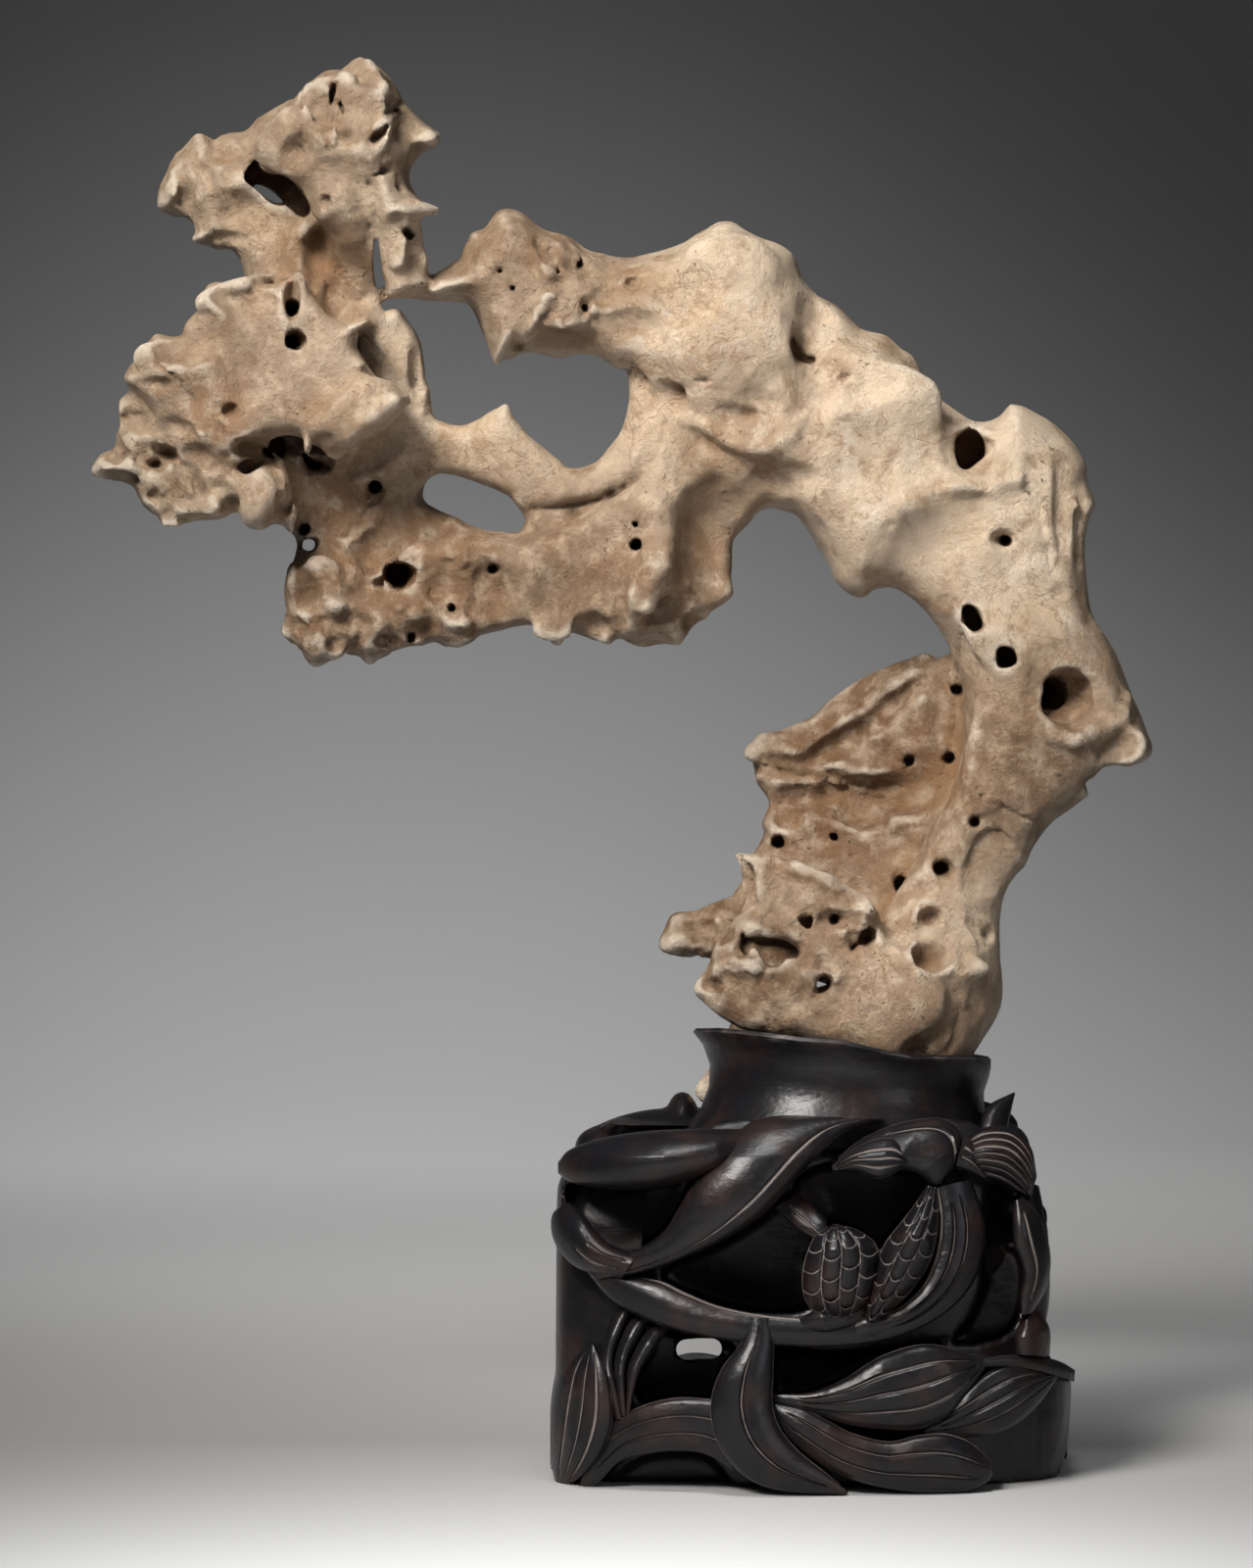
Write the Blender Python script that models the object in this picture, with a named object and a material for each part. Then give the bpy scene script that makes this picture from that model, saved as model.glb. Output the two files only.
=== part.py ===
"""Scholar's rock on a carved wooden stand.

Two solids: the pierced, leaning stone and the stand with its collar, leaves, buds and cobs.
Both are drawn on one sheet of half-millimetre squares as they look from a sight point in front,
given depths, and turned into solids by joining and carving rounded shapes.
Metres, +Z up; the front faces -Y; the origin is the middle of the stand's underside.
"""
import math

import bpy
import numpy as np
import openvdb

# Size of the whole, in millimetres, and the view the sheet is drawn for.
SHEET_X = 830.0           # column of the sheet over the middle of the stand
SHEET_Z = 1496.0          # row of the sheet at floor height
SIGHT_X = -95.0           # sight point, level with the middle of the object
SIGHT_Z = 348.0
SIGHT_DISTANCE = 2600.0
SCALE = 0.001             # millimetres to metres

# Stone
STONE_LOW = (-385, -100, 156)
STONE_HIGH = (185, 100, 731)
STONE_STEP = 3.0          # lattice of the stone
STONE_FACES = 5300        # triangles kept
STONE_SEED = 7
SINK = 1.732              # sheet squares to the radius of an egg sunk half way
SEAT_LINE = ((740, 1102), (986, 1121))   # flat the stone stands on, across the sheet
WOBBLE = 1.8              # most that the walls of a worn hole wander
BROAD = 300               # a hollow wider than this, in squares, is pressed before the ribs are raised
SEAT_GAP = 0.5            # clearance over the socket's floor
SIDE_GAP = 2.2            # clearance beside the stone

# Stand
STAND_LOW = (-146, -120, -14)
STAND_HIGH = (148, 124, 230)
STAND_STEP = 2.6
STAND_FACES = 4300
BLOCK_REACH = 280.0       # half width of the bulging front, in squares
BLOCK_DEPTH = 100.0       # how far the front bulges
BLOCK_MIDDLE = 2.0
BLOCK_TURN_DEPTH = 102.0
BLOCK_TURN_REACH = 128.0
BLOCK_ROWS = (1090, 1140, 1180, 1250, 1350, 1530)
BLOCK_FULLNESS = (0.70, 0.82, 0.93, 0.98, 1.0, 1.0)
CORE_REACH = 134.0
CORE_DEPTH = 82.0
CORE_MIDDLE = 4.0
VOID_MOUTH = 130.0        # how far out from the middle the hollows are cut
PIERCING_RADIUS = 5.2
COLLAR_MIDDLE = 2.0
COLLAR_SQUARE = 2 / 2.3   # how square the collar's plan is
COLLAR_COUNT = 72
FAR = 40.0
SNAP = 0.6                # points this close to the floor lie on it

STONE_COLOUR = (0.56, 0.43, 0.29, 1.0)
WOOD_COLOUR = (0.018, 0.010, 0.008, 1.0)

# Flat masses of the stone: outline on the sheet, middle depth, half thickness, edge, lean, fillet.
MASSES = {
    "arm": ([
        (441, 278), (450, 273), (458, 267), (466, 261), (470, 250), (474, 243), (478, 234),
        (492, 230), (498, 221), (505, 212), (515, 208), (528, 210), (541, 218), (549, 228),
        (558, 235), (570, 238), (581, 243), (591, 251), (600, 255), (615, 259), (630, 264),
        (645, 265), (658, 262), (675, 258), (690, 253), (700, 249), (712, 241), (722, 235),
        (732, 228), (742, 225), (753, 226), (766, 233), (780, 239), (792, 243), (803, 250),
        (812, 259), (819, 271), (826, 284), (838, 297), (850, 305), (862, 314), (873, 325),
        (881, 333), (895, 337), (908, 342), (920, 355), (930, 361), (937, 372), (944, 384),
        (953, 396), (963, 407), (975, 416), (985, 422), (995, 427), (1006, 427), (1015, 424),
        (1022, 418), (1028, 410), (1035, 408), (1047, 411), (1060, 420), (1072, 429), (1085, 441),
        (1096, 451), (1105, 464), (1111, 477), (1112, 489), (1117, 500), (1123, 512), (1123, 519),
        (1117, 532), (1114, 548), (1113, 570), (1115, 590), (1118, 612), (1122, 630), (1130, 647),
        (1140, 668), (1149, 692), (1157, 715), (1164, 733), (1170, 749), (1175, 760), (1175, 769),
        (1168, 777), (1157, 781), (1146, 786), (1136, 796), (1124, 806), (1110, 817), (1094, 829),
        (1079, 841), (1067, 857), (1057, 872), (1050, 886), (1040, 894), (1030, 906), (1024, 922),
        (1021, 942), (1021, 962), (1022, 985), (1026, 1006), (1024, 1030), (1016, 1048),
        (1006, 1062), (994, 1080), (976, 1108), (966, 1140), (940, 1160), (860, 1150), (800, 1090),
        (760, 1040), (840, 1000), (900, 930), (930, 880), (965, 800), (975, 740), (978, 700),
        (972, 668), (965, 652), (957, 640), (946, 628), (932, 616), (918, 606), (904, 602),
        (892, 604), (883, 610), (872, 607), (862, 600), (854, 590), (849, 577), (840, 563),
        (830, 548), (819, 535), (808, 523), (796, 512), (780, 500), (760, 500), (740, 490),
        (720, 470), (700, 450), (680, 420), (660, 400), (640, 380), (632, 379), (622, 374),
        (612, 367), (600, 364), (588, 364), (575, 367), (562, 365), (549, 361), (535, 361),
        (522, 367), (513, 368), (507, 374), (501, 362), (494, 348), (488, 336), (481, 322),
        (473, 313), (460, 311), (440, 310), (425, 300),
    ], -2, 40, 34, (0.0, 0.0), 6),
    "bridge": ([
        (330, 330), (345, 325), (365, 324), (380, 320), (392, 314), (404, 311), (420, 310),
        (440, 309), (460, 311), (474, 313), (480, 300), (470, 270), (458, 268), (441, 277),
        (432, 278), (420, 280), (408, 276), (400, 270), (394, 282), (392, 294), (384, 304),
        (374, 314), (362, 318), (348, 318), (338, 314),
    ], -6, 9, 9, (0, 0), 5),
    "head": ([
        (369, 57), (381, 62), (393, 70), (403, 79), (411, 90), (418, 103), (428, 113), (438, 125),
        (449, 134), (452, 142), (446, 151), (434, 157), (425, 167), (421, 179), (425, 191),
        (434, 202), (442, 209), (451, 216), (445, 222), (434, 227), (434, 243), (437, 260),
        (438, 274), (428, 280), (412, 284), (396, 282), (388, 262), (384, 246), (376, 236),
        (352, 236), (330, 240), (316, 236), (308, 216), (300, 200), (286, 182), (272, 173),
        (264, 160), (262, 144), (270, 131), (287, 127), (290, 112), (300, 98), (312, 87),
        (325, 78), (337, 73), (349, 72), (358, 62),
    ], -10, 38, 30, (0, 0), 6),
    "lobe": ([
        (300, 100), (290, 103), (276, 112), (262, 120), (255, 129), (247, 134), (235, 135),
        (225, 139), (220, 144), (212, 140), (205, 137), (198, 139), (192, 146), (184, 154),
        (177, 163), (172, 173), (167, 184), (161, 193), (160, 205), (163, 214), (172, 218),
        (183, 222), (192, 228), (196, 235), (193, 243), (196, 249), (206, 253), (215, 255),
        (222, 259), (229, 257), (238, 258), (244, 266), (248, 278), (250, 292), (256, 304),
        (290, 310), (306, 290), (316, 262), (330, 240), (340, 200), (330, 130),
    ], 10, 26, 24, (-0.1, 0), 6),
    "neck": ([
        (290, 230), (330, 222), (384, 225), (384, 246), (384, 262), (385, 282), (390, 298),
        (386, 306), (376, 318), (364, 326), (346, 326), (330, 330), (300, 320), (270, 310),
        (262, 280), (275, 250),
    ], 4, 30, 26, (0, 0), 9),
    "column": ([
        (384, 230), (432, 228), (434, 243), (437, 260), (440, 278), (446, 285), (440, 300),
        (404, 308), (392, 300), (391, 285), (389, 268), (386, 250),
    ], -14, 17, 14, (0, 0), 4),
    "plate": ([
        (222, 286), (211, 291), (208, 300), (206, 312), (199, 320), (190, 331), (187, 342),
        (180, 344), (171, 343), (160, 340), (153, 345), (144, 356), (137, 366), (129, 376),
        (125, 384), (128, 392), (134, 399), (140, 408), (150, 425), (160, 440), (180, 455),
        (205, 466), (225, 472), (240, 476), (248, 470), (262, 462), (270, 450), (280, 445),
        (295, 445), (305, 452), (315, 462), (325, 470), (340, 476), (352, 474), (364, 464),
        (378, 452), (394, 440), (408, 425), (417, 411), (413, 400), (404, 390), (394, 384),
        (386, 380), (372, 360), (368, 350), (370, 338), (380, 330), (378, 322), (365, 325),
        (350, 323), (341, 316), (336, 306), (329, 297), (326, 284), (319, 273), (310, 266),
        (302, 268), (296, 276), (280, 281), (260, 284), (240, 287),
    ], -36, 22, 20, (0.02, 0.06), 5),
    "cluster": ([
        (134, 400), (129, 403), (123, 409), (122, 420), (121, 432), (117, 441), (113, 452),
        (104, 458), (97, 463), (92, 472), (89, 481), (92, 488), (100, 491), (110, 493), (120, 496),
        (132, 500), (138, 507), (142, 516), (150, 524), (157, 531), (160, 538), (167, 543),
        (176, 544), (183, 547), (192, 543), (201, 540), (212, 538), (225, 535), (235, 530),
        (246, 527), (251, 534), (257, 540), (265, 542), (275, 541), (285, 540), (292, 542),
        (298, 548), (310, 530), (300, 500), (290, 470), (250, 440), (200, 420), (160, 400),
    ], -26, 22, 18, (-0.06, 0.0), 5),
    "wing": ([
        (378, 322), (390, 313), (401, 309), (412, 311), (420, 324), (428, 340), (433, 357),
        (434, 378), (437, 400), (440, 420), (446, 429), (460, 434), (470, 445), (460, 470),
        (440, 480), (434, 495), (430, 506), (400, 520), (370, 500), (350, 440), (352, 380),
        (362, 340),
    ], -2, 18, 16, (0, 0), 5),
    "web": ([
        (300, 440), (380, 430), (430, 440), (450, 470), (436, 492), (432, 502), (440, 512),
        (462, 521), (480, 534), (500, 545), (520, 560), (480, 600), (400, 610), (330, 600),
        (305, 575), (301, 560), (297, 548), (280, 530), (270, 490), (280, 460),
    ], -3, 20, 18, (0, 0), 6),
    "saddle": ([
        (430, 400), (437, 400), (440, 422), (448, 430), (460, 434), (478, 433), (490, 427),
        (500, 421), (510, 416), (517, 412), (522, 418), (527, 428), (535, 437), (545, 447),
        (560, 459), (572, 468), (580, 474), (590, 475), (600, 473), (609, 470), (618, 464),
        (628, 452), (635, 438), (639, 420), (640, 400), (640, 380), (656, 376), (672, 400),
        (675, 440), (664, 480), (640, 505), (600, 528), (560, 545), (534, 545), (533, 530),
        (525, 518), (518, 508), (508, 503), (495, 499), (480, 494), (465, 489), (452, 486),
        (444, 488), (434, 494), (420, 500), (410, 470), (415, 430),
    ], -9, 11, 10, (0, 0), 4),
    "jaw": ([
        (304, 562), (297, 569), (290, 577), (289, 590), (287, 604), (289, 620), (287, 632),
        (283, 645), (290, 653), (300, 658), (307, 665), (313, 674), (322, 680), (331, 678),
        (340, 672), (345, 667), (355, 668), (365, 671), (373, 678), (380, 676), (386, 671),
        (395, 668), (404, 663), (415, 660), (430, 659), (441, 657), (455, 661), (468, 663),
        (480, 661), (487, 656), (493, 651), (505, 648), (520, 644), (535, 642), (548, 643),
        (555, 650), (560, 659), (568, 663), (576, 661), (581, 653), (586, 649), (600, 654),
        (612, 657), (622, 658), (628, 653), (635, 652), (645, 657), (660, 658), (680, 657),
        (692, 661), (700, 655), (708, 645), (716, 638), (724, 634), (728, 627), (740, 618),
        (750, 609), (751, 600), (749, 585), (751, 568), (752, 555), (758, 545), (768, 535),
        (776, 525), (790, 521), (806, 522), (820, 500), (790, 470), (740, 440), (700, 420),
        (672, 400), (662, 450), (650, 482), (620, 505), (590, 520), (560, 535), (533, 541),
        (515, 541), (495, 538), (480, 533), (468, 527), (450, 530), (420, 545), (380, 555),
        (340, 560),
    ], -6, 30, 24, (0, 0), 7),
    "fin": ([
        (985, 660), (970, 664), (960, 667), (948, 671), (935, 671), (920, 673), (908, 679),
        (895, 688), (880, 698), (866, 712), (850, 724), (835, 737), (815, 748), (797, 756),
        (785, 764), (770, 766), (766, 775), (768, 790), (770, 801), (778, 812), (782, 820),
        (778, 830), (774, 841), (776, 851), (770, 863), (757, 880), (755, 898), (760, 960),
        (850, 1010), (950, 1000), (1000, 900), (1010, 800), (1010, 700),
    ], 22, 21, 17, (-0.1, 0.02), 7),
    "stub": ([
        (790, 890), (765, 892), (755, 900), (746, 912), (730, 918), (714, 925), (698, 930),
        (686, 935), (681, 948), (675, 962), (680, 971), (695, 975), (712, 978), (730, 985),
        (800, 990),
    ], 26, 17, 13, (0, 0), 5),
    "foot_plate": ([
        (745, 872), (750, 865), (760, 864), (769, 868), (785, 868), (798, 876), (815, 884),
        (835, 893), (855, 900), (868, 908), (880, 915), (892, 922), (899, 932), (904, 950),
        (920, 985), (940, 1030), (920, 1085), (885, 1082), (860, 1074), (830, 1066), (800, 1060),
        (770, 1054), (745, 1046), (728, 1036), (716, 1026), (706, 1018), (703, 1008),
        (707, 998), (718, 986), (722, 972), (728, 958), (741, 950), (750, 932), (757, 912),
        (754, 897), (750, 884),
    ], -36, 22, 18, (0.05, 0.0), 6),
}
# Hollows in the front (-1): column, row, half width, half height, depth, turn, soft rim.
DENTS = [
    (-1, 362, 104, 30, 30, 1.2, -15, 7), (-1, 418, 88, 16, 26, 8, 20, 6),
    (-1, 425, 128, 20, 16, 6, 0, 6), (-1, 345, 180, 34, 18, 4, 0, 5),
    (-1, 300, 160, 14, 18, 4, 0, 4), (-1, 370, 205, 18, 20, 4, 0, 5),
    (-1, 428, 172, 12, 22, 5, 0, 4), (-1, 412, 190, 18, 4, 1.3, -20, 2),
    (-1, 398, 172, 16, 4, 1.2, -10, 2), (-1, 428, 258, 12, 24, 5, 5, 4),
    (-1, 405, 250, 10, 30, 2.5, 0, 3), (-1, 250, 226, 44, 30, 7, -10, 4),
    (-1, 225, 158, 15, 6, 2.5, -10, 3), (-1, 186, 180, 7, 24, 4, -25, 3),
    (-1, 205, 170, 6, 22, 3, -25, 2), (-1, 190, 205, 9, 16, 4, 0, 3),
    (-1, 245, 165, 18, 12, 3, 0, 4), (-1, 275, 112, 12, 6, 4, 30, 3),
    (-1, 230, 245, 20, 8, 3, 0, 3), (-1, 275, 262, 12, 26, 3, 10, 4),
    (-1, 352, 290, 28, 30, 7, 0, 10), (-1, 327, 262, 15, 34, 13, -18, 5),
    (-1, 250, 303, 34, 17, 6, 5, 2),
    (-1, 299, 302, 9, 26, 12, 0, 1), (-1, 300, 292, 7, 12, 6, 0, 1),
    (-1, 200, 340, 22, 26, 3.5, 0, 5), (-1, 175, 356, 16, 12, 4, 0, 4),
    (-1, 155, 392, 24, 7, 4, 0, 3), (-1, 255, 350, 36, 46, 5, 0, 7),
    (-1, 330, 350, 30, 36, 4, 0, 6), (-1, 205, 420, 40, 30, 3, 0, 6),
    (-1, 290, 400, 44, 30, 3, 0, 6), (-1, 340, 300, 9, 20, 4, 0, 3),
    (-1, 378, 352, 10, 14, 2, 0, 4), (-1, 392, 452, 22, 30, 6, 40, 3),
    (-1, 366, 474, 18, 14, 6, 20, 3), (-1, 405, 500, 22, 36, 6, 10, 5),
    (-1, 335, 385, 22, 18, 3, 0, 4), (-1, 268, 463, 26, 13, 11, 18, 1.5),
    (-1, 302, 452, 12, 12, 8, 0, 1.5), (-1, 325, 470, 15, 12, 10, 0, 1.5),
    (-1, 171, 464, 15, 8, 10, 25, 1), (-1, 160, 474, 10, 5, 6, 0, 1),
    (-1, 203, 494, 6, 17, 6, -20, 1.5), (-1, 157, 508, 7, 7, 4, 0, 1.5),
    (-1, 145, 470, 22, 14, 3, 0, 4), (-1, 115, 462, 14, 10, 3, 0, 3),
    (-1, 118, 488, 22, 6, 4, 0, 3), (-1, 185, 515, 34, 12, 4, 10, 3),
    (-1, 225, 500, 18, 10, 4, 30, 3), (-1, 140, 430, 14, 12, 5, 0, 3),
    (-1, 128, 425, 6, 8, 4, 0, 2), (-1, 175, 440, 20, 12, 3, 0, 4), (-1, 238, 520, 9, 12, 5, 0, 3),
    (-1, 165, 525, 14, 12, 4, 20, 3), (-1, 205, 535, 24, 6, 3, 10, 2),
    (-1, 190, 480, 14, 8, 3, 30, 2), (-1, 325, 470, 16, 14, 9, 0, 3),
    (-1, 340, 510, 34, 36, 8, 0, 6), (-1, 292, 520, 8, 14, 6, -15, 2),
    (-1, 382, 497, 10, 10, 6, 0, 2), (-1, 385, 560, 20, 20, 7, 0, 4),
    (-1, 410, 530, 16, 20, 4, 0, 4), (-1, 450, 540, 14, 10, 4, 0, 3),
    (-1, 430, 470, 12, 22, 3, 0, 4), (-1, 400, 350, 16, 24, 3, 0, 5),
    (-1, 425, 375, 6, 20, 3, 0, 2), (-1, 508, 610, 34, 34, 9, 0, 7),
    (-1, 375, 600, 26, 18, 7, 10, 4), (-1, 310, 605, 14, 22, 4, 0, 4),
    (-1, 360, 635, 24, 9, 5, 0, 3), (-1, 300, 640, 12, 8, 4, 0, 3), (-1, 345, 660, 10, 8, 4, 0, 3),
    (-1, 320, 635, 16, 6, 3, 0, 2), (-1, 430, 645, 18, 10, 5, 0, 3),
    (-1, 460, 600, 20, 24, 4, 0, 5), (-1, 590, 590, 44, 50, 7, 0, 8),
    (-1, 605, 640, 18, 12, 4, 0, 4),
    (-1, 620, 545, 34, 26, 4, 0, 6), (-1, 735, 555, 46, 72, 19, -6, 10),
    (-1, 690, 622, 26, 20, 5, 30, 1.5), (-1, 668, 632, 7, 5, 4, 30, 1.5), (-1, 716, 640, 20, 12, 4, 30, 3),
    (-1, 780, 500, 40, 16, 4, -20, 8), (-1, 475, 650, 12, 6, 3, 0, 2),
    (-1, 395, 655, 12, 8, 4, 0, 2), (-1, 695, 470, 30, 30, 4, 0, 7),
    (-1, 580, 292, 26, 9, 1.5, 5, 4), (-1, 588, 268, 6, 9, 6, 30, 1.5),
    (-1, 646, 288, 9, 8, 6, 0, 1.5), (-1, 673, 263, 8, 4, 5, 0, 1),
    (-1, 598, 312, 5, 8, 6, 0, 1.5), (-1, 564, 255, 4, 4, 4, 0, 1), (-1, 553, 250, 4, 3, 3, 0, 1),
    (-1, 515, 300, 32, 46, 4, 0, 5), (-1, 575, 350, 30, 12, 4, 0, 4),
    (-1, 640, 340, 26, 20, 3, 0, 5), (-1, 700, 300, 26, 22, 3, 0, 6),
    (-1, 622, 300, 16, 12, 3, 0, 4), (-1, 832, 330, 18, 80, 6, -8, 9),
    (-1, 822, 352, 16, 18, 3, 0, 4),
    (-1, 840, 312, 18, 18, 4, 0, 4), (-1, 862, 386, 8, 5, 2, -30, 1.5),
    (-1, 826, 420, 18, 50, 6, 5, 6),
    (-1, 752, 424, 46, 13, 4, -12, 4), (-1, 685, 402, 14, 12, 2, 0, 3),
    (-1, 655, 385, 12, 9, 1.5, 0, 3), (-1, 715, 389, 9, 3, 1, 0, 1),
    (-1, 900, 470, 70, 44, 6, -15, 10), (-1, 940, 560, 60, 34, 6, -30, 9),
    (-1, 880, 380, 30, 24, 2.5, 0, 6), (-1, 992, 457, 22, 24, 6, 0, 4),
    (-1, 1064, 520, 7, 44, 0.8, -5, 3),
    (-1, 1092, 500, 8, 44, 1.2, 5, 4), (-1, 1025, 550, 12, 9, 5, 0, 2),
    (-1, 1045, 560, 30, 20, 3, 0, 5), (-1, 1070, 610, 40, 26, 4, -20, 7),
    (-1, 1010, 600, 34, 30, 3, 0, 6), (-1, 1104, 545, 8, 30, 1.5, 0, 3),
    (-1, 1040, 515, 18, 6, 1.5, 15, 2), (-1, 1091, 713, 30, 30, 12, 0, 2),
    (-1, 1124, 712, 26, 24, 4, 0, 3), (-1, 1142, 764, 20, 22, 4, 0, 3),
    (-1, 1050, 790, 50, 34, 5, 20, 8),
    (-1, 955, 783, 24, 20, 5, 0, 4), (-1, 915, 716, 44, 9, 6, -36, 4),
    (-1, 1030, 840, 30, 18, 4, 0, 5), (-1, 1060, 700, 10, 20, 2, 0, 3),
    (-1, 1010, 900, 18, 40, 1.5, 0, 8), (-1, 962, 735, 12, 60, 6, -8, 5),
    (-1, 850, 762, 56, 12, 9, -30, 4), (-1, 862, 813, 92, 20, 15, -3, 4), (-1, 938, 798, 34, 26, 9, 0, 5),
    (-1, 880, 770, 40, 14, 4, 10, 5), (-1, 800, 835, 20, 12, 5, 0, 3),
    (-1, 800, 780, 22, 8, 3, 10, 3), (-1, 880, 830, 24, 12, 5, 0, 4),
    (-1, 840, 850, 40, 20, 4, 10, 5), (-1, 795, 858, 6, 5, 4, 0, 1.5),
    (-1, 820, 790, 40, 6, 2.5, 0, 3), (-1, 950, 936, 12, 10, 6, 0, 1.2),
    (-1, 951, 976, 19, 14, 6.5, 0, 1.2), (-1, 908, 967, 8, 7, 3, 0, 1.5),
    (-1, 898, 941, 9, 9, 4, 0, 1.5), (-1, 970, 1060, 50, 26, 1.5, 5, 9),
    (-1, 960, 920, 44, 60, 6, 0, 6), (-1, 900, 870, 30, 24, 3, 0, 5),
    (-1, 1012, 955, 8, 7, 4, 0, 1.5), (-1, 790, 966, 30, 13, 4, 10, 2),
    (-1, 757, 958, 8, 14, 3, 0, 1.5),
    (-1, 856, 940, 24, 11, 6, -4, 1.5),
    (-1, 872, 960, 9, 9, 4, 0, 1.5),
    (-1, 735, 1000, 16, 8, 3, 10, 2), (-1, 722, 1004, 14, 4, 6, 10, 1.5),
    (-1, 790, 915, 36, 24, 3, -20, 5), (-1, 760, 905, 12, 20, 3, 0, 4),
    (-1, 800, 1015, 40, 14, 1.5, 0, 6), (-1, 715, 950, 20, 12, 3, 20, 3),
]
# The same at the back (1).
BACK_DENTS = [
    (1, 330, 120, 40, 30, 7, 10, 4), (1, 390, 160, 18, 26, 6, -20, 3),
    (1, 230, 200, 30, 22, 5, 10, 4), (1, 360, 270, 26, 40, 6, 0, 4),
    (1, 250, 370, 50, 34, 8, 15, 5), (1, 320, 420, 26, 34, 7, -10, 4),
    (1, 180, 420, 30, 30, 6, 0, 4), (1, 190, 490, 40, 20, 6, 10, 3),
    (1, 350, 520, 40, 30, 8, 0, 5), (1, 350, 610, 36, 26, 8, 10, 3),
    (1, 450, 600, 40, 24, 9, -10, 4), (1, 560, 590, 40, 36, 8, 0, 5),
    (1, 650, 600, 40, 36, 9, 10, 4), (1, 680, 500, 50, 40, 8, 0, 6),
    (1, 560, 290, 40, 26, 7, 10, 4), (1, 660, 330, 50, 36, 8, 0, 5),
    (1, 760, 300, 44, 46, 7, -15, 5), (1, 850, 400, 60, 40, 9, 35, 5),
    (1, 920, 510, 60, 44, 9, 35, 5), (1, 1030, 480, 40, 50, 9, 0, 5),
    (1, 1040, 600, 40, 50, 8, 10, 5), (1, 1070, 700, 44, 40, 9, 0, 4),
    (1, 1010, 780, 40, 50, 8, 20, 4), (1, 900, 760, 50, 34, 8, 20, 4),
    (1, 830, 820, 40, 26, 7, 0, 4), (1, 960, 900, 44, 50, 8, 0, 5),
    (1, 880, 960, 40, 34, 8, 10, 4), (1, 790, 960, 34, 30, 6, 0, 4),
]
# Swellings: side, column, row, half width, half height, height, turn, fillet.
LUMPS = [
    (-1, 300, 145, 30, 34, 5, 0, 5), (-1, 350, 120, 50, 44, 6, 0, 6),
    (-1, 275, 150, 16, 20, 6, 0, 4), (-1, 365, 373, 10, 8, 4, 0, 3),
    (-1, 265, 508, 24, 32, 10, 0, 4), (-1, 315, 450, 9, 18, 5, 0, 2.5), (-1, 356, 418, 46, 28, 7, -24, 3),
    (-1, 250, 310, 44, 20, 4, 0, 5), (-1, 160, 365, 24, 18, 4, 0, 4),
    (-1, 360, 548, 24, 18, 7, 0, 3), (-1, 575, 328, 32, 14, 5, 0, 4),
    (-1, 350, 620, 26, 20, 4, 0, 4), (-1, 430, 570, 24, 16, 5, 0, 4),
    (-1, 330, 585, 24, 20, 4, 0, 4), (-1, 745, 270, 44, 34, 6, 0, 8),
    (-1, 745, 350, 54, 40, 5, 0, 9), (-1, 1036, 490, 24, 12, 3.5, -8, 5),
    (-1, 985, 498, 30, 9, 4, 8, 4), (-1, 900, 420, 60, 50, 5, 0, 10),
    (-1, 1030, 640, 40, 40, 4, 0, 8), (-1, 1150, 760, 22, 20, 7, 0, 5),
    (-1, 1000, 760, 16, 60, 5, 5, 6), (-1, 955, 988, 50, 16, 4, 0, 7),
    (-1, 800, 1000, 60, 24, 4, 0, 6), (-1, 915, 1020, 44, 40, 5, 0, 9),
    (-1, 880, 935, 20, 16, 5, 0, 3), (-1, 670, 598, 30, 40, 8, -12, 3),
    (-1, 800, 770, 30, 16, 4, 30, 5), (-1, 568, 636, 26, 22, 3, 0, 5),
    (-1, 330, 655, 22, 14, 5, 20, 3), (-1, 300, 590, 10, 20, 5, 0, 3),
]
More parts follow.
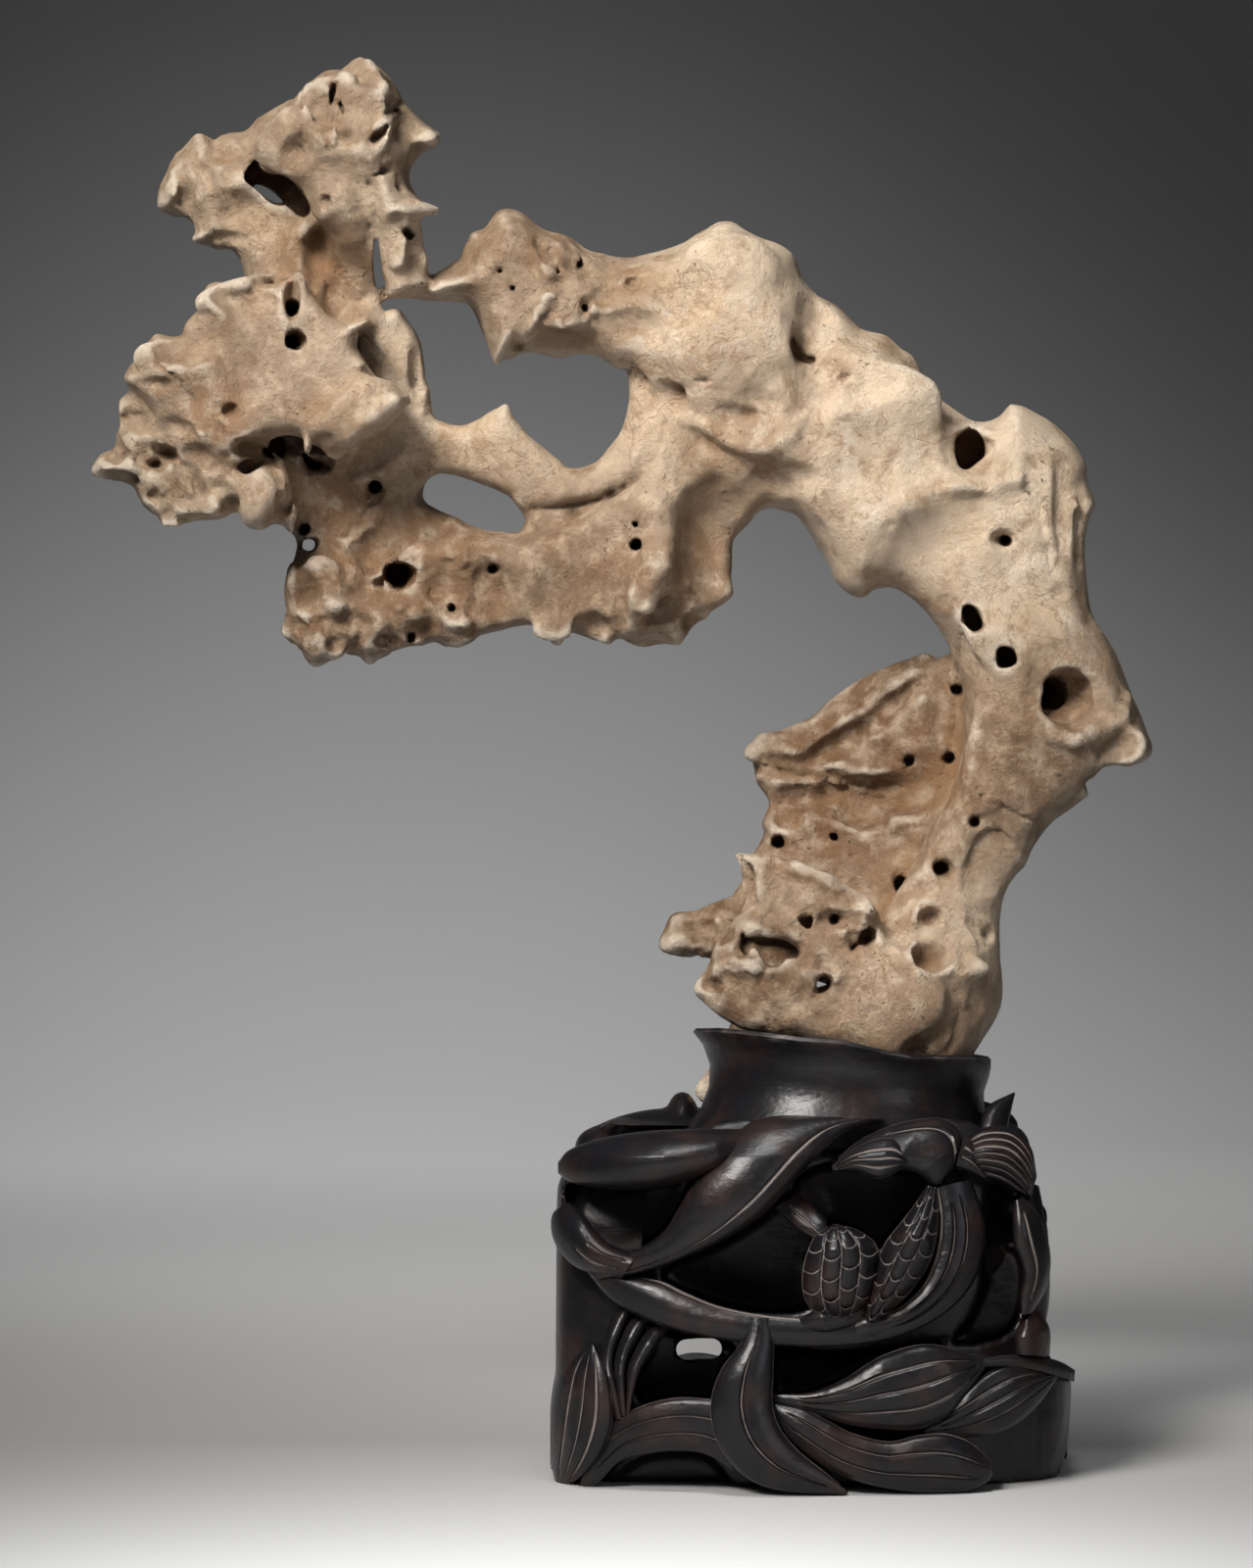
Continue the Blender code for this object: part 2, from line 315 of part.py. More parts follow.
# Raised ribs: side, fillet, points (column, row, radius, how far they stand out).
RIDGES = [
    (-1, 4, [(345, 462, 5, 2), (360, 440, 7, 5), (380, 422, 7, 7), (400, 410, 5, 6), (415, 408, 3, 4)]),
    (-1, 3, [(383, 196, 3, 1.5), (386, 230, 3, 2), (389, 262, 3, 2)]),
    (-1, 3, [(408, 214, 3, 1), (425, 212, 4, 3), (444, 215, 3, 2)]),
    (-1, 4, [(376, 68, 4, 1), (390, 90, 5, 1.8), (398, 112, 5, 2.2), (390, 130, 4, 2)]),
    (-1, 3, [(321, 224, 3, 1.5), (304, 243, 3, 2.5), (294, 264, 3, 2.5), (290, 284, 3, 1.5)]),
    (-1, 4, [(380, 250, 3, 2), (382, 280, 3, 2), (386, 300, 3, 2), (372, 318, 3, 2), (350, 322, 3, 2)]),
    (-1, 3, [
        (230, 294, 3, 1), (250, 289, 4, 2.5), (285, 284, 3, 2), (290, 300, 3, 2), (290, 328, 3, 2),
    ]),
    (-1, 3, [
        (695, 428, 3, 2), (716, 430, 4, 2.6), (738, 444, 5, 3.4), (762, 456, 5, 3.6), (786, 456, 5, 3.4),
        (806, 442, 5, 2.8), (820, 428, 4, 2),
    ]),
    (-1, 3, [(700, 402, 3, 1), (745, 406, 3, 1.2), (785, 418, 3, 1.2)]),
    (-1, 3, [(770, 768, 5, 3), (830, 744, 6, 4), (880, 704, 6, 4), (945, 676, 5, 3)]),
    (-1, 2, [(776, 792, 3, 2), (830, 788, 3, 1.5), (890, 806, 3, 1.5), (930, 812, 3, 1)]),
    (-1, 3, [
        (1060, 730, 4, 2), (1075, 748, 5, 3.5), (1097, 755, 5, 4), (1122, 748, 5, 4),
        (1146, 733, 4, 4), (1148, 712, 4, 2),
    ]),
    (-1, 3, [(762, 877, 4, 2), (790, 880, 4, 2.5), (840, 898, 5, 3), (880, 918, 4, 3)]),
    (-1, 3, [
        (536, 508, 5, 2.5), (570, 504, 6, 3.5), (610, 496, 6, 4), (643, 478, 6, 4),
        (660, 450, 5, 3), (664, 415, 4, 2),
    ]),
    (-1, 3, [(540, 250, 3, 1.5), (557, 276, 3, 2), (562, 300, 3, 2.5), (548, 326, 3, 2), (528, 352, 3, 1.5)]),
    (-1, 3, [(640, 632, 3, 2), (660, 606, 3.5, 2.5), (700, 597, 3, 2.5)]),
    (-1, 5, [(676, 550, 7, 3), (670, 578, 9, 6), (657, 612, 9, 7), (646, 640, 7, 4)]),
    (-1, 2, [(102, 480, 3, 2), (112, 475, 4, 3.5), (135, 476, 5, 3)]),
    (-1, 2, [(180, 470, 3, 2), (200, 482, 3, 2), (222, 486, 3, 2)]),
    (-1, 2, [(935, 940, 3, 2), (940, 924, 3, 2.5), (956, 921, 3, 2.5), (967, 932, 3, 2), (963, 948, 3, 1.5),
             (946, 951, 3, 1.5)]),
    (-1, 2, [(928, 978, 3, 2), (936, 961, 3, 2), (958, 957, 3, 2), (975, 968, 3, 2.5), (976, 986, 3, 2),
             (958, 996, 3, 2), (938, 993, 3, 2)]),
]
# Fine cracks and creases: side, rim, radius, points (column, row).
CREASES = [
    (-1, 1.2, 1.3, [(545, 522), (575, 517), (605, 512), (632, 502), (656, 484), (673, 458), (680, 430)]),
    (-1, 0.6, 1.2, [(1003, 812), (1020, 822), (1040, 832), (1060, 838)]),
    (-1, 1.0, 1.8, [(396, 116), (407, 107), (421, 100)]),
    (-1, 0.5, 1.0, [(376, 188), (384, 205), (386, 240)]),
    (-1, 0.6, 0.6, [(1060, 520), (1070, 560), (1075, 590)]),
    (-1, 0.8, 0.8, [(903, 988), (897, 1015), (884, 1040)]),
    (-1, 0.6, 1.4, [(392, 500), (372, 520), (352, 548)]),
    (-1, 0.6, 1.2, [(366, 338), (380, 352), (396, 372), (412, 398)]),
    (-1, 0.6, 1.2, [(160, 372), (182, 388), (196, 410)]),
    (-1, 0.6, 1.1, [(780, 782), (820, 792), (870, 800), (915, 810)]),
    (-1, 0.6, 1.3, [(980, 648), (978, 700), (972, 752), (962, 800), (940, 852)]),
]
# Worn holes: side, rim, points (column, depth under the face, row, radius).
BORES = [
    (-1, 1.5, [(298, -3, 314, 4.5), (296, 16, 318, 4)]),
    (-1, 1.5, [(303, -3, 347, 5.6), (300, 9, 349, 5), (298, 26, 352, 4)]),
    (-1, 0.6, [(234, -2, 419, 4.2), (234, 1.6, 419, 4.0)]),
    (-1, 1.5, [(418, -3, 238, 4.0), (417, 9, 240, 2.5)]),
    (-1, 1.0, [(312, -3, 540, 3.2), (312, 9, 540, 2.5)]),
    (-1, 1.0, [(316, -9, 557, 3.4), (315, 60, 557, 3.4)]),
    (-1, 1.5, [(382, -3, 497, 4), (384, 10, 495, 3)]),
    (-1, 1.5, [(411, -4, 589, 7.6), (409, 10, 588, 7.6), (405, 34, 586, 6.5)]),
    (-1, 1.0, [(385, -2, 596, 3), (395, 8, 594, 3)]),
    (-1, 1.0, [(503, -2, 581, 2.6), (503, 9, 581, 2)]),
    (-1, 1.0, [(461, -2, 620, 2.2), (462, 6, 621, 1.8)]),
    (-1, 1.0, [(421, -2, 650, 3), (421, 7, 650, 2)]),
    (-1, 1.0, [(650, -2, 556, 3.2), (650, 14, 556, 2.4)]),
    (-1, 1.0, [(649, -1, 535, 1.6), (649, 5, 535, 1.2)]),
    (-1, 1.0, [(531, -2, 355, 2.6), (532, 9, 355, 2)]),
    (-1, 1.5, [(592, -1, 271, 3.2), (590, 7, 268, 2.5)]),
    (-1, 1.5, [(598, -1, 314, 2.4), (597, 2, 314, 2.0)]),
    (-1, 1.0, [(570, -1, 277, 1.6), (571, 5, 279, 1.4)]),
    (-1, 1.0, [(524, -1, 294, 1.8), (524, 5, 294, 1.4)]),
    (-1, 1.0, [(510, -1, 276, 1.6), (512, 5, 278, 1.2)]),
    (-1, 2.0, [(994, -5, 452, 10), (990, 1, 458, 8)]),
    (-1, 1.5, [(994, -4, 632, 5), (992, 6, 632, 4)]),
    (-1, 1.5, [(1030, -4, 669, 4.6), (1026, 6, 670, 4)]),
    (-1, 1.5, [(1027, -2, 552, 3), (1026, 8, 550, 2.2)]),
    (-1, 1.5, [(1094, -12, 712, 17), (1090, -4, 711, 14)]),
    (-1, 1.0, [(1076, 2, 710, 9.5), (1068, 24, 708, 9), (1060, 46, 708, 7)]),
    (-1, 1.0, [(930, -2, 776, 3), (928, 8, 776, 2.4)]),
    (-1, 1.0, [(968, -2, 774, 3), (970, 8, 774, 2.2)]),
    (-1, 1.0, [(995, -2, 838, 3.2), (996, 8, 838, 2.4)]),
    (-1, 1.5, [(965, -3, 888, 4.6), (959, 12, 884, 4)]),
    (-1, 1.5, [(921, -3, 903, 4.2), (919, 10, 900, 3.4)]),
    (-1, 1.0, [(852, -2, 853, 2.4), (852, 6, 853, 2)]),
    (-1, 1.0, [(795, -2, 859, 2.8), (797, 8, 859, 2)]),
    (-1, 1.0, [(980, -2, 706, 3), (976, 8, 704, 2.2)]),
    (-1, 1.0, [(842, -3, 1004, 4.4), (840, 8, 1004, 3.6), (838, 40, 1004, 3.2)]),
    (-1, 1.0, [(851, -1, 937, 2.4), (852, 8, 938, 2)]),
    (-1, 1.5, [(886, -2, 957, 4.4), (882, 12, 954, 4)]),
]
# Worn holes at the back.
BACK_BORES = [
    (1, 1.5, [(1050, -3, 560, 7), (1048, 20, 556, 5)]),
    (1, 1.5, [(700, -3, 420, 6), (704, 18, 424, 4.5)]),
    (1, 1.5, [(930, -3, 620, 5), (926, 16, 622, 4)]),
    (1, 1.5, [(500, -3, 600, 5.5), (498, 18, 604, 4)]),
    (1, 1.5, [(260, -3, 330, 5), (262, 16, 334, 4)]),
    (1, 1.5, [(930, -3, 850, 7), (936, 24, 850, 5)]),
    (1, 1.0, [(820, -3, 300, 4), (818, 14, 302, 3)]),
    (1, 1.0, [(340, -3, 100, 4), (342, 12, 104, 3)]),
    (1, 1.5, [(1010, -3, 950, 6), (1004, 20, 950, 4.5)]),
    (1, 1.0, [(610, -3, 270, 4), (612, 14, 272, 3)]),
]
# Ragged holes in the front: outline on the sheet, depth under the face.
WELLS = [
    ([(339, 88), (344, 86), (343, 94), (341, 103), (338, 107), (336, 98)], 7),
    ([(346, 103), (349, 103), (352, 115), (350, 117)], 4),
    ([(326, 124), (331, 124), (336, 138), (339, 151), (336, 154), (330, 142)], 2.5),
    ([(380, 145), (380, 138), (386, 132), (397, 126), (395, 134), (388, 143)], 7),
    ([(402, 116), (402, 112), (412, 109), (421, 104), (422, 107), (411, 113)], 5),
    ([(330, 200), (336, 200), (338, 207), (333, 213), (329, 208)], 3),
    ([(271, 449), (279, 444), (289, 447), (294, 458), (291, 466), (283, 470), (272, 467), (268, 458)], 20),
    ([(247, 470), (256, 467), (264, 469), (270, 472), (262, 479), (254, 484), (247, 482), (242, 476)], 15),
    ([(308, 461), (316, 468), (326, 472), (332, 473), (327, 481), (317, 480), (311, 471)], 16),
    ([(290, 516), (294, 512), (298, 508), (301, 510), (299, 519), (295, 526), (291, 525)], 6),
    ([(816, 935), (824, 934), (831, 936), (828, 943), (826, 949), (820, 945), (816, 940)], 9),
    ([(893, 950), (889, 956), (881, 962), (870, 969), (876, 958), (885, 952)], 9),
    ([(1107, 797), (1109, 791), (1117, 789), (1124, 784), (1133, 781), (1146, 781), (1156, 788),
      (1146, 802), (1132, 818), (1118, 820), (1110, 808)], 40),
    ([(807, 348), (811, 343), (815, 354), (824, 363), (834, 365), (831, 370), (818, 369), (809, 360)], 2.2),
    ([(976, 447), (983, 440), (991, 437), (1001, 443), (1007, 455), (1006, 466), (999, 473), (990, 478),
      (982, 478), (976, 470), (974, 458)], 26),
    ([(984, 620), (992, 618), (999, 624), (1004, 634), (1004, 641), (996, 646), (989, 642), (984, 632)], 24),
    ([(1017, 664), (1022, 659), (1031, 660), (1037, 667), (1038, 676), (1030, 681), (1021, 680),
      (1017, 672)], 22),
]
# The same cut between two depths.
SHAFTS = [
    ([(249, 181), (255, 170), (262, 163), (268, 172), (277, 177), (291, 179), (303, 187), (312, 200),
      (318, 214), (313, 222), (302, 219), (291, 209), (270, 197), (257, 190)], -70, 22),
    ([(256, 188), (270, 189), (280, 195), (288, 203), (290, 208), (280, 208), (267, 199)], -70, 70),
    ([(757, 949), (762, 956), (780, 955), (796, 957), (806, 960), (815, 967), (817, 975), (812, 979),
      (804, 979), (798, 986), (791, 988), (783, 984), (776, 976), (770, 968), (762, 975),
      (757, 968)], -90, 20),
]
# Narrow slots right through: column, row, half width, half height in mm.
SLOTS = [(385, 264, 1.7, 12), (387, 280, 2.0, 8)]
# Webs that close thin places: fillet, points (column, depth, row, radius).
FILLS = [
    (4, [(330, 14, 312, 8), (352, 14, 318, 8), (378, 12, 314, 7)]),
    (4, [(336, 12, 331, 9), (358, 12, 335, 9), (378, 10, 331, 8)]),
    (6, [(256, 14, 446, 12), (284, 14, 458, 13), (318, 12, 478, 10)]),
    (8, [(350, -32, 205, 11), (360, -24, 235, 12), (366, -13, 264, 10), (364, -5, 290, 8)]),
    (5, [(318, -18, 312, 7), (345, -16, 326, 8), (368, -14, 330, 8), (384, -12, 322, 6)]),
    (9, [(905, -38, 1000, 17), (898, -36, 1048, 17)]), (9, [(950, -25, 1000, 17), (950, -25, 1055, 17)]),
    (3, [(752, -44, 871, 4), (790, -46, 879, 5), (836, -48, 901, 6), (880, -48, 925, 5.5)]),
]
# Spur that hangs over the back of the collar: fillet, points (column, depth, row, radius).
SPURS = [
    (5, [(800, 28, 1030, 13), (768, 62, 1048, 11), (750, 78, 1080, 8), (736, 82, 1100, 7.5),
         (723, 82, 1113, 6.5)]),
]
# Craggy areas: column, row, reach.
ROUGH_AREAS = [
    (165, 480, 90), (350, 610, 110), (800, 950, 120), (190, 190, 60), (330, 510, 80),
    (850, 845, 70), (640, 650, 50), (580, 300, 60), (340, 110, 60),
    (930, 885, 50), (450, 620, 80),
]
# How the stone wanders in depth: column, row, shift in mm, thickening.
SWAY = [
    (830, 1090, 0, 1.0), (900, 1010, 0, 1.0), (760, 1000, 0, 1.0), (1000, 900, 3, 1.06), (1080, 760, 9, 1.12),
    (1090, 500, 14, 1.2), (850, 400, 5, 1.4), (640, 330, -9, 1.25), (340, 130, -24, 1.2),
    (220, 200, -10, 1.1),
    (230, 400, -14, 1.15), (140, 480, -4, 1.1), (350, 600, 8, 1.25), (640, 580, 0, 1.35), (820, 790, 14, 1.2),
]
SWAY_REACH = 62.0

# Leaves of the front: both edges on the sheet, stand-off along them, crown, back, veins.
LEAVES = {
    "ribbon": dict(
        one=[(812, 1138), (790, 1139), (765, 1146), (745, 1164), (728, 1186), (708, 1206), (694, 1231),
             (680, 1254), (660, 1270), (632, 1282), (600, 1291)],
        two=[(903, 1142), (866, 1155), (833, 1182), (806, 1211), (779, 1239), (744, 1263), (702, 1282),
             (656, 1298), (612, 1306)],
        out=(0, 8, 12, 10, 8, 4), crown=7, thick=30, veins=((0.52, 0.04, 0.97),),
        edge=(0.5, 0.5), rows=100, cols=34, full=0.7, groove=1.2),
    "loop": dict(
        one=[(574, 1229), (564, 1240), (564, 1260), (574, 1280), (594, 1296), (634, 1306)],
        two=[(582, 1227), (598, 1241), (610, 1257), (627, 1271), (651, 1278)],
        out=(0, 4, 5, 4), crown=8, thick=28, veins=((-0.3, 0.45, 0.95), (0.3, 0.5, 0.95)), edge=(0.2, 0.7)),
    "boat": dict(
        one=[(598, 1296), (622, 1324), (652, 1343), (692, 1358), (742, 1368), (800, 1374), (860, 1374),
             (910, 1366), (952, 1349), (985, 1322), (1003, 1288), (1006, 1248), (992, 1203)],
        two=[(640, 1302), (674, 1307), (702, 1320), (732, 1332), (766, 1340), (806, 1345), (850, 1346),
             (888, 1345), (918, 1334), (942, 1312), (956, 1280), (960, 1245), (956, 1212)],
        out=(0, 3, 5, 6, 6, 5, 4), crown=3, thick=30, edge=(0.1, 1.0), rows=120, groove=2.2, rim=0.14,
        veins=((-0.2, 0.62, 0.98), (0.35, 0.62, 0.98))),
    "cob_r": dict(
        one=[(947, 1210), (926, 1240), (903, 1270), (893, 1300), (884, 1330), (882, 1352)],
        two=[(957, 1212), (959, 1245), (951, 1285), (930, 1318), (905, 1342), (886, 1358)],
        out=(2, 8, 8, 4), crown=8, thick=34, rows=150, cols=60, scales=(3, 7, 2.6), edge=(0.9, 0.5)),
    "cob_l": dict(
        one=[(852, 1249), (832, 1262), (821, 1290), (820, 1318), (830, 1338), (850, 1350)],
        two=[(856, 1249), (878, 1256), (896, 1272), (897, 1300), (888, 1328), (868, 1349)],
        out=(3, 9, 9, 4), crown=9, thick=36, rows=120, cols=70, scales=(4, 6, 2.4), edge=(0.8, 0.8)),
    "sepal_l": dict(
        one=[(816, 1346), (835, 1336), (858, 1332), (884, 1330)],
        two=[(820, 1360), (842, 1360), (862, 1356), (890, 1346)],
        out=(5, 9, 8, 4), crown=3, thick=28, edge=(0.8, 0.9)),
    "sepal_r": dict(
        one=[(858, 1352), (880, 1342), (905, 1342), (930, 1326)],
        two=[(866, 1376), (890, 1368), (915, 1358), (940, 1340)],
        out=(3, 6, 6, 4), crown=3, thick=28, edge=(0.6, 0.6)),
    "small_leaf": dict(
        one=[(816, 1219), (828, 1230), (843, 1246), (846, 1262)],
        two=[(791, 1232), (804, 1246), (820, 1258), (836, 1266)],
        out=(-6, -4, 0, 3), crown=2, thick=24, veins=((0.1, 0.1, 0.9),), edge=(0.7, 0.8)),
    "curl": dict(
        one=[(856, 1181), (876, 1165), (903, 1151), (932, 1143), (960, 1141), (977, 1149),
             (983, 1166), (978, 1186), (966, 1202)],
        two=[(860, 1194), (890, 1196), (915, 1194), (932, 1196), (943, 1202), (950, 1208),
             (956, 1210), (961, 1209)],
        out=(2, 6, 9, 9, 5), crown=5, thick=28, edge=(0.7, 0.3), veins=((-0.6, 0.3, 0.9),)),
    "feather": dict(
        one=[(849, 1190), (868, 1175), (893, 1163), (915, 1163), (929, 1181)],
        two=[(852, 1195), (873, 1194), (893, 1202), (908, 1200), (924, 1190)],
        out=(9, 14, 15, 12), crown=3, thick=26, edge=(0.8, 0.8), veins=(-0.45, 0.0, 0.45), groove=1.6),
    "cap": dict(
        one=[(985, 1162), (1008, 1150), (1035, 1151), (1053, 1171), (1059, 1200)],
        two=[(990, 1198), (1008, 1204), (1024, 1210), (1038, 1218), (1052, 1224)],
        out=(0, 0, -2, -6), crown=13, thick=42, veins=(-0.75, -0.5, -0.25, 0, 0.25, 0.5, 0.75),
        groove=1.8, cols=40, edge=(0.3, 0.3)),
    "cap_front": dict(
        one=[(984, 1160), (992, 1164), (1001, 1176), (1008, 1200)],
        two=[(976, 1192), (984, 1194), (995, 1198), (1006, 1203)],
        out=(8, 8, 7, 5), crown=3, thick=28, veins=(-0.4, 0.2), edge=(0.6, 0.6)),
    "tip": dict(
        one=[(1000, 1158), (1003, 1138), (1012, 1126), (1034, 1115)],
        two=[(1028, 1158), (1031, 1142), (1034, 1128), (1037, 1115)],
        out=(-30, -30, -30), crown=4, thick=26, edge=(0.3, 0.3)),
    "crescent": dict(
        one=[(1036, 1226), (1034, 1248), (1036, 1272), (1045, 1298), (1042, 1322), (1043, 1342)],
        two=[(1044, 1221), (1060, 1238), (1070, 1264), (1073, 1290), (1068, 1316), (1054, 1340)],
        out=(8, 10, 10, 8), crown=5, thick=34, veins=((0.0, 0.1, 0.9),), edge=(0.3, 0.6)),
    "lump": dict(
        one=[(1042, 1352), (1036, 1366), (1038, 1382)],
        two=[(1060, 1335), (1072, 1356), (1072, 1384)],
        out=(2, 4, 4), crown=7, thick=38, edge=(0.2, 0.3)),
    "pod": dict(
        one=[(570, 1186), (582, 1173), (612, 1162), (652, 1155), (700, 1152), (756, 1152), (792, 1150)],
        two=[(570, 1197), (584, 1207), (616, 1213), (655, 1214), (700, 1206), (748, 1190), (786, 1176)],
        out=(2, 8, 10, 7, -8), crown=15, thick=38, cols=36, edge=(0.1, 0.1), full=0.6),
    "pod_leaf": dict(
        one=[(655, 1200), (680, 1190), (705, 1183), (728, 1176)],
        two=[(655, 1207), (682, 1206), (702, 1198), (728, 1184)],
        out=(14, 19, 19, 14), crown=1.5, thick=26, edge=(0.8, 0.6)),
    "up_right": dict(
        one=[(790, 1422), (828, 1421), (862, 1407), (895, 1386),
             (928, 1374), (955, 1372), (984, 1380), (1011, 1386)],
        two=[(790, 1433), (828, 1442), (868, 1454), (910, 1459),
             (942, 1458), (967, 1447), (988, 1424), (1012, 1389)],
        out=(0, 5, 7, 5, 2), crown=4, thick=32,
        veins=((-0.5, 0.1, 0.95), (0.0, 0.1, 0.95), (0.5, 0.1, 0.95)), edge=(0.7, 0.4), rows=80),
    "far_right": dict(
        one=[(944, 1459), (976, 1428), (1008, 1401), (1040, 1391), (1080, 1401)],
        two=[(946, 1464), (990, 1467), (1030, 1458), (1060, 1434), (1081, 1404)],
        out=(0, 3, 4, 2), crown=3, thick=32,
        veins=((-0.45, 0.1, 0.95), (0.0, 0.1, 0.95), (0.45, 0.1, 0.95)), edge=(0.6, 0.6)),
    "band_r": dict(
        one=[(1000, 1386), (1030, 1383), (1060, 1384), (1082, 1389), (1098, 1398)],
        two=[(1004, 1396), (1034, 1396), (1062, 1400), (1084, 1406), (1097, 1410)],
        out=(2, 4, 6, 8), crown=2, thick=42, edge=(0.8, 0.4)),
    "low_right": dict(
        one=[(792, 1432), (820, 1437), (846, 1450), (872, 1463), (908, 1471),
             (936, 1465), (965, 1463), (991, 1472), (1010, 1490), (1013, 1500)],
        two=[(790, 1447), (806, 1468), (830, 1488), (852, 1502), (884, 1514),
             (925, 1522), (962, 1524), (992, 1522), (1009, 1512), (1014, 1503)],
        out=(2, 7, 8, 8, 6), crown=4, thick=32,
        veins=((-0.35, 0.05, 0.97), (0.4, 0.08, 0.93)), edge=(0.9, 0.5), rows=90),
    "middle": dict(
        one=[(766, 1345), (757, 1370), (738, 1395), (728, 1420), (726, 1446),
             (735, 1476), (753, 1500), (778, 1516), (812, 1523), (862, 1525)],
        two=[(786, 1345), (790, 1370), (790, 1400), (789, 1430), (796, 1456),
             (815, 1480), (840, 1500), (856, 1513), (864, 1522)],
        out=(6, 10, 12, 12, 10), crown=4, thick=32, veins=((0.0, 0.02, 0.93),), edge=(0.8, 0.9), rows=90),
    "oval": dict(
        one=[(568, 1516), (563, 1488), (564, 1440), (574, 1402), (588, 1382), (604, 1372)],
        two=[(577, 1517), (598, 1504), (617, 1478), (626, 1445), (620, 1400), (606, 1372)],
        out=(2, 6, 7, 4), crown=4, thick=32,
        veins=((-0.5, 0.06, 0.94), (-0.05, 0.06, 0.94), (0.42, 0.06, 0.94)), edge=(0.5, 0.8), rows=72),
    "arch": dict(
        one=[(606, 1472), (625, 1450), (648, 1438), (670, 1430), (697, 1426), (727, 1428), (748, 1430)],
        two=[(590, 1524), (612, 1512), (632, 1492), (655, 1484), (690, 1480), (722, 1484), (748, 1500)],
        out=(0, 2, 3, 3, 4), crown=2, thick=34,
        veins=((-0.3, 0.1, 0.97), (0.35, 0.1, 0.97)), edge=(0.8, 0.4), rows=64),
    "strand_1": dict(
        one=[(640, 1322), (622, 1350), (612, 1385), (619, 1420), (628, 1448)],
        two=[(654, 1326), (637, 1354), (626, 1388), (631, 1420), (636, 1448)],
        out=(-16, -5, 2, 2), crown=3, thick=30, edge=(0.5, 0.6)),
    "strand_2": dict(
        one=[(660, 1326), (640, 1354), (628, 1388), (630, 1420), (634, 1445)],
        two=[(676, 1334), (655, 1360), (640, 1392), (639, 1420), (640, 1445)],
        out=(-16, -4, 3, 2), crown=3, thick=30, edge=(0.7, 0.6)),
    "strand_3": dict(
        one=[(682, 1336), (659, 1361), (642, 1393), (640, 1420), (638, 1445)],
        two=[(694, 1346), (674, 1370), (655, 1398), (647, 1422), (644, 1442)],
        out=(-16, -3, 3, 1), crown=3, thick=30, edge=(0.7, 0.7)),
}
# The same leaves at the sides and the back: name, turn in degrees, mirrored, lift, reach.
ROUND_THE_BLOCK = [
    ("ribbon", 180, False, 0, 124), ("loop", 180, False, 0, 117), ("boat", 180, False, 0, 124),
    ("cob_r", 180, False, 0, 128), ("cob_l", 180, False, 0, 128), ("curl", 180, False, 0, 128),
    ("cap", 180, False, 0, 124), ("pod", 180, False, 0, 112), ("up_right", 180, False, -16, 128),
    ("far_right", 180, False, -6, 124), ("low_right", 180, False, 0, 128), ("middle", 180, False, 0, 128),
    ("oval", 180, False, 0, 127), ("arch", 180, False, 0, 128), ("crescent", 180, False, 0, 120),
    ("small_leaf", 180, False, 0, 128),
    ("middle", 88, True, -8, 108), ("up_right", 98, False, -12, 110), ("low_right", 96, False, 0, 112),
    ("curl", 94, False, -6, 104), ("boat", 106, True, 0, 104), ("middle", -80, False, 0, 112),
    ("up_right", -98, True, -14, 113), ("low_right", -96, True, 0, 112), ("ribbon", -98, False, -2, 112),
    ("boat", -104, False, 2, 110),
]
# Rings of the collar from the outside foot, over the rim, to the socket's floor:
# left column and row, right column and row, half depth, how much of the wave, wear.
COLLAR_RINGS = [
    (688, 1172, 1016, 1172, 82, 0, 0), (698, 1152, 1012, 1152, 78, 0, 0),
    (716, 1130, 1005, 1132, 73, 0, 0), (724, 1108, 1005, 1114, 70.5, 0, 0),
    (725, 1086, 1010, 1099, 71, 0.3, 0), (718, 1066, 1012, 1090, 74, 0.7, 0.1),
    (708, 1053, 1012, 1081, 78, 1, 0.5), (711, 1049, 1009, 1078, 77, 1, 0.3),
    (720, 1050, 1004, 1079, 73, 1, 0.1), (728, 1062, 1000, 1089, 69.5, 0.8, 0),
    (733, 1082, 997, 1106, 67.5, 0.3, 0), (738, 1101, 992, 1120, 65.5, 0, 0),
]
COLLAR_WAVE = [(-1, 0), (-0.85, 2.0), (-0.6, 1.5), (-0.3, 0.5), (0, 1.0), (0.25, -1.5), (0.5, -3.5),
               (0.7, -2.0), (1, 0)]
# Core of the stand on the sheet.
BLOCK_OUTLINE = [
    (720, 1150), (690, 1156), (640, 1166), (604, 1180), (580, 1192), (570, 1206), (567, 1225),
    (566, 1300), (565, 1400), (565, 1540), (1000, 1540), (1083, 1540), (1083, 1500), (1090, 1482),
    (1096, 1440), (1097, 1406), (1084, 1397), (1062, 1386), (1062, 1368), (1058, 1350), (1050, 1334),
    (1056, 1310), (1056, 1285), (1050, 1250), (1038, 1224), (1042, 1208), (1040, 1190), (1030, 1174),
    (1014, 1162), (1000, 1150), (960, 1140), (760, 1140),
]
# Mounds behind the collar: column, depth, row, radii, turn.
MOUNDS = [
    (697, 40, 1142, (8.5, 26, 14), 0), (655, 34, 1160, (34, 34, 13), -12), (612, 22, 1170, (12, 26, 10), 0),
    (1020, 30, 1172, (16, 30, 14), 0), (960, 62, 1150, (40, 22, 16), 0), (820, 66, 1164, (44, 18, 12), 0),
]
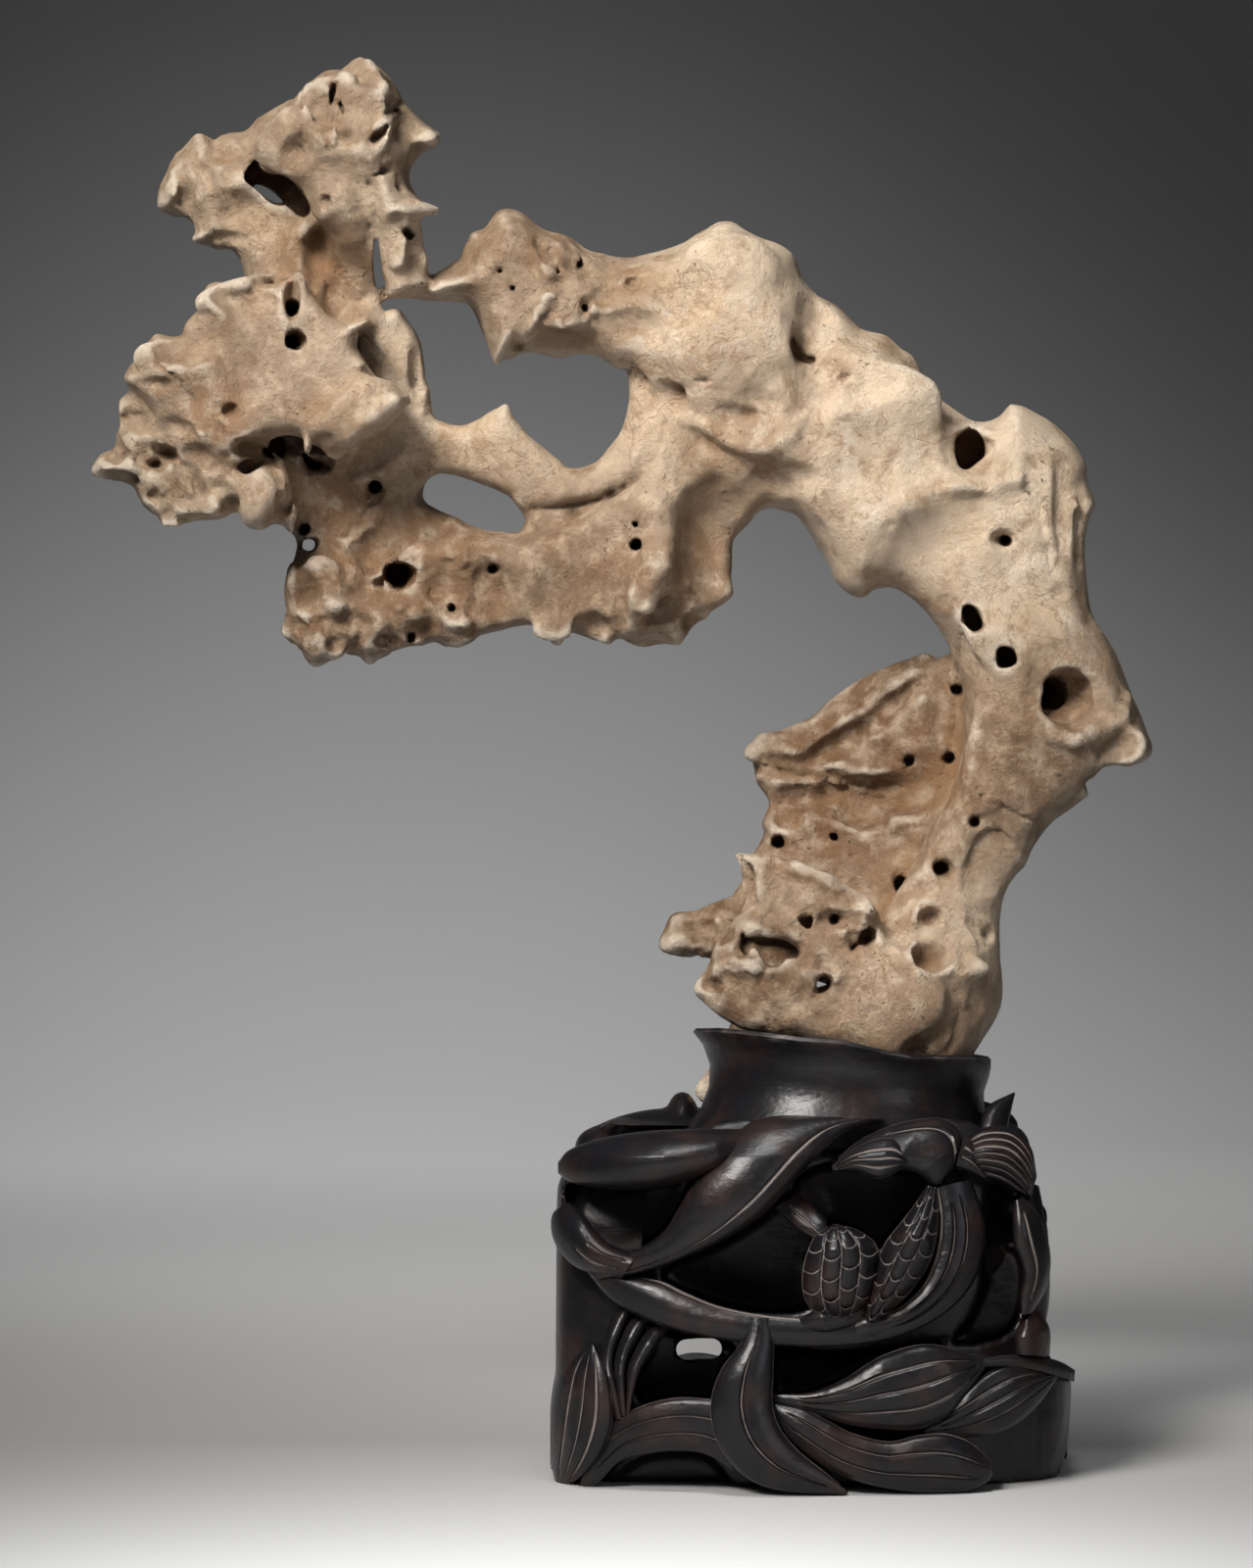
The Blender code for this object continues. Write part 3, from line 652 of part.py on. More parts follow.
# Hollows between the leaves, front and back: outline on the sheet, how near the middle they reach.
CORE_VOIDS = [
    ([(688, 1286), (740, 1266), (780, 1241), (812, 1214), (842, 1206), (852, 1245), (838, 1262),
      (826, 1290), (830, 1334), (790, 1340), (752, 1336), (714, 1324), (676, 1306)], 18),
    ([(586, 1204), (640, 1210), (690, 1202), (708, 1200), (698, 1232), (682, 1256), (655, 1274),
      (628, 1272), (606, 1256), (590, 1240), (578, 1224)], 24),
    ([(812, 1203), (850, 1186), (890, 1190), (935, 1192), (962, 1204), (952, 1218), (926, 1240),
      (908, 1264), (896, 1276), (878, 1260), (852, 1250), (838, 1246), (820, 1228)], 18),
    ([(1008, 1210), (1036, 1222), (1043, 1262), (1028, 1268), (1010, 1266)], 8),
    ([(1006, 1272), (1040, 1276), (1046, 1310), (1040, 1345), (1020, 1366), (972, 1370), (990, 1345),
      (1004, 1310)], 44),
    ([(642, 1340), (668, 1350), (700, 1362), (745, 1370), (752, 1384), (738, 1400), (732, 1428),
      (690, 1428), (655, 1434), (648, 1400), (664, 1372)], 14),
    ([(792, 1376), (850, 1380), (920, 1374), (966, 1366), (945, 1376), (897, 1390), (864, 1409),
      (828, 1424), (792, 1424)], 20),
    ([(612, 1534), (626, 1508), (655, 1488), (690, 1482), (724, 1486), (744, 1508), (756, 1534)], 62),
    ([(868, 1460), (910, 1462), (945, 1460), (940, 1468), (905, 1474), (872, 1466)], 60),
]
# The piercing you can see through, drawn as a row of overlapping bores: column, row.
PIERCING = [(701, 1377), (707, 1377), (713, 1376), (720, 1376), (727, 1376)]


class Field:
    """Distance to a surface on a regular lattice: negative inside the solid, in millimetres."""

    def __init__(self, low, high, step):
        self.low = np.array(low, float)
        self.step = step
        counts = np.ceil((np.array(high) - self.low) / step).astype(int) + 1
        self.axes = [self.low[i] + step * np.arange(counts[i]) for i in range(3)]
        self.value = np.full(counts, FAR, np.float32)

    def window(self, low, high):
        """Slices of the lattice that hold a box, and its open coordinate axes."""
        cut = []
        axes = []
        for i in range(3):
            count = len(self.axes[i])
            first = int(np.clip(np.floor((low[i] - self.low[i]) / self.step), 0, count))
            last = int(np.clip(np.ceil((high[i] - self.low[i]) / self.step) + 1, first, count))
            cut.append(slice(first, last))
            shape = [1, 1, 1]
            shape[i] = last - first
            axes.append(self.axes[i][first:last].reshape(shape).astype(np.float32))
        return tuple(cut), axes

    def join(self, shape, soft):
        """Add a shape, with a fillet about `soft` wide."""
        cut, axes = self.window(*shape.box(soft + 4))
        self.value[cut] = smooth_least(self.value[cut], shape.distance(*axes), soft)

    def carve(self, shape, soft, wobble=None):
        """Take a shape away, with the rim rounded over about `soft` and its walls uneven by `wobble`."""
        cut, axes = self.window(*shape.box(soft + 2))
        wall = shape.distance(*axes)
        if wobble is not None:
            wall = wall + wobble[cut]
        self.value[cut] = -smooth_least(-self.value[cut], wall, soft)

    def faces(self):
        """Depth of the first and the last solid point behind each point of the sheet."""
        inside = self.value < 0
        first = inside.argmax(1)
        last = inside.shape[1] - 1 - inside[:, ::-1].argmax(1)
        found = inside.any(1)
        depth = self.axes[1]
        return np.where(found, depth[first], np.nan), np.where(found, depth[last], np.nan)

    def skin(self):
        """Points and four-sided faces of the surface, only its largest closed shell."""
        band = 4 * self.step
        grid = openvdb.FloatGrid(band)
        grid.copyFromArray(np.clip(self.value, -band, band))
        points, quads = grid.convertToQuads(0.0)
        points, quads = largest_shell(points, quads)
        return points * self.step + self.low, quads


def largest_shell(points, quads):
    """Keep the connected shell with the most points; loose crumbs and inner bubbles go."""
    quads = quads.astype(np.int64)
    label = np.arange(len(points))
    while True:
        least = label[quads].min(1)
        new = label.copy()
        for corner in range(4):
            np.minimum.at(new, quads[:, corner], least)
        new = new[new]
        if (new == label).all():
            break
        label = new
    names, counts = np.unique(label, return_counts=True)
    keep = label == names[counts.argmax()]
    index = np.cumsum(keep) - 1
    return points[keep], index[quads[keep[quads[:, 0]]]]


def smooth_least(a, b, soft):
    if soft <= 0:
        return np.minimum(a, b)
    blend = np.maximum(soft - np.abs(a - b), 0) / soft
    return np.minimum(a, b) - blend * blend * soft * 0.25


def outline_distance(outline, x, z):
    """Distance to a closed outline in the plane of the sheet, negative inside."""
    best = np.full(np.broadcast(x, z).shape, 1e9, np.float32)
    inside = np.zeros(best.shape, bool)
    for (ax, az), (bx, bz) in zip(outline, outline[1:] + outline[:1]):
        dx = bx - ax
        dz = bz - az
        square = dx * dx + dz * dz
        if square < 1e-9:
            continue
        t = np.clip(((x - ax) * dx + (z - az) * dz) / square, 0, 1)
        best = np.minimum(best, (x - ax - t * dx) ** 2 + (z - az - t * dz) ** 2)
        if dz != 0:
            crossing = (az > z) != (bz > z)
            inside ^= crossing & (x < ax + (z - az) * dx / dz)
    best = np.sqrt(best)
    return np.where(inside, -best, best)


def rounded(outline, turns):
    """A smooth closed curve through the same points."""
    points = np.array(outline, float)
    for _ in range(turns):
        before = np.roll(points, 1, 0)
        after = np.roll(points, -1, 0)
        far = np.roll(points, -2, 0)
        middle = (9 * (points + after) - (before + far)) / 16
        points = np.stack([points, middle], 1).reshape(-1, 2)
    return [tuple(p) for p in points]


class Slab:
    """A flat mass: outline on the sheet, middle depth, half thickness, round edge, lean."""

    def __init__(self, outline, y, half, edge, lean):
        self.outline = rounded(outline, 1)
        points = np.array(self.outline)
        self.low = points.min(0)
        self.high = points.max(0)
        self.centre = (self.low + self.high) / 2
        self.y = y
        self.half = half
        self.edge = edge
        self.lean = lean

    def box(self, more):
        size = self.high - self.low
        reach = self.half + more + (abs(self.lean[0]) * size[0] + abs(self.lean[1]) * size[1]) / 2
        return ((self.low[0] - more, self.y - reach, self.low[1] - more),
                (self.high[0] + more, self.y + reach, self.high[1] + more))

    def distance(self, x, y, z):
        flat = outline_distance(self.outline, x[:, 0, :], z[0, :, :])[:, None, :]
        middle = self.y + self.lean[0] * (x - self.centre[0]) + self.lean[1] * (z - self.centre[1])
        stretch = max(self.edge / self.half, 1.0)
        radius = min(self.edge, self.half) * stretch
        across = np.abs(y - middle) * stretch - (self.half * stretch - radius)
        along = flat + radius
        outer = np.hypot(np.maximum(along, 0), np.maximum(across, 0))
        inner = np.minimum(np.maximum(along, across), 0)
        return ((outer + inner - radius) / stretch).astype(np.float32)


class Egg:
    """An ellipsoid, turned in the plane of the sheet by `turn` degrees."""

    def __init__(self, centre, radii, turn=0.0):
        self.centre = np.array(centre, float)
        self.radii = np.array(radii, float)
        c = math.cos(math.radians(turn))
        s = math.sin(math.radians(turn))
        self.frame = np.array([[c, 0, s], [0, 1, 0], [-s, 0, c]])

    def box(self, more):
        reach = np.sqrt(((self.frame * self.radii) ** 2).sum(1)) + more
        return self.centre - reach, self.centre + reach

    def distance(self, x, y, z):
        offset = (x - self.centre[0], y - self.centre[1], z - self.centre[2])
        near = 0
        slope = 0
        for i in range(3):
            along = sum(offset[k] * self.frame[k, i] for k in range(3))
            near = near + (along / self.radii[i]) ** 2
            slope = slope + (along / self.radii[i] ** 2) ** 2
        near = np.sqrt(near)
        return (near * (near - 1) / (np.sqrt(slope) + 1e-6)).astype(np.float32)


class Rod:
    """A chain of round tapered lengths through points (x, y, z, radius)."""

    def __init__(self, points):
        self.points = [tuple(map(float, p)) for p in points]

    def box(self, more):
        points = np.array(self.points)
        reach = points[:, 3:].max() + more
        return points[:, :3].min(0) - reach, points[:, :3].max(0) + reach

    def distance(self, x, y, z):
        best = None
        for (ax, ay, az, ar), (bx, by, bz, br) in zip(self.points, self.points[1:]):
            dx = bx - ax
            dy = by - ay
            dz = bz - az
            square = dx * dx + dy * dy + dz * dz + 1e-9
            t = np.clip(((x - ax) * dx + (y - ay) * dy + (z - az) * dz) / square, 0, 1)
            far = np.sqrt((x - ax - t * dx) ** 2 + (y - ay - t * dy) ** 2 + (z - az - t * dz) ** 2)
            far = far - (ar + t * (br - ar))
            best = far if best is None else np.minimum(best, far)
        return best.astype(np.float32)


def lattice_noise(axes, cell, rng):
    """Smooth noise between about -1 and 1 over the whole lattice, `cell` mm from bump to bump."""
    weights = []
    for axis in axes:
        count = int(np.ceil((axis[-1] - axis[0]) / cell)) + 4
        place = (axis - axis[0]) / cell + 1
        first = np.floor(place).astype(int)
        t = (place - first).astype(np.float32)
        matrix = np.zeros((len(axis), count), np.float32)
        curve = (t * t - 0.5 * (t + t ** 3), 1 - 2.5 * t * t + 1.5 * t ** 3,
                 0.5 * t + 2 * t * t - 1.5 * t ** 3, 0.5 * (t ** 3 - t * t))
        rows = np.arange(len(axis))
        for k in range(4):
            matrix[rows, first - 1 + k] += curve[k]
        weights.append(matrix)
    lattice = rng.uniform(-1, 1, [m.shape[1] for m in weights]).astype(np.float32)
    out = np.tensordot(weights[0], lattice, (1, 0))
    out = np.tensordot(out, weights[1], (1, 1)).transpose(0, 2, 1)
    return np.tensordot(out, weights[2], (2, 1))


def to_space(points):
    """From the sheet, where shapes are drawn as they look from the sight point, to real space."""
    scale = (points[:, 1] + SIGHT_DISTANCE) / SIGHT_DISTANCE
    x = SIGHT_X + (points[:, 0] - SIGHT_X) * scale
    z = SIGHT_Z + (points[:, 2] - SIGHT_Z) * scale
    return np.stack([x, points[:, 1], z], 1)


def across(column):
    return (column - SHEET_X) / 2


def up(row):
    return (SHEET_Z - row) / 2


def depth_at(grid, field, column, row, front):
    """Depth of the stone's face behind a point of the sheet, or the nearest one found."""
    i = int(round((across(column) - field.low[0]) / field.step))
    k = int(round((up(row) - field.low[2]) / field.step))
    for reach in range(1, 30):
        near = grid[max(i - reach, 0):i + reach + 1, max(k - reach, 0):k + reach + 1]
        if np.isfinite(near).any():
            centre = grid[i, k]
            if np.isfinite(centre):
                return float(centre)
            return float(np.nanmin(near) if front else np.nanmax(near))
    raise ValueError("no stone near the point")


def rough_map(field):
    """How broken the stone's surface is over the sheet, 0 smooth to 1 craggy."""
    x = field.axes[0][:, None]
    z = field.axes[2][None, :]
    out = np.zeros((x.shape[0], z.shape[1]), np.float32)
    for column, row, reach in ROUGH_AREAS:
        near = ((x - across(column)) ** 2 + (z - up(row)) ** 2) / (reach / 2) ** 2
        out = np.maximum(out, np.clip(1.4 - 1.4 * near, 0, 1))
    return out[:, None, :]


def scallop(field, rng, count, size, depth, mask=None):
    """Press shallow dishes that meet in sharp ridges into the surface at seeded places."""
    places = np.abs(field.value) < field.step * 0.7
    if mask is not None:
        places &= mask > 0.4
    places = np.argwhere(places)
    press = np.zeros_like(field.value)
    for index in places[rng.choice(len(places), count, replace=False)]:
        reach = rng.uniform(*size)
        deep = rng.uniform(*depth) * reach / size[1] + 0.4
        centre = field.low + field.step * index
        cut, axes = field.window(centre - reach, centre + reach)
        near = sum((a - c) ** 2 for a, c in zip(axes, centre)) / (reach * reach)
        press[cut] = np.maximum(press[cut], deep * (1 - near))
    field.value += press


def along(points, pitch):
    """Places at most `pitch` squares apart along a broken line."""
    out = []
    for (ax, az), (bx, bz) in zip(points, points[1:]):
        count = math.ceil(math.hypot(bx - ax, bz - az) / pitch)
        out += [(ax + (bx - ax) * k / count, az + (bz - az) * k / count) for k in range(count)]
    return out + [points[-1]]


def stone_field(step):
    field = Field(STONE_LOW, STONE_HIGH, step)
    for outline, y, half, edge, lean, soft in MASSES.values():
        field.join(Slab([(across(a), up(b)) for a, b in outline], y, half, edge, lean), soft)
    grids = dict(zip((-1, 1), field.faces()))

    def face(side, column, row):
        return depth_at(grids[side], field, column, row, side < 0)

    def press(dents):
        for side, a, b, wide, tall, deep, turn, soft in dents:
            centre = (across(a), face(side, a, b) + side * deep, up(b))
            field.carve(Egg(centre, (wide / SINK, 2 * deep, tall / SINK), turn), soft)

    rng = np.random.default_rng(STONE_SEED)
    for side, a, b, wide, tall, high, turn, soft in LUMPS:
        centre = (across(a), face(side, a, b) - side * high, up(b))
        field.join(Egg(centre, (wide / SINK, 2 * high, tall / SINK), turn), soft)
    rough = rough_map(field)
    field.value += 1.5 * lattice_noise(field.axes, 36, rng)
    field.value += (0.2 + 1.1 * rough) * lattice_noise(field.axes, 20, rng)
    field.value += 0.9 * rough * (np.abs(lattice_noise(field.axes, 18, rng)) * 1.6 - 0.5)
    press([dent for dent in DENTS + BACK_DENTS if dent[3] * dent[4] > BROAD])
    for soft, points in FILLS:
        field.join(Rod([(across(a), y, up(b), r) for a, y, b, r in points]), soft)
    scallop(field, rng, 300, (15, 36), (1.2, 3.6))
    grids = dict(zip((-1, 1), field.faces()))
    for side, soft, points in RIDGES:
        chain = [(across(a), face(side, a, b) - side * (r - out), up(b), r) for a, b, r, out in points]
        field.join(Rod(chain), soft)
    press([dent for dent in DENTS if dent[3] * dent[4] <= BROAD])
    scallop(field, rng, 500, (5, 12), (0.1, 0.8))
    scallop(field, rng, 700, (4, 11), (0.3, 1.7), rough)
    wobble = lattice_noise(field.axes, 7, rng)
    grids = dict(zip((-1, 1), field.faces()))
    for side, soft, points in BORES + BACK_BORES:
        chain = [(across(a), face(side, a, b) - side * deep, up(b), r) for a, deep, b, r in points]
        field.carve(Rod(chain), soft, min(0.35 * chain[0][3], WOBBLE) * wobble)
    for side, soft, radius, points in CREASES:
        chain = [(across(a), face(side, a, b), up(b), radius) for a, b in along(points, 6)]
        field.carve(Rod(chain), soft)
    for outline, deep in WELLS:
        y = face(-1, *np.mean(outline, 0))
        shape = Slab([(across(a), up(b)) for a, b in outline], y + deep / 2 - 12, deep / 2 + 12, 2, (0, 0))
        field.carve(shape, 0.8, 0.7 * wobble)
    for outline, near, far in SHAFTS:
        outline = [(across(a), up(b)) for a, b in outline]
        field.carve(Slab(outline, (near + far) / 2, (far - near) / 2, 3, (0, 0)), 1.0, 0.7 * wobble)
    for a, b, wide, tall in SLOTS:
        field.carve(Egg((across(a), 0, up(b)), (wide, 150, tall)), 0.6)
    field.value += (0.15 + 0.4 * rough) * lattice_noise(field.axes, 6, rng)
    x = field.axes[0][:, None, None]
    z = field.axes[2][None, None, :]
    field.value = np.maximum(field.value, under_seat(x, z) + SEAT_GAP)
    for soft, points in SPURS:
        field.join(Rod([(across(a), y, up(b), r) for a, y, b, r in points]), soft)
    return field


def sway(points):
    """Thicken the stone here and there and let it wander to the front and the back."""
    weight = 0
    shift = 0
    stretch = 0
    for column, row, move, thick in SWAY:
        near = (points[:, 0] - across(column)) ** 2 + (points[:, 2] - up(row)) ** 2
        near = np.exp(-near / SWAY_REACH ** 2) + 1e-9
        weight = weight + near
        shift = shift + near * move
        stretch = stretch + near * thick
    depth = points[:, 1] * stretch / weight + shift / weight
    return np.stack([points[:, 0], depth, points[:, 2]], 1)


def under_seat(x, z):
    """How far points lie under the flat the stone stands on."""
    (ax, az), (bx, bz) = [(across(a), up(b)) for a, b in SEAT_LINE]
    slope = (bz - az) / (bx - ax)
    return ((az + slope * (x - ax) - z) / math.hypot(1, slope)).astype(np.float32)


def spline(points, count):
    """Points evenly spaced along a smooth open curve."""
    given = np.array(points, float)
    given = np.vstack([2 * given[0] - given[1], given, 2 * given[-1] - given[-2]])
    t = np.linspace(0, 1, 12, endpoint=False)[:, None]
    fine = []
    for a, b, c, d in zip(given, given[1:], given[2:], given[3:]):
        curve = 2 * b + (c - a) * t + (2 * a - 5 * b + 4 * c - d) * t ** 2
        fine.append(0.5 * (curve + (3 * b - a - 3 * c + d) * t ** 3))
    fine = np.vstack(fine + [given[-2:-1]])
    run = np.concatenate([[0], np.cumsum(np.hypot(*np.diff(fine, axis=0).T))])
    at = np.linspace(0, run[-1], count)
    return np.stack([np.interp(at, run, fine[:, k]) for k in range(2)], 1)


def block_front(column, row):
    """Depth of the bulging front of the block."""
    off = np.clip(np.abs((column - SHEET_X) / BLOCK_REACH), 0, 0.9995)
    fullness = np.interp(row, BLOCK_ROWS, BLOCK_FULLNESS)
    return -BLOCK_DEPTH * (1 - off ** 3) ** (1 / 3) * fullness


def ring_loft(rings, wear):
    """Close a stack of rings into one solid with fans at both ends."""
    count, size, _ = rings.shape
    start = np.arange(count - 1)[:, None] * size
    j = np.arange(size)[None, :]
    k = (j + 1) % size
    quads = np.stack([start + j, start + k, start + size + k, start + size + j], -1).reshape(-1, 4)
    points = np.vstack([rings.reshape(-1, 3), rings[0].mean(0), rings[-1].mean(0)])
    first = count * size
    j = np.arange(size)
    k = (j + 1) % size
    last = (count - 1) * size
    low = np.stack([np.full(size, first), k, j], 1)
    high = np.stack([np.full(size, first + 1), last + j, last + k], 1)
    return points, quads, np.vstack([low, high]), np.concatenate([wear.reshape(-1), [0, 0]])


def leaf(one, two, out, crown=3.0, thick=24, veins=(), rows=56, cols=24, groove=1.5,
         edge=(0.6, 0.6), scales=None, full=1.0, lip=2.0, rim=0.001):
    """A carved leaf between two edges on the sheet; `out` is how far it stands off the block."""
    one = spline(one, rows)
    two = spline(two, rows)
    half = np.hypot(*((two - one) / 2).T) / 2
    mean = max(np.mean(half), 1.0)
    pitch = min(1.1 / mean, 0.14)
    veins = [v if isinstance(v, tuple) else (v, 0.04, 0.94) for v in veins]
    s = [np.linspace(-1, 1, cols)] + [(v[0] - pitch, v[0], v[0] + pitch) for v in veins]
    s = np.unique(np.round(np.clip(np.concatenate(s), -1, 1), 4))[None, :]
    t = np.linspace(0, 1, rows)[:, None]
    place = (one + two)[:, None, :] / 2 + (two - one)[:, None, :] / 2 * s[..., None]
    stand_off = np.interp(t, np.linspace(0, 1, len(out)), out)
    swell = np.minimum(half / mean, 1.3)[:, None]
    rise = crown * swell * (1 - np.abs(s) ** 2.2) ** full
    roll = lip * np.maximum(0, (np.abs(s) - 0.82) / 0.18) ** 2
    y = block_front(place[..., 0], place[..., 1]) - stand_off - rise + roll
    wear = np.where(s <= rim - 1, edge[0], np.where(s >= 1 - rim, edge[1], 0)) + 0 * t
    for centre, begin, end in veins:
        fade = np.clip((t - begin) / 0.06, 0, 1) * np.clip((end - t) / 0.06, 0, 1)
        cut = np.maximum(0, 1 - np.abs(s - centre) / pitch)
        y = y + groove * fade * cut
        wear = np.maximum(wear, fade * (cut > 0.6))
    if scales:
        files, ranks, high = scales
        cell = (s + 1) / 2 * files
        number = np.floor(np.clip(cell, 0, files - 1e-3))
        u = 2 * (cell - number) - 1
        v = t * ranks + 0.5 * (number % 2) + 0.25 * u ** 2
        v = v - np.floor(v)
        y = y - high * (1 - v) ** 0.8 * (1 - u ** 6)
        line = np.maximum(1 - v / 0.16, 1 - (1 - np.abs(u)) / 0.14)
        wear = np.maximum(wear, 0.95 * np.maximum(line, 0))
    s = np.linspace(1, -1, 7)[None, :]
    back = (one + two)[:, None, :] / 2 + (two - one)[:, None, :] / 2 * s[..., None] * 0.98
    back_y = block_front(back[..., 0], back[..., 1]) - stand_off + thick
    front_face = np.stack([across(place[..., 0]), y, up(place[..., 1])], -1)
    back_face = np.stack([across(back[..., 0]), back_y, up(back[..., 1])], -1)
    wear = np.concatenate([wear, np.zeros(back_y.shape)], 1)
    return ring_loft(np.concatenate([front_face, back_face], 1), wear)


def collar(count):
    """The flared socket rim round the stone's foot."""
    angle = np.linspace(0, 2 * np.pi, count, endpoint=False)
    c = np.sign(np.cos(angle)) * np.abs(np.cos(angle)) ** COLLAR_SQUARE
    s = np.sign(np.sin(angle)) * np.abs(np.sin(angle)) ** COLLAR_SQUARE
    wave = np.interp(c, [a for a, _ in COLLAR_WAVE], [b for _, b in COLLAR_WAVE])
    rings = []
    wear = []
    for left, left_row, right, right_row, depth, ripple, worn in COLLAR_RINGS:
        column = (left + right) / 2 + (right - left) / 2 * c
        row = (left_row + right_row) / 2 + (right_row - left_row) / 2 * c
        sway = ripple * (wave * np.clip(-s, 0, 1) + 3.0 * np.clip(s, 0, 1) * np.sin(3 * c))
        rings.append(np.stack([across(column), COLLAR_MIDDLE + depth * s, up(row) + sway], 1))
        wear.append(np.full(count, worn))
    return ring_loft(np.array(rings), np.array(wear))


def turned(points, angle, mirrored, lift, reach):
    """A leaf carried round the oval block by `angle` degrees."""
    a = math.radians(angle)
    x = points[:, 0] / BLOCK_TURN_REACH * (-1 if mirrored else 1)
    y = (points[:, 1] - BLOCK_MIDDLE) / BLOCK_TURN_DEPTH
    return np.stack([reach * (x * math.cos(a) - y * math.sin(a)),
                     BLOCK_TURN_DEPTH * (x * math.sin(a) + y * math.cos(a)) + BLOCK_MIDDLE,
                     points[:, 2] + lift], 1)


def to_sheet(points):
    """The reverse of to_space."""
    scale = (points[:, 1] + SIGHT_DISTANCE) / SIGHT_DISTANCE
    x = SIGHT_X + (points[:, 0] - SIGHT_X) / scale
    z = SIGHT_Z + (points[:, 2] - SIGHT_Z) / scale
    return np.stack([x, points[:, 1], z], 1)


def carvings():
    """Every leaf, cob and bud of the stand and its collar: name, points, quads, triangles, wear."""
    made = {name: leaf(**shape) for name, shape in LEAVES.items()}
    out = [(name,) + solid for name, solid in made.items()]
    for number, (name, angle, mirrored, lift, reach) in enumerate(ROUND_THE_BLOCK):
        points, quads, triangles, wear = made[name]
        points = to_sheet(turned(points, angle, mirrored, lift, reach))
        if mirrored:
            quads = quads[:, ::-1]
            triangles = triangles[:, ::-1]
        out.append((f"{name}_{number}", points, quads, triangles, wear))
    out.append(("collar",) + collar(COLLAR_COUNT))
    return out


def block_field(step):
    """The pierced core of the stand."""
    field = Field(STAND_LOW, STAND_HIGH, step)
    x, y, z = [a.astype(np.float32) for a in np.ix_(*field.axes)]
    outline = rounded([(across(a), up(b)) for a, b in BLOCK_OUTLINE], 1)
    flat = outline_distance(outline, x[:, 0, :], z[0, :, :])[:, None, :]
    rows = [up(b) for b in BLOCK_ROWS]
    fullness = np.interp(z, rows[::-1], BLOCK_FULLNESS[::-1])
    plan = (np.abs(x / CORE_REACH) ** 3 + np.abs((y - CORE_MIDDLE) / (CORE_DEPTH * fullness)) ** 3) ** (1 / 3)
    plan = ((plan - 1) * CORE_DEPTH).astype(np.float32)
    field.value = -smooth_least(-np.broadcast_to(flat, field.value.shape), -plan, 6.0)
    for column, y, row, radii, turn in MOUNDS:
        field.join(Egg((across(column), y, up(row)), radii, turn), 3)
    for side in (-1, 1):
        for outline, depth in CORE_VOIDS:
            outline = [(across(a) * -side, up(b)) for a, b in outline]
            middle = side * (VOID_MOUTH + depth) / 2
            field.carve(Slab(outline, middle, (VOID_MOUTH - depth) / 2, 5, (0, 0)), 2.5)
    return field


def pierce(field):
    """The one piercing that goes right through the block."""
    for column, row in PIERCING:
        x = across(column)
        z = up(row)
        field.carve(Rod([(x, STAND_LOW[1], z, PIERCING_RADIUS), (x, STAND_HIGH[1], z, PIERCING_RADIUS)]), 1.0)


def join_solid(field, points, quads, triangles, soft):
    """Add a closed mesh to a field."""
    low = points.min(0) - 5 * field.step
    high = points.max(0) + 5 * field.step
    cut, axes = field.window(low, high)
    origin = np.array([a.reshape(-1)[0] for a in axes])
    local = ((points - origin) / field.step).astype(np.float32)
    grid = openvdb.FloatGrid.createLevelSetFromPolygons(
        local, triangles=triangles.astype(np.uint32), quads=quads.astype(np.uint32),
        transform=openvdb.createLinearTransform(1.0), halfWidth=4.0)
    dense = np.full([s.stop - s.start for s in cut], 4.0, np.float32)
    grid.copyToArray(dense)
    field.value[cut] = smooth_least(field.value[cut], dense * field.step, soft)


def floor_cut(field):
    """Height of the floor above each lattice point, seen on the sheet."""
    y = field.axes[1][None, :, None]
    z = field.axes[2][None, None, :]
    return (SIGHT_Z * y / (y + SIGHT_DISTANCE) - z).astype(np.float32)


def solid(name, points, quads, material, faces):
    """One named object from a field's skin, with flat areas merged down to about `faces`."""
    mesh = bpy.data.meshes.new(name)
    mesh.from_pydata((to_space(points) * SCALE).tolist(), [], quads.tolist())
    item = bpy.data.objects.new(name, mesh)
    bpy.context.scene.collection.objects.link(item)
    thin = item.modifiers.new("thin", "DECIMATE")
    thin.ratio = faces / (2 * len(quads))
    graph = bpy.context.evaluated_depsgraph_get()
    done = bpy.data.meshes.new_from_object(item.evaluated_get(graph))
    item.modifiers.remove(thin)
    item.data = done
    bpy.data.meshes.remove(mesh)
    for vertex in done.vertices:
        if vertex.co.z < SNAP * SCALE:
            vertex.co.z = 0.0
    done.name = name
    done.materials.append(material)
    return item


def finish(name, colour, roughness):
    material = bpy.data.materials.new(name)
    material.use_nodes = True
    shader = material.node_tree.nodes["Principled BSDF"]
    shader.inputs["Base Color"].default_value = colour
    shader.inputs["Roughness"].default_value = roughness
    return material


def stand_field(step, stone):
    """The core with every carving joined, cut for the stone's foot and flat underneath."""
    field = block_field(step)
    for name, points, quads, triangles, _ in carvings():
        join_solid(field, points, quads, triangles, 1.5)
    pierce(field)
    cut, axes = field.window(STONE_LOW, STONE_HIGH)
    x, y, z = axes
    place = [np.interp(a.reshape(-1), b, np.arange(len(b))) for a, b in zip(axes, stone.axes)]
    near = sample(stone.value, place)
    flat = under_seat(x, z)
    field.value[cut] = np.maximum(field.value[cut], -np.maximum(near - SIDE_GAP, flat))
    field.value = np.maximum(field.value, floor_cut(field))
    return field


def sample(value, place):
    """Values between lattice points, one axis after another."""
    for axis, at in enumerate(place):
        first = np.clip(np.floor(at).astype(int), 0, value.shape[axis] - 2)
        t = (at - first).reshape([-1 if i == axis else 1 for i in range(3)])
        value = np.take(value, first, axis) * (1 - t) + np.take(value, first + 1, axis) * t
    return value


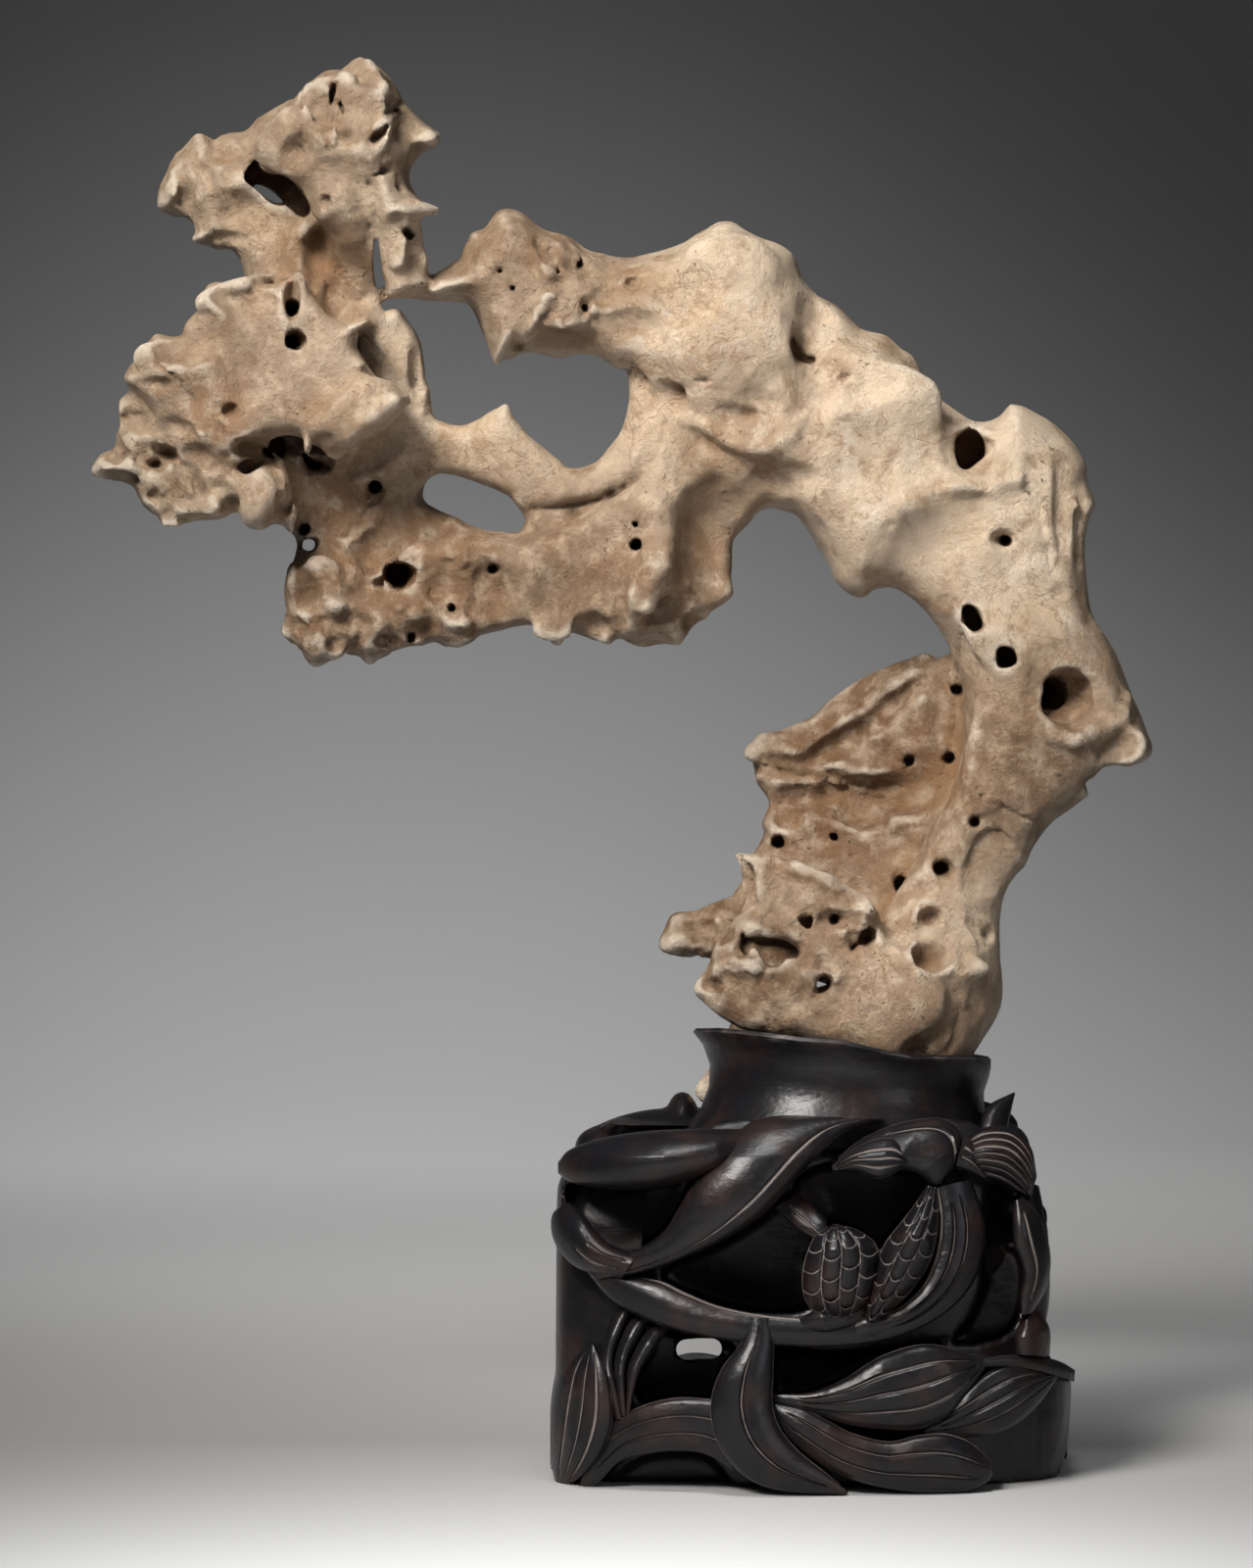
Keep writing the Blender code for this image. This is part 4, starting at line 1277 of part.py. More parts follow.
def main():
    for item in list(bpy.data.objects):
        bpy.data.objects.remove(item, do_unlink=True)
    stone = stone_field(STONE_STEP)
    points, quads = stone.skin()
    solid("rock", sway(points), quads, finish("pale_stone", STONE_COLOUR, 0.6), STONE_FACES)
    field = stand_field(STAND_STEP, stone)
    points, quads = field.skin()
    solid("stand", points, quads, finish("dark_wood", WOOD_COLOUR, 0.35), STAND_FACES)


main()
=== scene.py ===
"""Scholar's rock on a carved wooden stand: the fine surfaces, their finishes and the studio.

Stone and stand are drawn on one sheet of half-millimetre squares as they look from a sight
point in front, given depths, and turned into surfaces by joining and carving rounded shapes.
Metres, +Z up; the front faces -Y; the origin is the middle of the stand's underside.
"""
import math

import bpy
import numpy as np
import openvdb
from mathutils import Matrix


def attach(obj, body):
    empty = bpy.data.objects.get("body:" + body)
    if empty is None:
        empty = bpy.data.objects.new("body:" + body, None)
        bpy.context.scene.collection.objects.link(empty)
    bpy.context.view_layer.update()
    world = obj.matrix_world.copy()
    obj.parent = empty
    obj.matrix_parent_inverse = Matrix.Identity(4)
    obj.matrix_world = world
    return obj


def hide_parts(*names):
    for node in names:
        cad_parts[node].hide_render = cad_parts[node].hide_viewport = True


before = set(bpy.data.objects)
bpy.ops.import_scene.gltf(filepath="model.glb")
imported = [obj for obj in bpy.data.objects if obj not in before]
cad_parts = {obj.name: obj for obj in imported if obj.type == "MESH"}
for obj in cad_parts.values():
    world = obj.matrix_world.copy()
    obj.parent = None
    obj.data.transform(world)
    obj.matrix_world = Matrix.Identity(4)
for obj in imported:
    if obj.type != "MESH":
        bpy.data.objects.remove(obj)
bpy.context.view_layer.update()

bl_info = {
    "name": "Scholar's Rock on a Carved Stand",
    "version": (1, 0, 0),
    "blender": (4, 5, 0),
    "location": "3D View > Sidebar > Scholar's rock",
    "description": "A pierced, leaning stone on a dark carved wooden stand, with its studio",
    "category": "Add Mesh",
}

# Size of the whole, in millimetres, and the view the sheet is drawn for.
SHEET_X = 830.0           # column of the sheet over the middle of the stand
SHEET_Z = 1496.0          # row of the sheet at floor height
SIGHT_X = -95.0           # sight point, level with the middle of the object
SIGHT_Z = 348.0
SIGHT_DISTANCE = 2600.0
SCALE = 0.001             # millimetres to metres

# Stone
STONE_LOW = (-385, -100, 156)
STONE_HIGH = (185, 100, 731)
STONE_SEED = 7
SINK = 1.732              # sheet squares to the radius of an egg sunk half way
SEAT_LINE = ((740, 1102), (986, 1121))   # flat the stone stands on, across the sheet
WOBBLE = 1.8              # most that the walls of a worn hole wander
BROAD = 300               # a hollow wider than this, in squares, is pressed before the ribs
FRONT = -1                # which way the front and the back of the stone face
BACK = 1
# Rolling of the surface: bump to bump in mm, height, and height more on the crags.
ROLLING = ((36, 1.5, 0.0), (20, 0.2, 1.1))
LAST_RELIEF = ((6, 0.15, 0.4),)
CRAG_CELL = 18            # sharp ridges of the crags
CRAG_HEIGHT = 0.9
# Seeded dishes that meet in ridges: how many, smallest and widest reach, shallowest and deepest.
BROAD_SCALLOPS = (300, (15, 36), (1.2, 3.6))
SMALL_SCALLOPS = (500, (5, 12), (0.1, 0.8))
CRAG_SCALLOPS = (700, (4, 11), (0.3, 1.7))
FINE_SCALLOPS = (1500, (1.8, 4.2), (0.1, 0.6))
FINE_CRAG_SCALLOPS = (2200, (1.6, 3.8), (0.3, 1.2))
FLAKE_CELL = 5            # the finest flakes, from bump to bump
CREASE_PITCH = 6          # squares between the places where a crease finds the surface
WOBBLE_CELL = 7           # how far apart those walls swing
WELL_MOUTH = 12           # how far a well is cut in front of the surface
THROUGH = 150             # half length of a slot that goes right through
SEAT_GAP = 0.5            # clearance over the socket's floor

# Stand
STAND_LOW = (-146, -120, -14)
STAND_HIGH = (148, 124, 230)
BLOCK_REACH = 280.0       # half width of the bulging front, in squares
BLOCK_DEPTH = 100.0       # how far the front bulges
BLOCK_MIDDLE = 2.0
BLOCK_TURN_DEPTH = 102.0
BLOCK_TURN_REACH = 128.0
BLOCK_ROWS = (1090, 1140, 1180, 1250, 1350, 1530)
BLOCK_FULLNESS = (0.70, 0.82, 0.93, 0.98, 1.0, 1.0)
CORE_REACH = 134.0
CORE_DEPTH = 82.0
CORE_MIDDLE = 4.0
VOID_MOUTH = 130.0        # how far out from the middle the hollows are cut
PIERCING_RADIUS = 5.2
COLLAR_MIDDLE = 2.0
COLLAR_SQUARE = 2 / 2.3   # how square the collar's plan is
COLLAR_COUNT = 288
FAR = 40.0

# Flat masses of the stone: outline on the sheet, middle depth, half thickness, edge, lean, fillet.
MASSES = {
    "arm": ([
        (441, 278), (450, 273), (458, 267), (466, 261), (470, 250), (474, 243), (478, 234),
        (492, 230), (498, 221), (505, 212), (515, 208), (528, 210), (541, 218), (549, 228),
        (558, 235), (570, 238), (581, 243), (591, 251), (600, 255), (615, 259), (630, 264),
        (645, 265), (658, 262), (675, 258), (690, 253), (700, 249), (712, 241), (722, 235),
        (732, 228), (742, 225), (753, 226), (766, 233), (780, 239), (792, 243), (803, 250),
        (812, 259), (819, 271), (826, 284), (838, 297), (850, 305), (862, 314), (873, 325),
        (881, 333), (895, 337), (908, 342), (920, 355), (930, 361), (937, 372), (944, 384),
        (953, 396), (963, 407), (975, 416), (985, 422), (995, 427), (1006, 427), (1015, 424),
        (1022, 418), (1028, 410), (1035, 408), (1047, 411), (1060, 420), (1072, 429), (1085, 441),
        (1096, 451), (1105, 464), (1111, 477), (1112, 489), (1117, 500), (1123, 512), (1123, 519),
        (1117, 532), (1114, 548), (1113, 570), (1115, 590), (1118, 612), (1122, 630), (1130, 647),
        (1140, 668), (1149, 692), (1157, 715), (1164, 733), (1170, 749), (1175, 760), (1175, 769),
        (1168, 777), (1157, 781), (1146, 786), (1136, 796), (1124, 806), (1110, 817), (1094, 829),
        (1079, 841), (1067, 857), (1057, 872), (1050, 886), (1040, 894), (1030, 906), (1024, 922),
        (1021, 942), (1021, 962), (1022, 985), (1026, 1006), (1024, 1030), (1016, 1048),
        (1006, 1062), (994, 1080), (976, 1108), (966, 1140), (940, 1160), (860, 1150), (800, 1090),
        (760, 1040), (840, 1000), (900, 930), (930, 880), (965, 800), (975, 740), (978, 700),
        (972, 668), (965, 652), (957, 640), (946, 628), (932, 616), (918, 606), (904, 602),
        (892, 604), (883, 610), (872, 607), (862, 600), (854, 590), (849, 577), (840, 563),
        (830, 548), (819, 535), (808, 523), (796, 512), (780, 500), (760, 500), (740, 490),
        (720, 470), (700, 450), (680, 420), (660, 400), (640, 380), (632, 379), (622, 374),
        (612, 367), (600, 364), (588, 364), (575, 367), (562, 365), (549, 361), (535, 361),
        (522, 367), (513, 368), (507, 374), (501, 362), (494, 348), (488, 336), (481, 322),
        (473, 313), (460, 311), (440, 310), (425, 300),
    ], -2, 40, 34, (0.0, 0.0), 6),
    "bridge": ([
        (330, 330), (345, 325), (365, 324), (380, 320), (392, 314), (404, 311), (420, 310),
        (440, 309), (460, 311), (474, 313), (480, 300), (470, 270), (458, 268), (441, 277),
        (432, 278), (420, 280), (408, 276), (400, 270), (394, 282), (392, 294), (384, 304),
        (374, 314), (362, 318), (348, 318), (338, 314),
    ], -6, 9, 9, (0, 0), 5),
    "head": ([
        (369, 57), (381, 62), (393, 70), (403, 79), (411, 90), (418, 103), (428, 113), (438, 125),
        (449, 134), (452, 142), (446, 151), (434, 157), (425, 167), (421, 179), (425, 191),
        (434, 202), (442, 209), (451, 216), (445, 222), (434, 227), (434, 243), (437, 260),
        (438, 274), (428, 280), (412, 284), (396, 282), (388, 262), (384, 246), (376, 236),
        (352, 236), (330, 240), (316, 236), (308, 216), (300, 200), (286, 182), (272, 173),
        (264, 160), (262, 144), (270, 131), (287, 127), (290, 112), (300, 98), (312, 87),
        (325, 78), (337, 73), (349, 72), (358, 62),
    ], -10, 38, 30, (0, 0), 6),
    "lobe": ([
        (300, 100), (290, 103), (276, 112), (262, 120), (255, 129), (247, 134), (235, 135),
        (225, 139), (220, 144), (212, 140), (205, 137), (198, 139), (192, 146), (184, 154),
        (177, 163), (172, 173), (167, 184), (161, 193), (160, 205), (163, 214), (172, 218),
        (183, 222), (192, 228), (196, 235), (193, 243), (196, 249), (206, 253), (215, 255),
        (222, 259), (229, 257), (238, 258), (244, 266), (248, 278), (250, 292), (256, 304),
        (290, 310), (306, 290), (316, 262), (330, 240), (340, 200), (330, 130),
    ], 10, 26, 24, (-0.1, 0), 6),
    "neck": ([
        (290, 230), (330, 222), (384, 225), (384, 246), (384, 262), (385, 282), (390, 298),
        (386, 306), (376, 318), (364, 326), (346, 326), (330, 330), (300, 320), (270, 310),
        (262, 280), (275, 250),
    ], 4, 30, 26, (0, 0), 9),
    "column": ([
        (384, 230), (432, 228), (434, 243), (437, 260), (440, 278), (446, 285), (440, 300),
        (404, 308), (392, 300), (391, 285), (389, 268), (386, 250),
    ], -14, 17, 14, (0, 0), 4),
    "plate": ([
        (222, 286), (211, 291), (208, 300), (206, 312), (199, 320), (190, 331), (187, 342),
        (180, 344), (171, 343), (160, 340), (153, 345), (144, 356), (137, 366), (129, 376),
        (125, 384), (128, 392), (134, 399), (140, 408), (150, 425), (160, 440), (180, 455),
        (205, 466), (225, 472), (240, 476), (248, 470), (262, 462), (270, 450), (280, 445),
        (295, 445), (305, 452), (315, 462), (325, 470), (340, 476), (352, 474), (364, 464),
        (378, 452), (394, 440), (408, 425), (417, 411), (413, 400), (404, 390), (394, 384),
        (386, 380), (372, 360), (368, 350), (370, 338), (380, 330), (378, 322), (365, 325),
        (350, 323), (341, 316), (336, 306), (329, 297), (326, 284), (319, 273), (310, 266),
        (302, 268), (296, 276), (280, 281), (260, 284), (240, 287),
    ], -36, 22, 20, (0.02, 0.06), 5),
    "cluster": ([
        (134, 400), (129, 403), (123, 409), (122, 420), (121, 432), (117, 441), (113, 452),
        (104, 458), (97, 463), (92, 472), (89, 481), (92, 488), (100, 491), (110, 493), (120, 496),
        (132, 500), (138, 507), (142, 516), (150, 524), (157, 531), (160, 538), (167, 543),
        (176, 544), (183, 547), (192, 543), (201, 540), (212, 538), (225, 535), (235, 530),
        (246, 527), (251, 534), (257, 540), (265, 542), (275, 541), (285, 540), (292, 542),
        (298, 548), (310, 530), (300, 500), (290, 470), (250, 440), (200, 420), (160, 400),
    ], -26, 22, 18, (-0.06, 0.0), 5),
    "wing": ([
        (378, 322), (390, 313), (401, 309), (412, 311), (420, 324), (428, 340), (433, 357),
        (434, 378), (437, 400), (440, 420), (446, 429), (460, 434), (470, 445), (460, 470),
        (440, 480), (434, 495), (430, 506), (400, 520), (370, 500), (350, 440), (352, 380),
        (362, 340),
    ], -2, 18, 16, (0, 0), 5),
    "web": ([
        (300, 440), (380, 430), (430, 440), (450, 470), (436, 492), (432, 502), (440, 512),
        (462, 521), (480, 534), (500, 545), (520, 560), (480, 600), (400, 610), (330, 600),
        (305, 575), (301, 560), (297, 548), (280, 530), (270, 490), (280, 460),
    ], -3, 20, 18, (0, 0), 6),
    "saddle": ([
        (430, 400), (437, 400), (440, 422), (448, 430), (460, 434), (478, 433), (490, 427),
        (500, 421), (510, 416), (517, 412), (522, 418), (527, 428), (535, 437), (545, 447),
        (560, 459), (572, 468), (580, 474), (590, 475), (600, 473), (609, 470), (618, 464),
        (628, 452), (635, 438), (639, 420), (640, 400), (640, 380), (656, 376), (672, 400),
        (675, 440), (664, 480), (640, 505), (600, 528), (560, 545), (534, 545), (533, 530),
        (525, 518), (518, 508), (508, 503), (495, 499), (480, 494), (465, 489), (452, 486),
        (444, 488), (434, 494), (420, 500), (410, 470), (415, 430),
    ], -9, 11, 10, (0, 0), 4),
    "jaw": ([
        (304, 562), (297, 569), (290, 577), (289, 590), (287, 604), (289, 620), (287, 632),
        (283, 645), (290, 653), (300, 658), (307, 665), (313, 674), (322, 680), (331, 678),
        (340, 672), (345, 667), (355, 668), (365, 671), (373, 678), (380, 676), (386, 671),
        (395, 668), (404, 663), (415, 660), (430, 659), (441, 657), (455, 661), (468, 663),
        (480, 661), (487, 656), (493, 651), (505, 648), (520, 644), (535, 642), (548, 643),
        (555, 650), (560, 659), (568, 663), (576, 661), (581, 653), (586, 649), (600, 654),
        (612, 657), (622, 658), (628, 653), (635, 652), (645, 657), (660, 658), (680, 657),
        (692, 661), (700, 655), (708, 645), (716, 638), (724, 634), (728, 627), (740, 618),
        (750, 609), (751, 600), (749, 585), (751, 568), (752, 555), (758, 545), (768, 535),
        (776, 525), (790, 521), (806, 522), (820, 500), (790, 470), (740, 440), (700, 420),
        (672, 400), (662, 450), (650, 482), (620, 505), (590, 520), (560, 535), (533, 541),
        (515, 541), (495, 538), (480, 533), (468, 527), (450, 530), (420, 545), (380, 555),
        (340, 560),
    ], -6, 30, 24, (0, 0), 7),
    "fin": ([
        (985, 660), (970, 664), (960, 667), (948, 671), (935, 671), (920, 673), (908, 679),
        (895, 688), (880, 698), (866, 712), (850, 724), (835, 737), (815, 748), (797, 756),
        (785, 764), (770, 766), (766, 775), (768, 790), (770, 801), (778, 812), (782, 820),
        (778, 830), (774, 841), (776, 851), (770, 863), (757, 880), (755, 898), (760, 960),
        (850, 1010), (950, 1000), (1000, 900), (1010, 800), (1010, 700),
    ], 22, 21, 17, (-0.1, 0.02), 7),
    "stub": ([
        (790, 890), (765, 892), (755, 900), (746, 912), (730, 918), (714, 925), (698, 930),
        (686, 935), (681, 948), (675, 962), (680, 971), (695, 975), (712, 978), (730, 985),
        (800, 990),
    ], 26, 17, 13, (0, 0), 5),
    "foot_plate": ([
        (745, 872), (750, 865), (760, 864), (769, 868), (785, 868), (798, 876), (815, 884),
        (835, 893), (855, 900), (868, 908), (880, 915), (892, 922), (899, 932), (904, 950),
        (920, 985), (940, 1030), (920, 1085), (885, 1082), (860, 1074), (830, 1066), (800, 1060),
        (770, 1054), (745, 1046), (728, 1036), (716, 1026), (706, 1018), (703, 1008),
        (707, 998), (718, 986), (722, 972), (728, 958), (741, 950), (750, 932), (757, 912),
        (754, 897), (750, 884),
    ], -36, 22, 18, (0.05, 0.0), 6),
}
# Hollows in the front: column, row, half width, half height, depth, turn, soft rim.
DENTS = [
    (362, 104, 30, 30, 1.2, -15, 7), (418, 88, 16, 26, 8, 20, 6),
    (425, 128, 20, 16, 6, 0, 6), (345, 180, 34, 18, 4, 0, 5),
    (300, 160, 14, 18, 4, 0, 4), (370, 205, 18, 20, 4, 0, 5),
    (428, 172, 12, 22, 5, 0, 4), (412, 190, 18, 4, 1.3, -20, 2),
    (398, 172, 16, 4, 1.2, -10, 2), (428, 258, 12, 24, 5, 5, 4),
    (405, 250, 10, 30, 2.5, 0, 3), (250, 226, 44, 30, 7, -10, 4),
    (225, 158, 15, 6, 2.5, -10, 3), (186, 180, 7, 24, 4, -25, 3),
    (205, 170, 6, 22, 3, -25, 2), (190, 205, 9, 16, 4, 0, 3),
    (245, 165, 18, 12, 3, 0, 4), (275, 112, 12, 6, 4, 30, 3),
    (230, 245, 20, 8, 3, 0, 3), (275, 262, 12, 26, 3, 10, 4),
    (352, 290, 28, 30, 7, 0, 10), (327, 262, 15, 34, 13, -18, 5),
    (250, 303, 34, 17, 6, 5, 2),
    (299, 302, 9, 26, 12, 0, 1), (300, 292, 7, 12, 6, 0, 1),
    (200, 340, 22, 26, 3.5, 0, 5), (175, 356, 16, 12, 4, 0, 4),
    (155, 392, 24, 7, 4, 0, 3), (255, 350, 36, 46, 5, 0, 7),
    (330, 350, 30, 36, 4, 0, 6), (205, 420, 40, 30, 3, 0, 6),
    (290, 400, 44, 30, 3, 0, 6), (340, 300, 9, 20, 4, 0, 3),
    (378, 352, 10, 14, 2, 0, 4), (392, 452, 22, 30, 6, 40, 3),
    (366, 474, 18, 14, 6, 20, 3), (405, 500, 22, 36, 6, 10, 5),
    (335, 385, 22, 18, 3, 0, 4), (268, 463, 26, 13, 11, 18, 1.5),
    (302, 452, 12, 12, 8, 0, 1.5), (325, 470, 15, 12, 10, 0, 1.5),
    (171, 464, 15, 8, 10, 25, 1), (160, 474, 10, 5, 6, 0, 1),
    (203, 494, 6, 17, 6, -20, 1.5), (157, 508, 7, 7, 4, 0, 1.5),
    (145, 470, 22, 14, 3, 0, 4), (115, 462, 14, 10, 3, 0, 3),
    (118, 488, 22, 6, 4, 0, 3), (185, 515, 34, 12, 4, 10, 3),
    (225, 500, 18, 10, 4, 30, 3), (140, 430, 14, 12, 5, 0, 3),
    (128, 425, 6, 8, 4, 0, 2), (175, 440, 20, 12, 3, 0, 4), (238, 520, 9, 12, 5, 0, 3),
    (165, 525, 14, 12, 4, 20, 3), (205, 535, 24, 6, 3, 10, 2),
    (190, 480, 14, 8, 3, 30, 2), (325, 470, 16, 14, 9, 0, 3),
    (340, 510, 34, 36, 8, 0, 6), (292, 520, 8, 14, 6, -15, 2),
    (382, 497, 10, 10, 6, 0, 2), (385, 560, 20, 20, 7, 0, 4),
    (410, 530, 16, 20, 4, 0, 4), (450, 540, 14, 10, 4, 0, 3),
    (430, 470, 12, 22, 3, 0, 4), (400, 350, 16, 24, 3, 0, 5),
    (425, 375, 6, 20, 3, 0, 2), (508, 610, 34, 34, 9, 0, 7),
    (375, 600, 26, 18, 7, 10, 4), (310, 605, 14, 22, 4, 0, 4),
    (360, 635, 24, 9, 5, 0, 3), (300, 640, 12, 8, 4, 0, 3), (345, 660, 10, 8, 4, 0, 3),
    (320, 635, 16, 6, 3, 0, 2), (430, 645, 18, 10, 5, 0, 3),
    (460, 600, 20, 24, 4, 0, 5), (590, 590, 44, 50, 7, 0, 8),
    (605, 640, 18, 12, 4, 0, 4),
    (620, 545, 34, 26, 4, 0, 6), (735, 555, 46, 72, 19, -6, 10),
    (690, 622, 26, 20, 5, 30, 1.5), (668, 632, 7, 5, 4, 30, 1.5), (716, 640, 20, 12, 4, 30, 3),
    (780, 500, 40, 16, 4, -20, 8), (475, 650, 12, 6, 3, 0, 2),
    (395, 655, 12, 8, 4, 0, 2), (695, 470, 30, 30, 4, 0, 7),
    (580, 292, 26, 9, 1.5, 5, 4), (588, 268, 6, 9, 6, 30, 1.5),
    (646, 288, 9, 8, 6, 0, 1.5), (673, 263, 8, 4, 5, 0, 1),
    (598, 312, 5, 8, 6, 0, 1.5), (564, 255, 4, 4, 4, 0, 1), (553, 250, 4, 3, 3, 0, 1),
    (515, 300, 32, 46, 4, 0, 5), (575, 350, 30, 12, 4, 0, 4),
    (640, 340, 26, 20, 3, 0, 5), (700, 300, 26, 22, 3, 0, 6),
    (622, 300, 16, 12, 3, 0, 4), (832, 330, 18, 80, 6, -8, 9),
    (822, 352, 16, 18, 3, 0, 4),
    (840, 312, 18, 18, 4, 0, 4), (862, 386, 8, 5, 2, -30, 1.5),
    (826, 420, 18, 50, 6, 5, 6),
    (752, 424, 46, 13, 4, -12, 4), (685, 402, 14, 12, 2, 0, 3),
    (655, 385, 12, 9, 1.5, 0, 3), (715, 389, 9, 3, 1, 0, 1),
    (900, 470, 70, 44, 6, -15, 10), (940, 560, 60, 34, 6, -30, 9),
    (880, 380, 30, 24, 2.5, 0, 6), (992, 457, 22, 24, 6, 0, 4),
    (1064, 520, 7, 44, 0.8, -5, 3),
    (1092, 500, 8, 44, 1.2, 5, 4), (1025, 550, 12, 9, 5, 0, 2),
    (1045, 560, 30, 20, 3, 0, 5), (1070, 610, 40, 26, 4, -20, 7),
    (1010, 600, 34, 30, 3, 0, 6), (1104, 545, 8, 30, 1.5, 0, 3),
    (1040, 515, 18, 6, 1.5, 15, 2), (1091, 713, 30, 30, 12, 0, 2),
    (1124, 712, 26, 24, 4, 0, 3), (1142, 764, 20, 22, 4, 0, 3),
    (1050, 790, 50, 34, 5, 20, 8),
    (955, 783, 24, 20, 5, 0, 4), (915, 716, 44, 9, 6, -36, 4),
    (1030, 840, 30, 18, 4, 0, 5), (1060, 700, 10, 20, 2, 0, 3),
    (1010, 900, 18, 40, 1.5, 0, 8), (962, 735, 12, 60, 6, -8, 5),
    (850, 762, 56, 12, 9, -30, 4), (862, 813, 92, 20, 15, -3, 4), (938, 798, 34, 26, 9, 0, 5),
    (880, 770, 40, 14, 4, 10, 5), (800, 835, 20, 12, 5, 0, 3),
    (800, 780, 22, 8, 3, 10, 3), (880, 830, 24, 12, 5, 0, 4),
    (840, 850, 40, 20, 4, 10, 5), (795, 858, 6, 5, 4, 0, 1.5),
    (820, 790, 40, 6, 2.5, 0, 3), (950, 936, 12, 10, 6, 0, 1.2),
    (951, 976, 19, 14, 6.5, 0, 1.2), (908, 967, 8, 7, 3, 0, 1.5),
    (898, 941, 9, 9, 4, 0, 1.5), (970, 1060, 50, 26, 1.5, 5, 9),
    (960, 920, 44, 60, 6, 0, 6), (900, 870, 30, 24, 3, 0, 5),
    (1012, 955, 8, 7, 4, 0, 1.5), (790, 966, 30, 13, 4, 10, 2),
    (757, 958, 8, 14, 3, 0, 1.5),
    (856, 940, 24, 11, 6, -4, 1.5),
    (872, 960, 9, 9, 4, 0, 1.5),
    (735, 1000, 16, 8, 3, 10, 2), (722, 1004, 14, 4, 6, 10, 1.5),
    (790, 915, 36, 24, 3, -20, 5), (760, 905, 12, 20, 3, 0, 4),
    (800, 1015, 40, 14, 1.5, 0, 6), (715, 950, 20, 12, 3, 20, 3),
]
# The same at the back.
BACK_DENTS = [
    (330, 120, 40, 30, 7, 10, 4), (390, 160, 18, 26, 6, -20, 3),
    (230, 200, 30, 22, 5, 10, 4), (360, 270, 26, 40, 6, 0, 4),
    (250, 370, 50, 34, 8, 15, 5), (320, 420, 26, 34, 7, -10, 4),
    (180, 420, 30, 30, 6, 0, 4), (190, 490, 40, 20, 6, 10, 3),
    (350, 520, 40, 30, 8, 0, 5), (350, 610, 36, 26, 8, 10, 3),
    (450, 600, 40, 24, 9, -10, 4), (560, 590, 40, 36, 8, 0, 5),
    (650, 600, 40, 36, 9, 10, 4), (680, 500, 50, 40, 8, 0, 6),
    (560, 290, 40, 26, 7, 10, 4), (660, 330, 50, 36, 8, 0, 5),
    (760, 300, 44, 46, 7, -15, 5), (850, 400, 60, 40, 9, 35, 5),
    (920, 510, 60, 44, 9, 35, 5), (1030, 480, 40, 50, 9, 0, 5),
    (1040, 600, 40, 50, 8, 10, 5), (1070, 700, 44, 40, 9, 0, 4),
    (1010, 780, 40, 50, 8, 20, 4), (900, 760, 50, 34, 8, 20, 4),
    (830, 820, 40, 26, 7, 0, 4), (960, 900, 44, 50, 8, 0, 5),
    (880, 960, 40, 34, 8, 10, 4), (790, 960, 34, 30, 6, 0, 4),
]
# Swellings of the front: column, row, half width, half height, height, turn, fillet.
LUMPS = [
    (300, 145, 30, 34, 5, 0, 5), (350, 120, 50, 44, 6, 0, 6),
    (275, 150, 16, 20, 6, 0, 4), (365, 373, 10, 8, 4, 0, 3),
    (265, 508, 24, 32, 10, 0, 4), (315, 450, 9, 18, 5, 0, 2.5), (356, 418, 46, 28, 7, -24, 3),
    (250, 310, 44, 20, 4, 0, 5), (160, 365, 24, 18, 4, 0, 4),
    (360, 548, 24, 18, 7, 0, 3), (575, 328, 32, 14, 5, 0, 4),
    (350, 620, 26, 20, 4, 0, 4), (430, 570, 24, 16, 5, 0, 4),
    (330, 585, 24, 20, 4, 0, 4), (745, 270, 44, 34, 6, 0, 8),
    (745, 350, 54, 40, 5, 0, 9), (1036, 490, 24, 12, 3.5, -8, 5),
    (985, 498, 30, 9, 4, 8, 4), (900, 420, 60, 50, 5, 0, 10),
    (1030, 640, 40, 40, 4, 0, 8), (1150, 760, 22, 20, 7, 0, 5),
    (1000, 760, 16, 60, 5, 5, 6), (955, 988, 50, 16, 4, 0, 7),
    (800, 1000, 60, 24, 4, 0, 6), (915, 1020, 44, 40, 5, 0, 9),
    (880, 935, 20, 16, 5, 0, 3), (670, 598, 30, 40, 8, -12, 3),
    (800, 770, 30, 16, 4, 30, 5), (568, 636, 26, 22, 3, 0, 5),
    (330, 655, 22, 14, 5, 20, 3), (300, 590, 10, 20, 5, 0, 3),
]
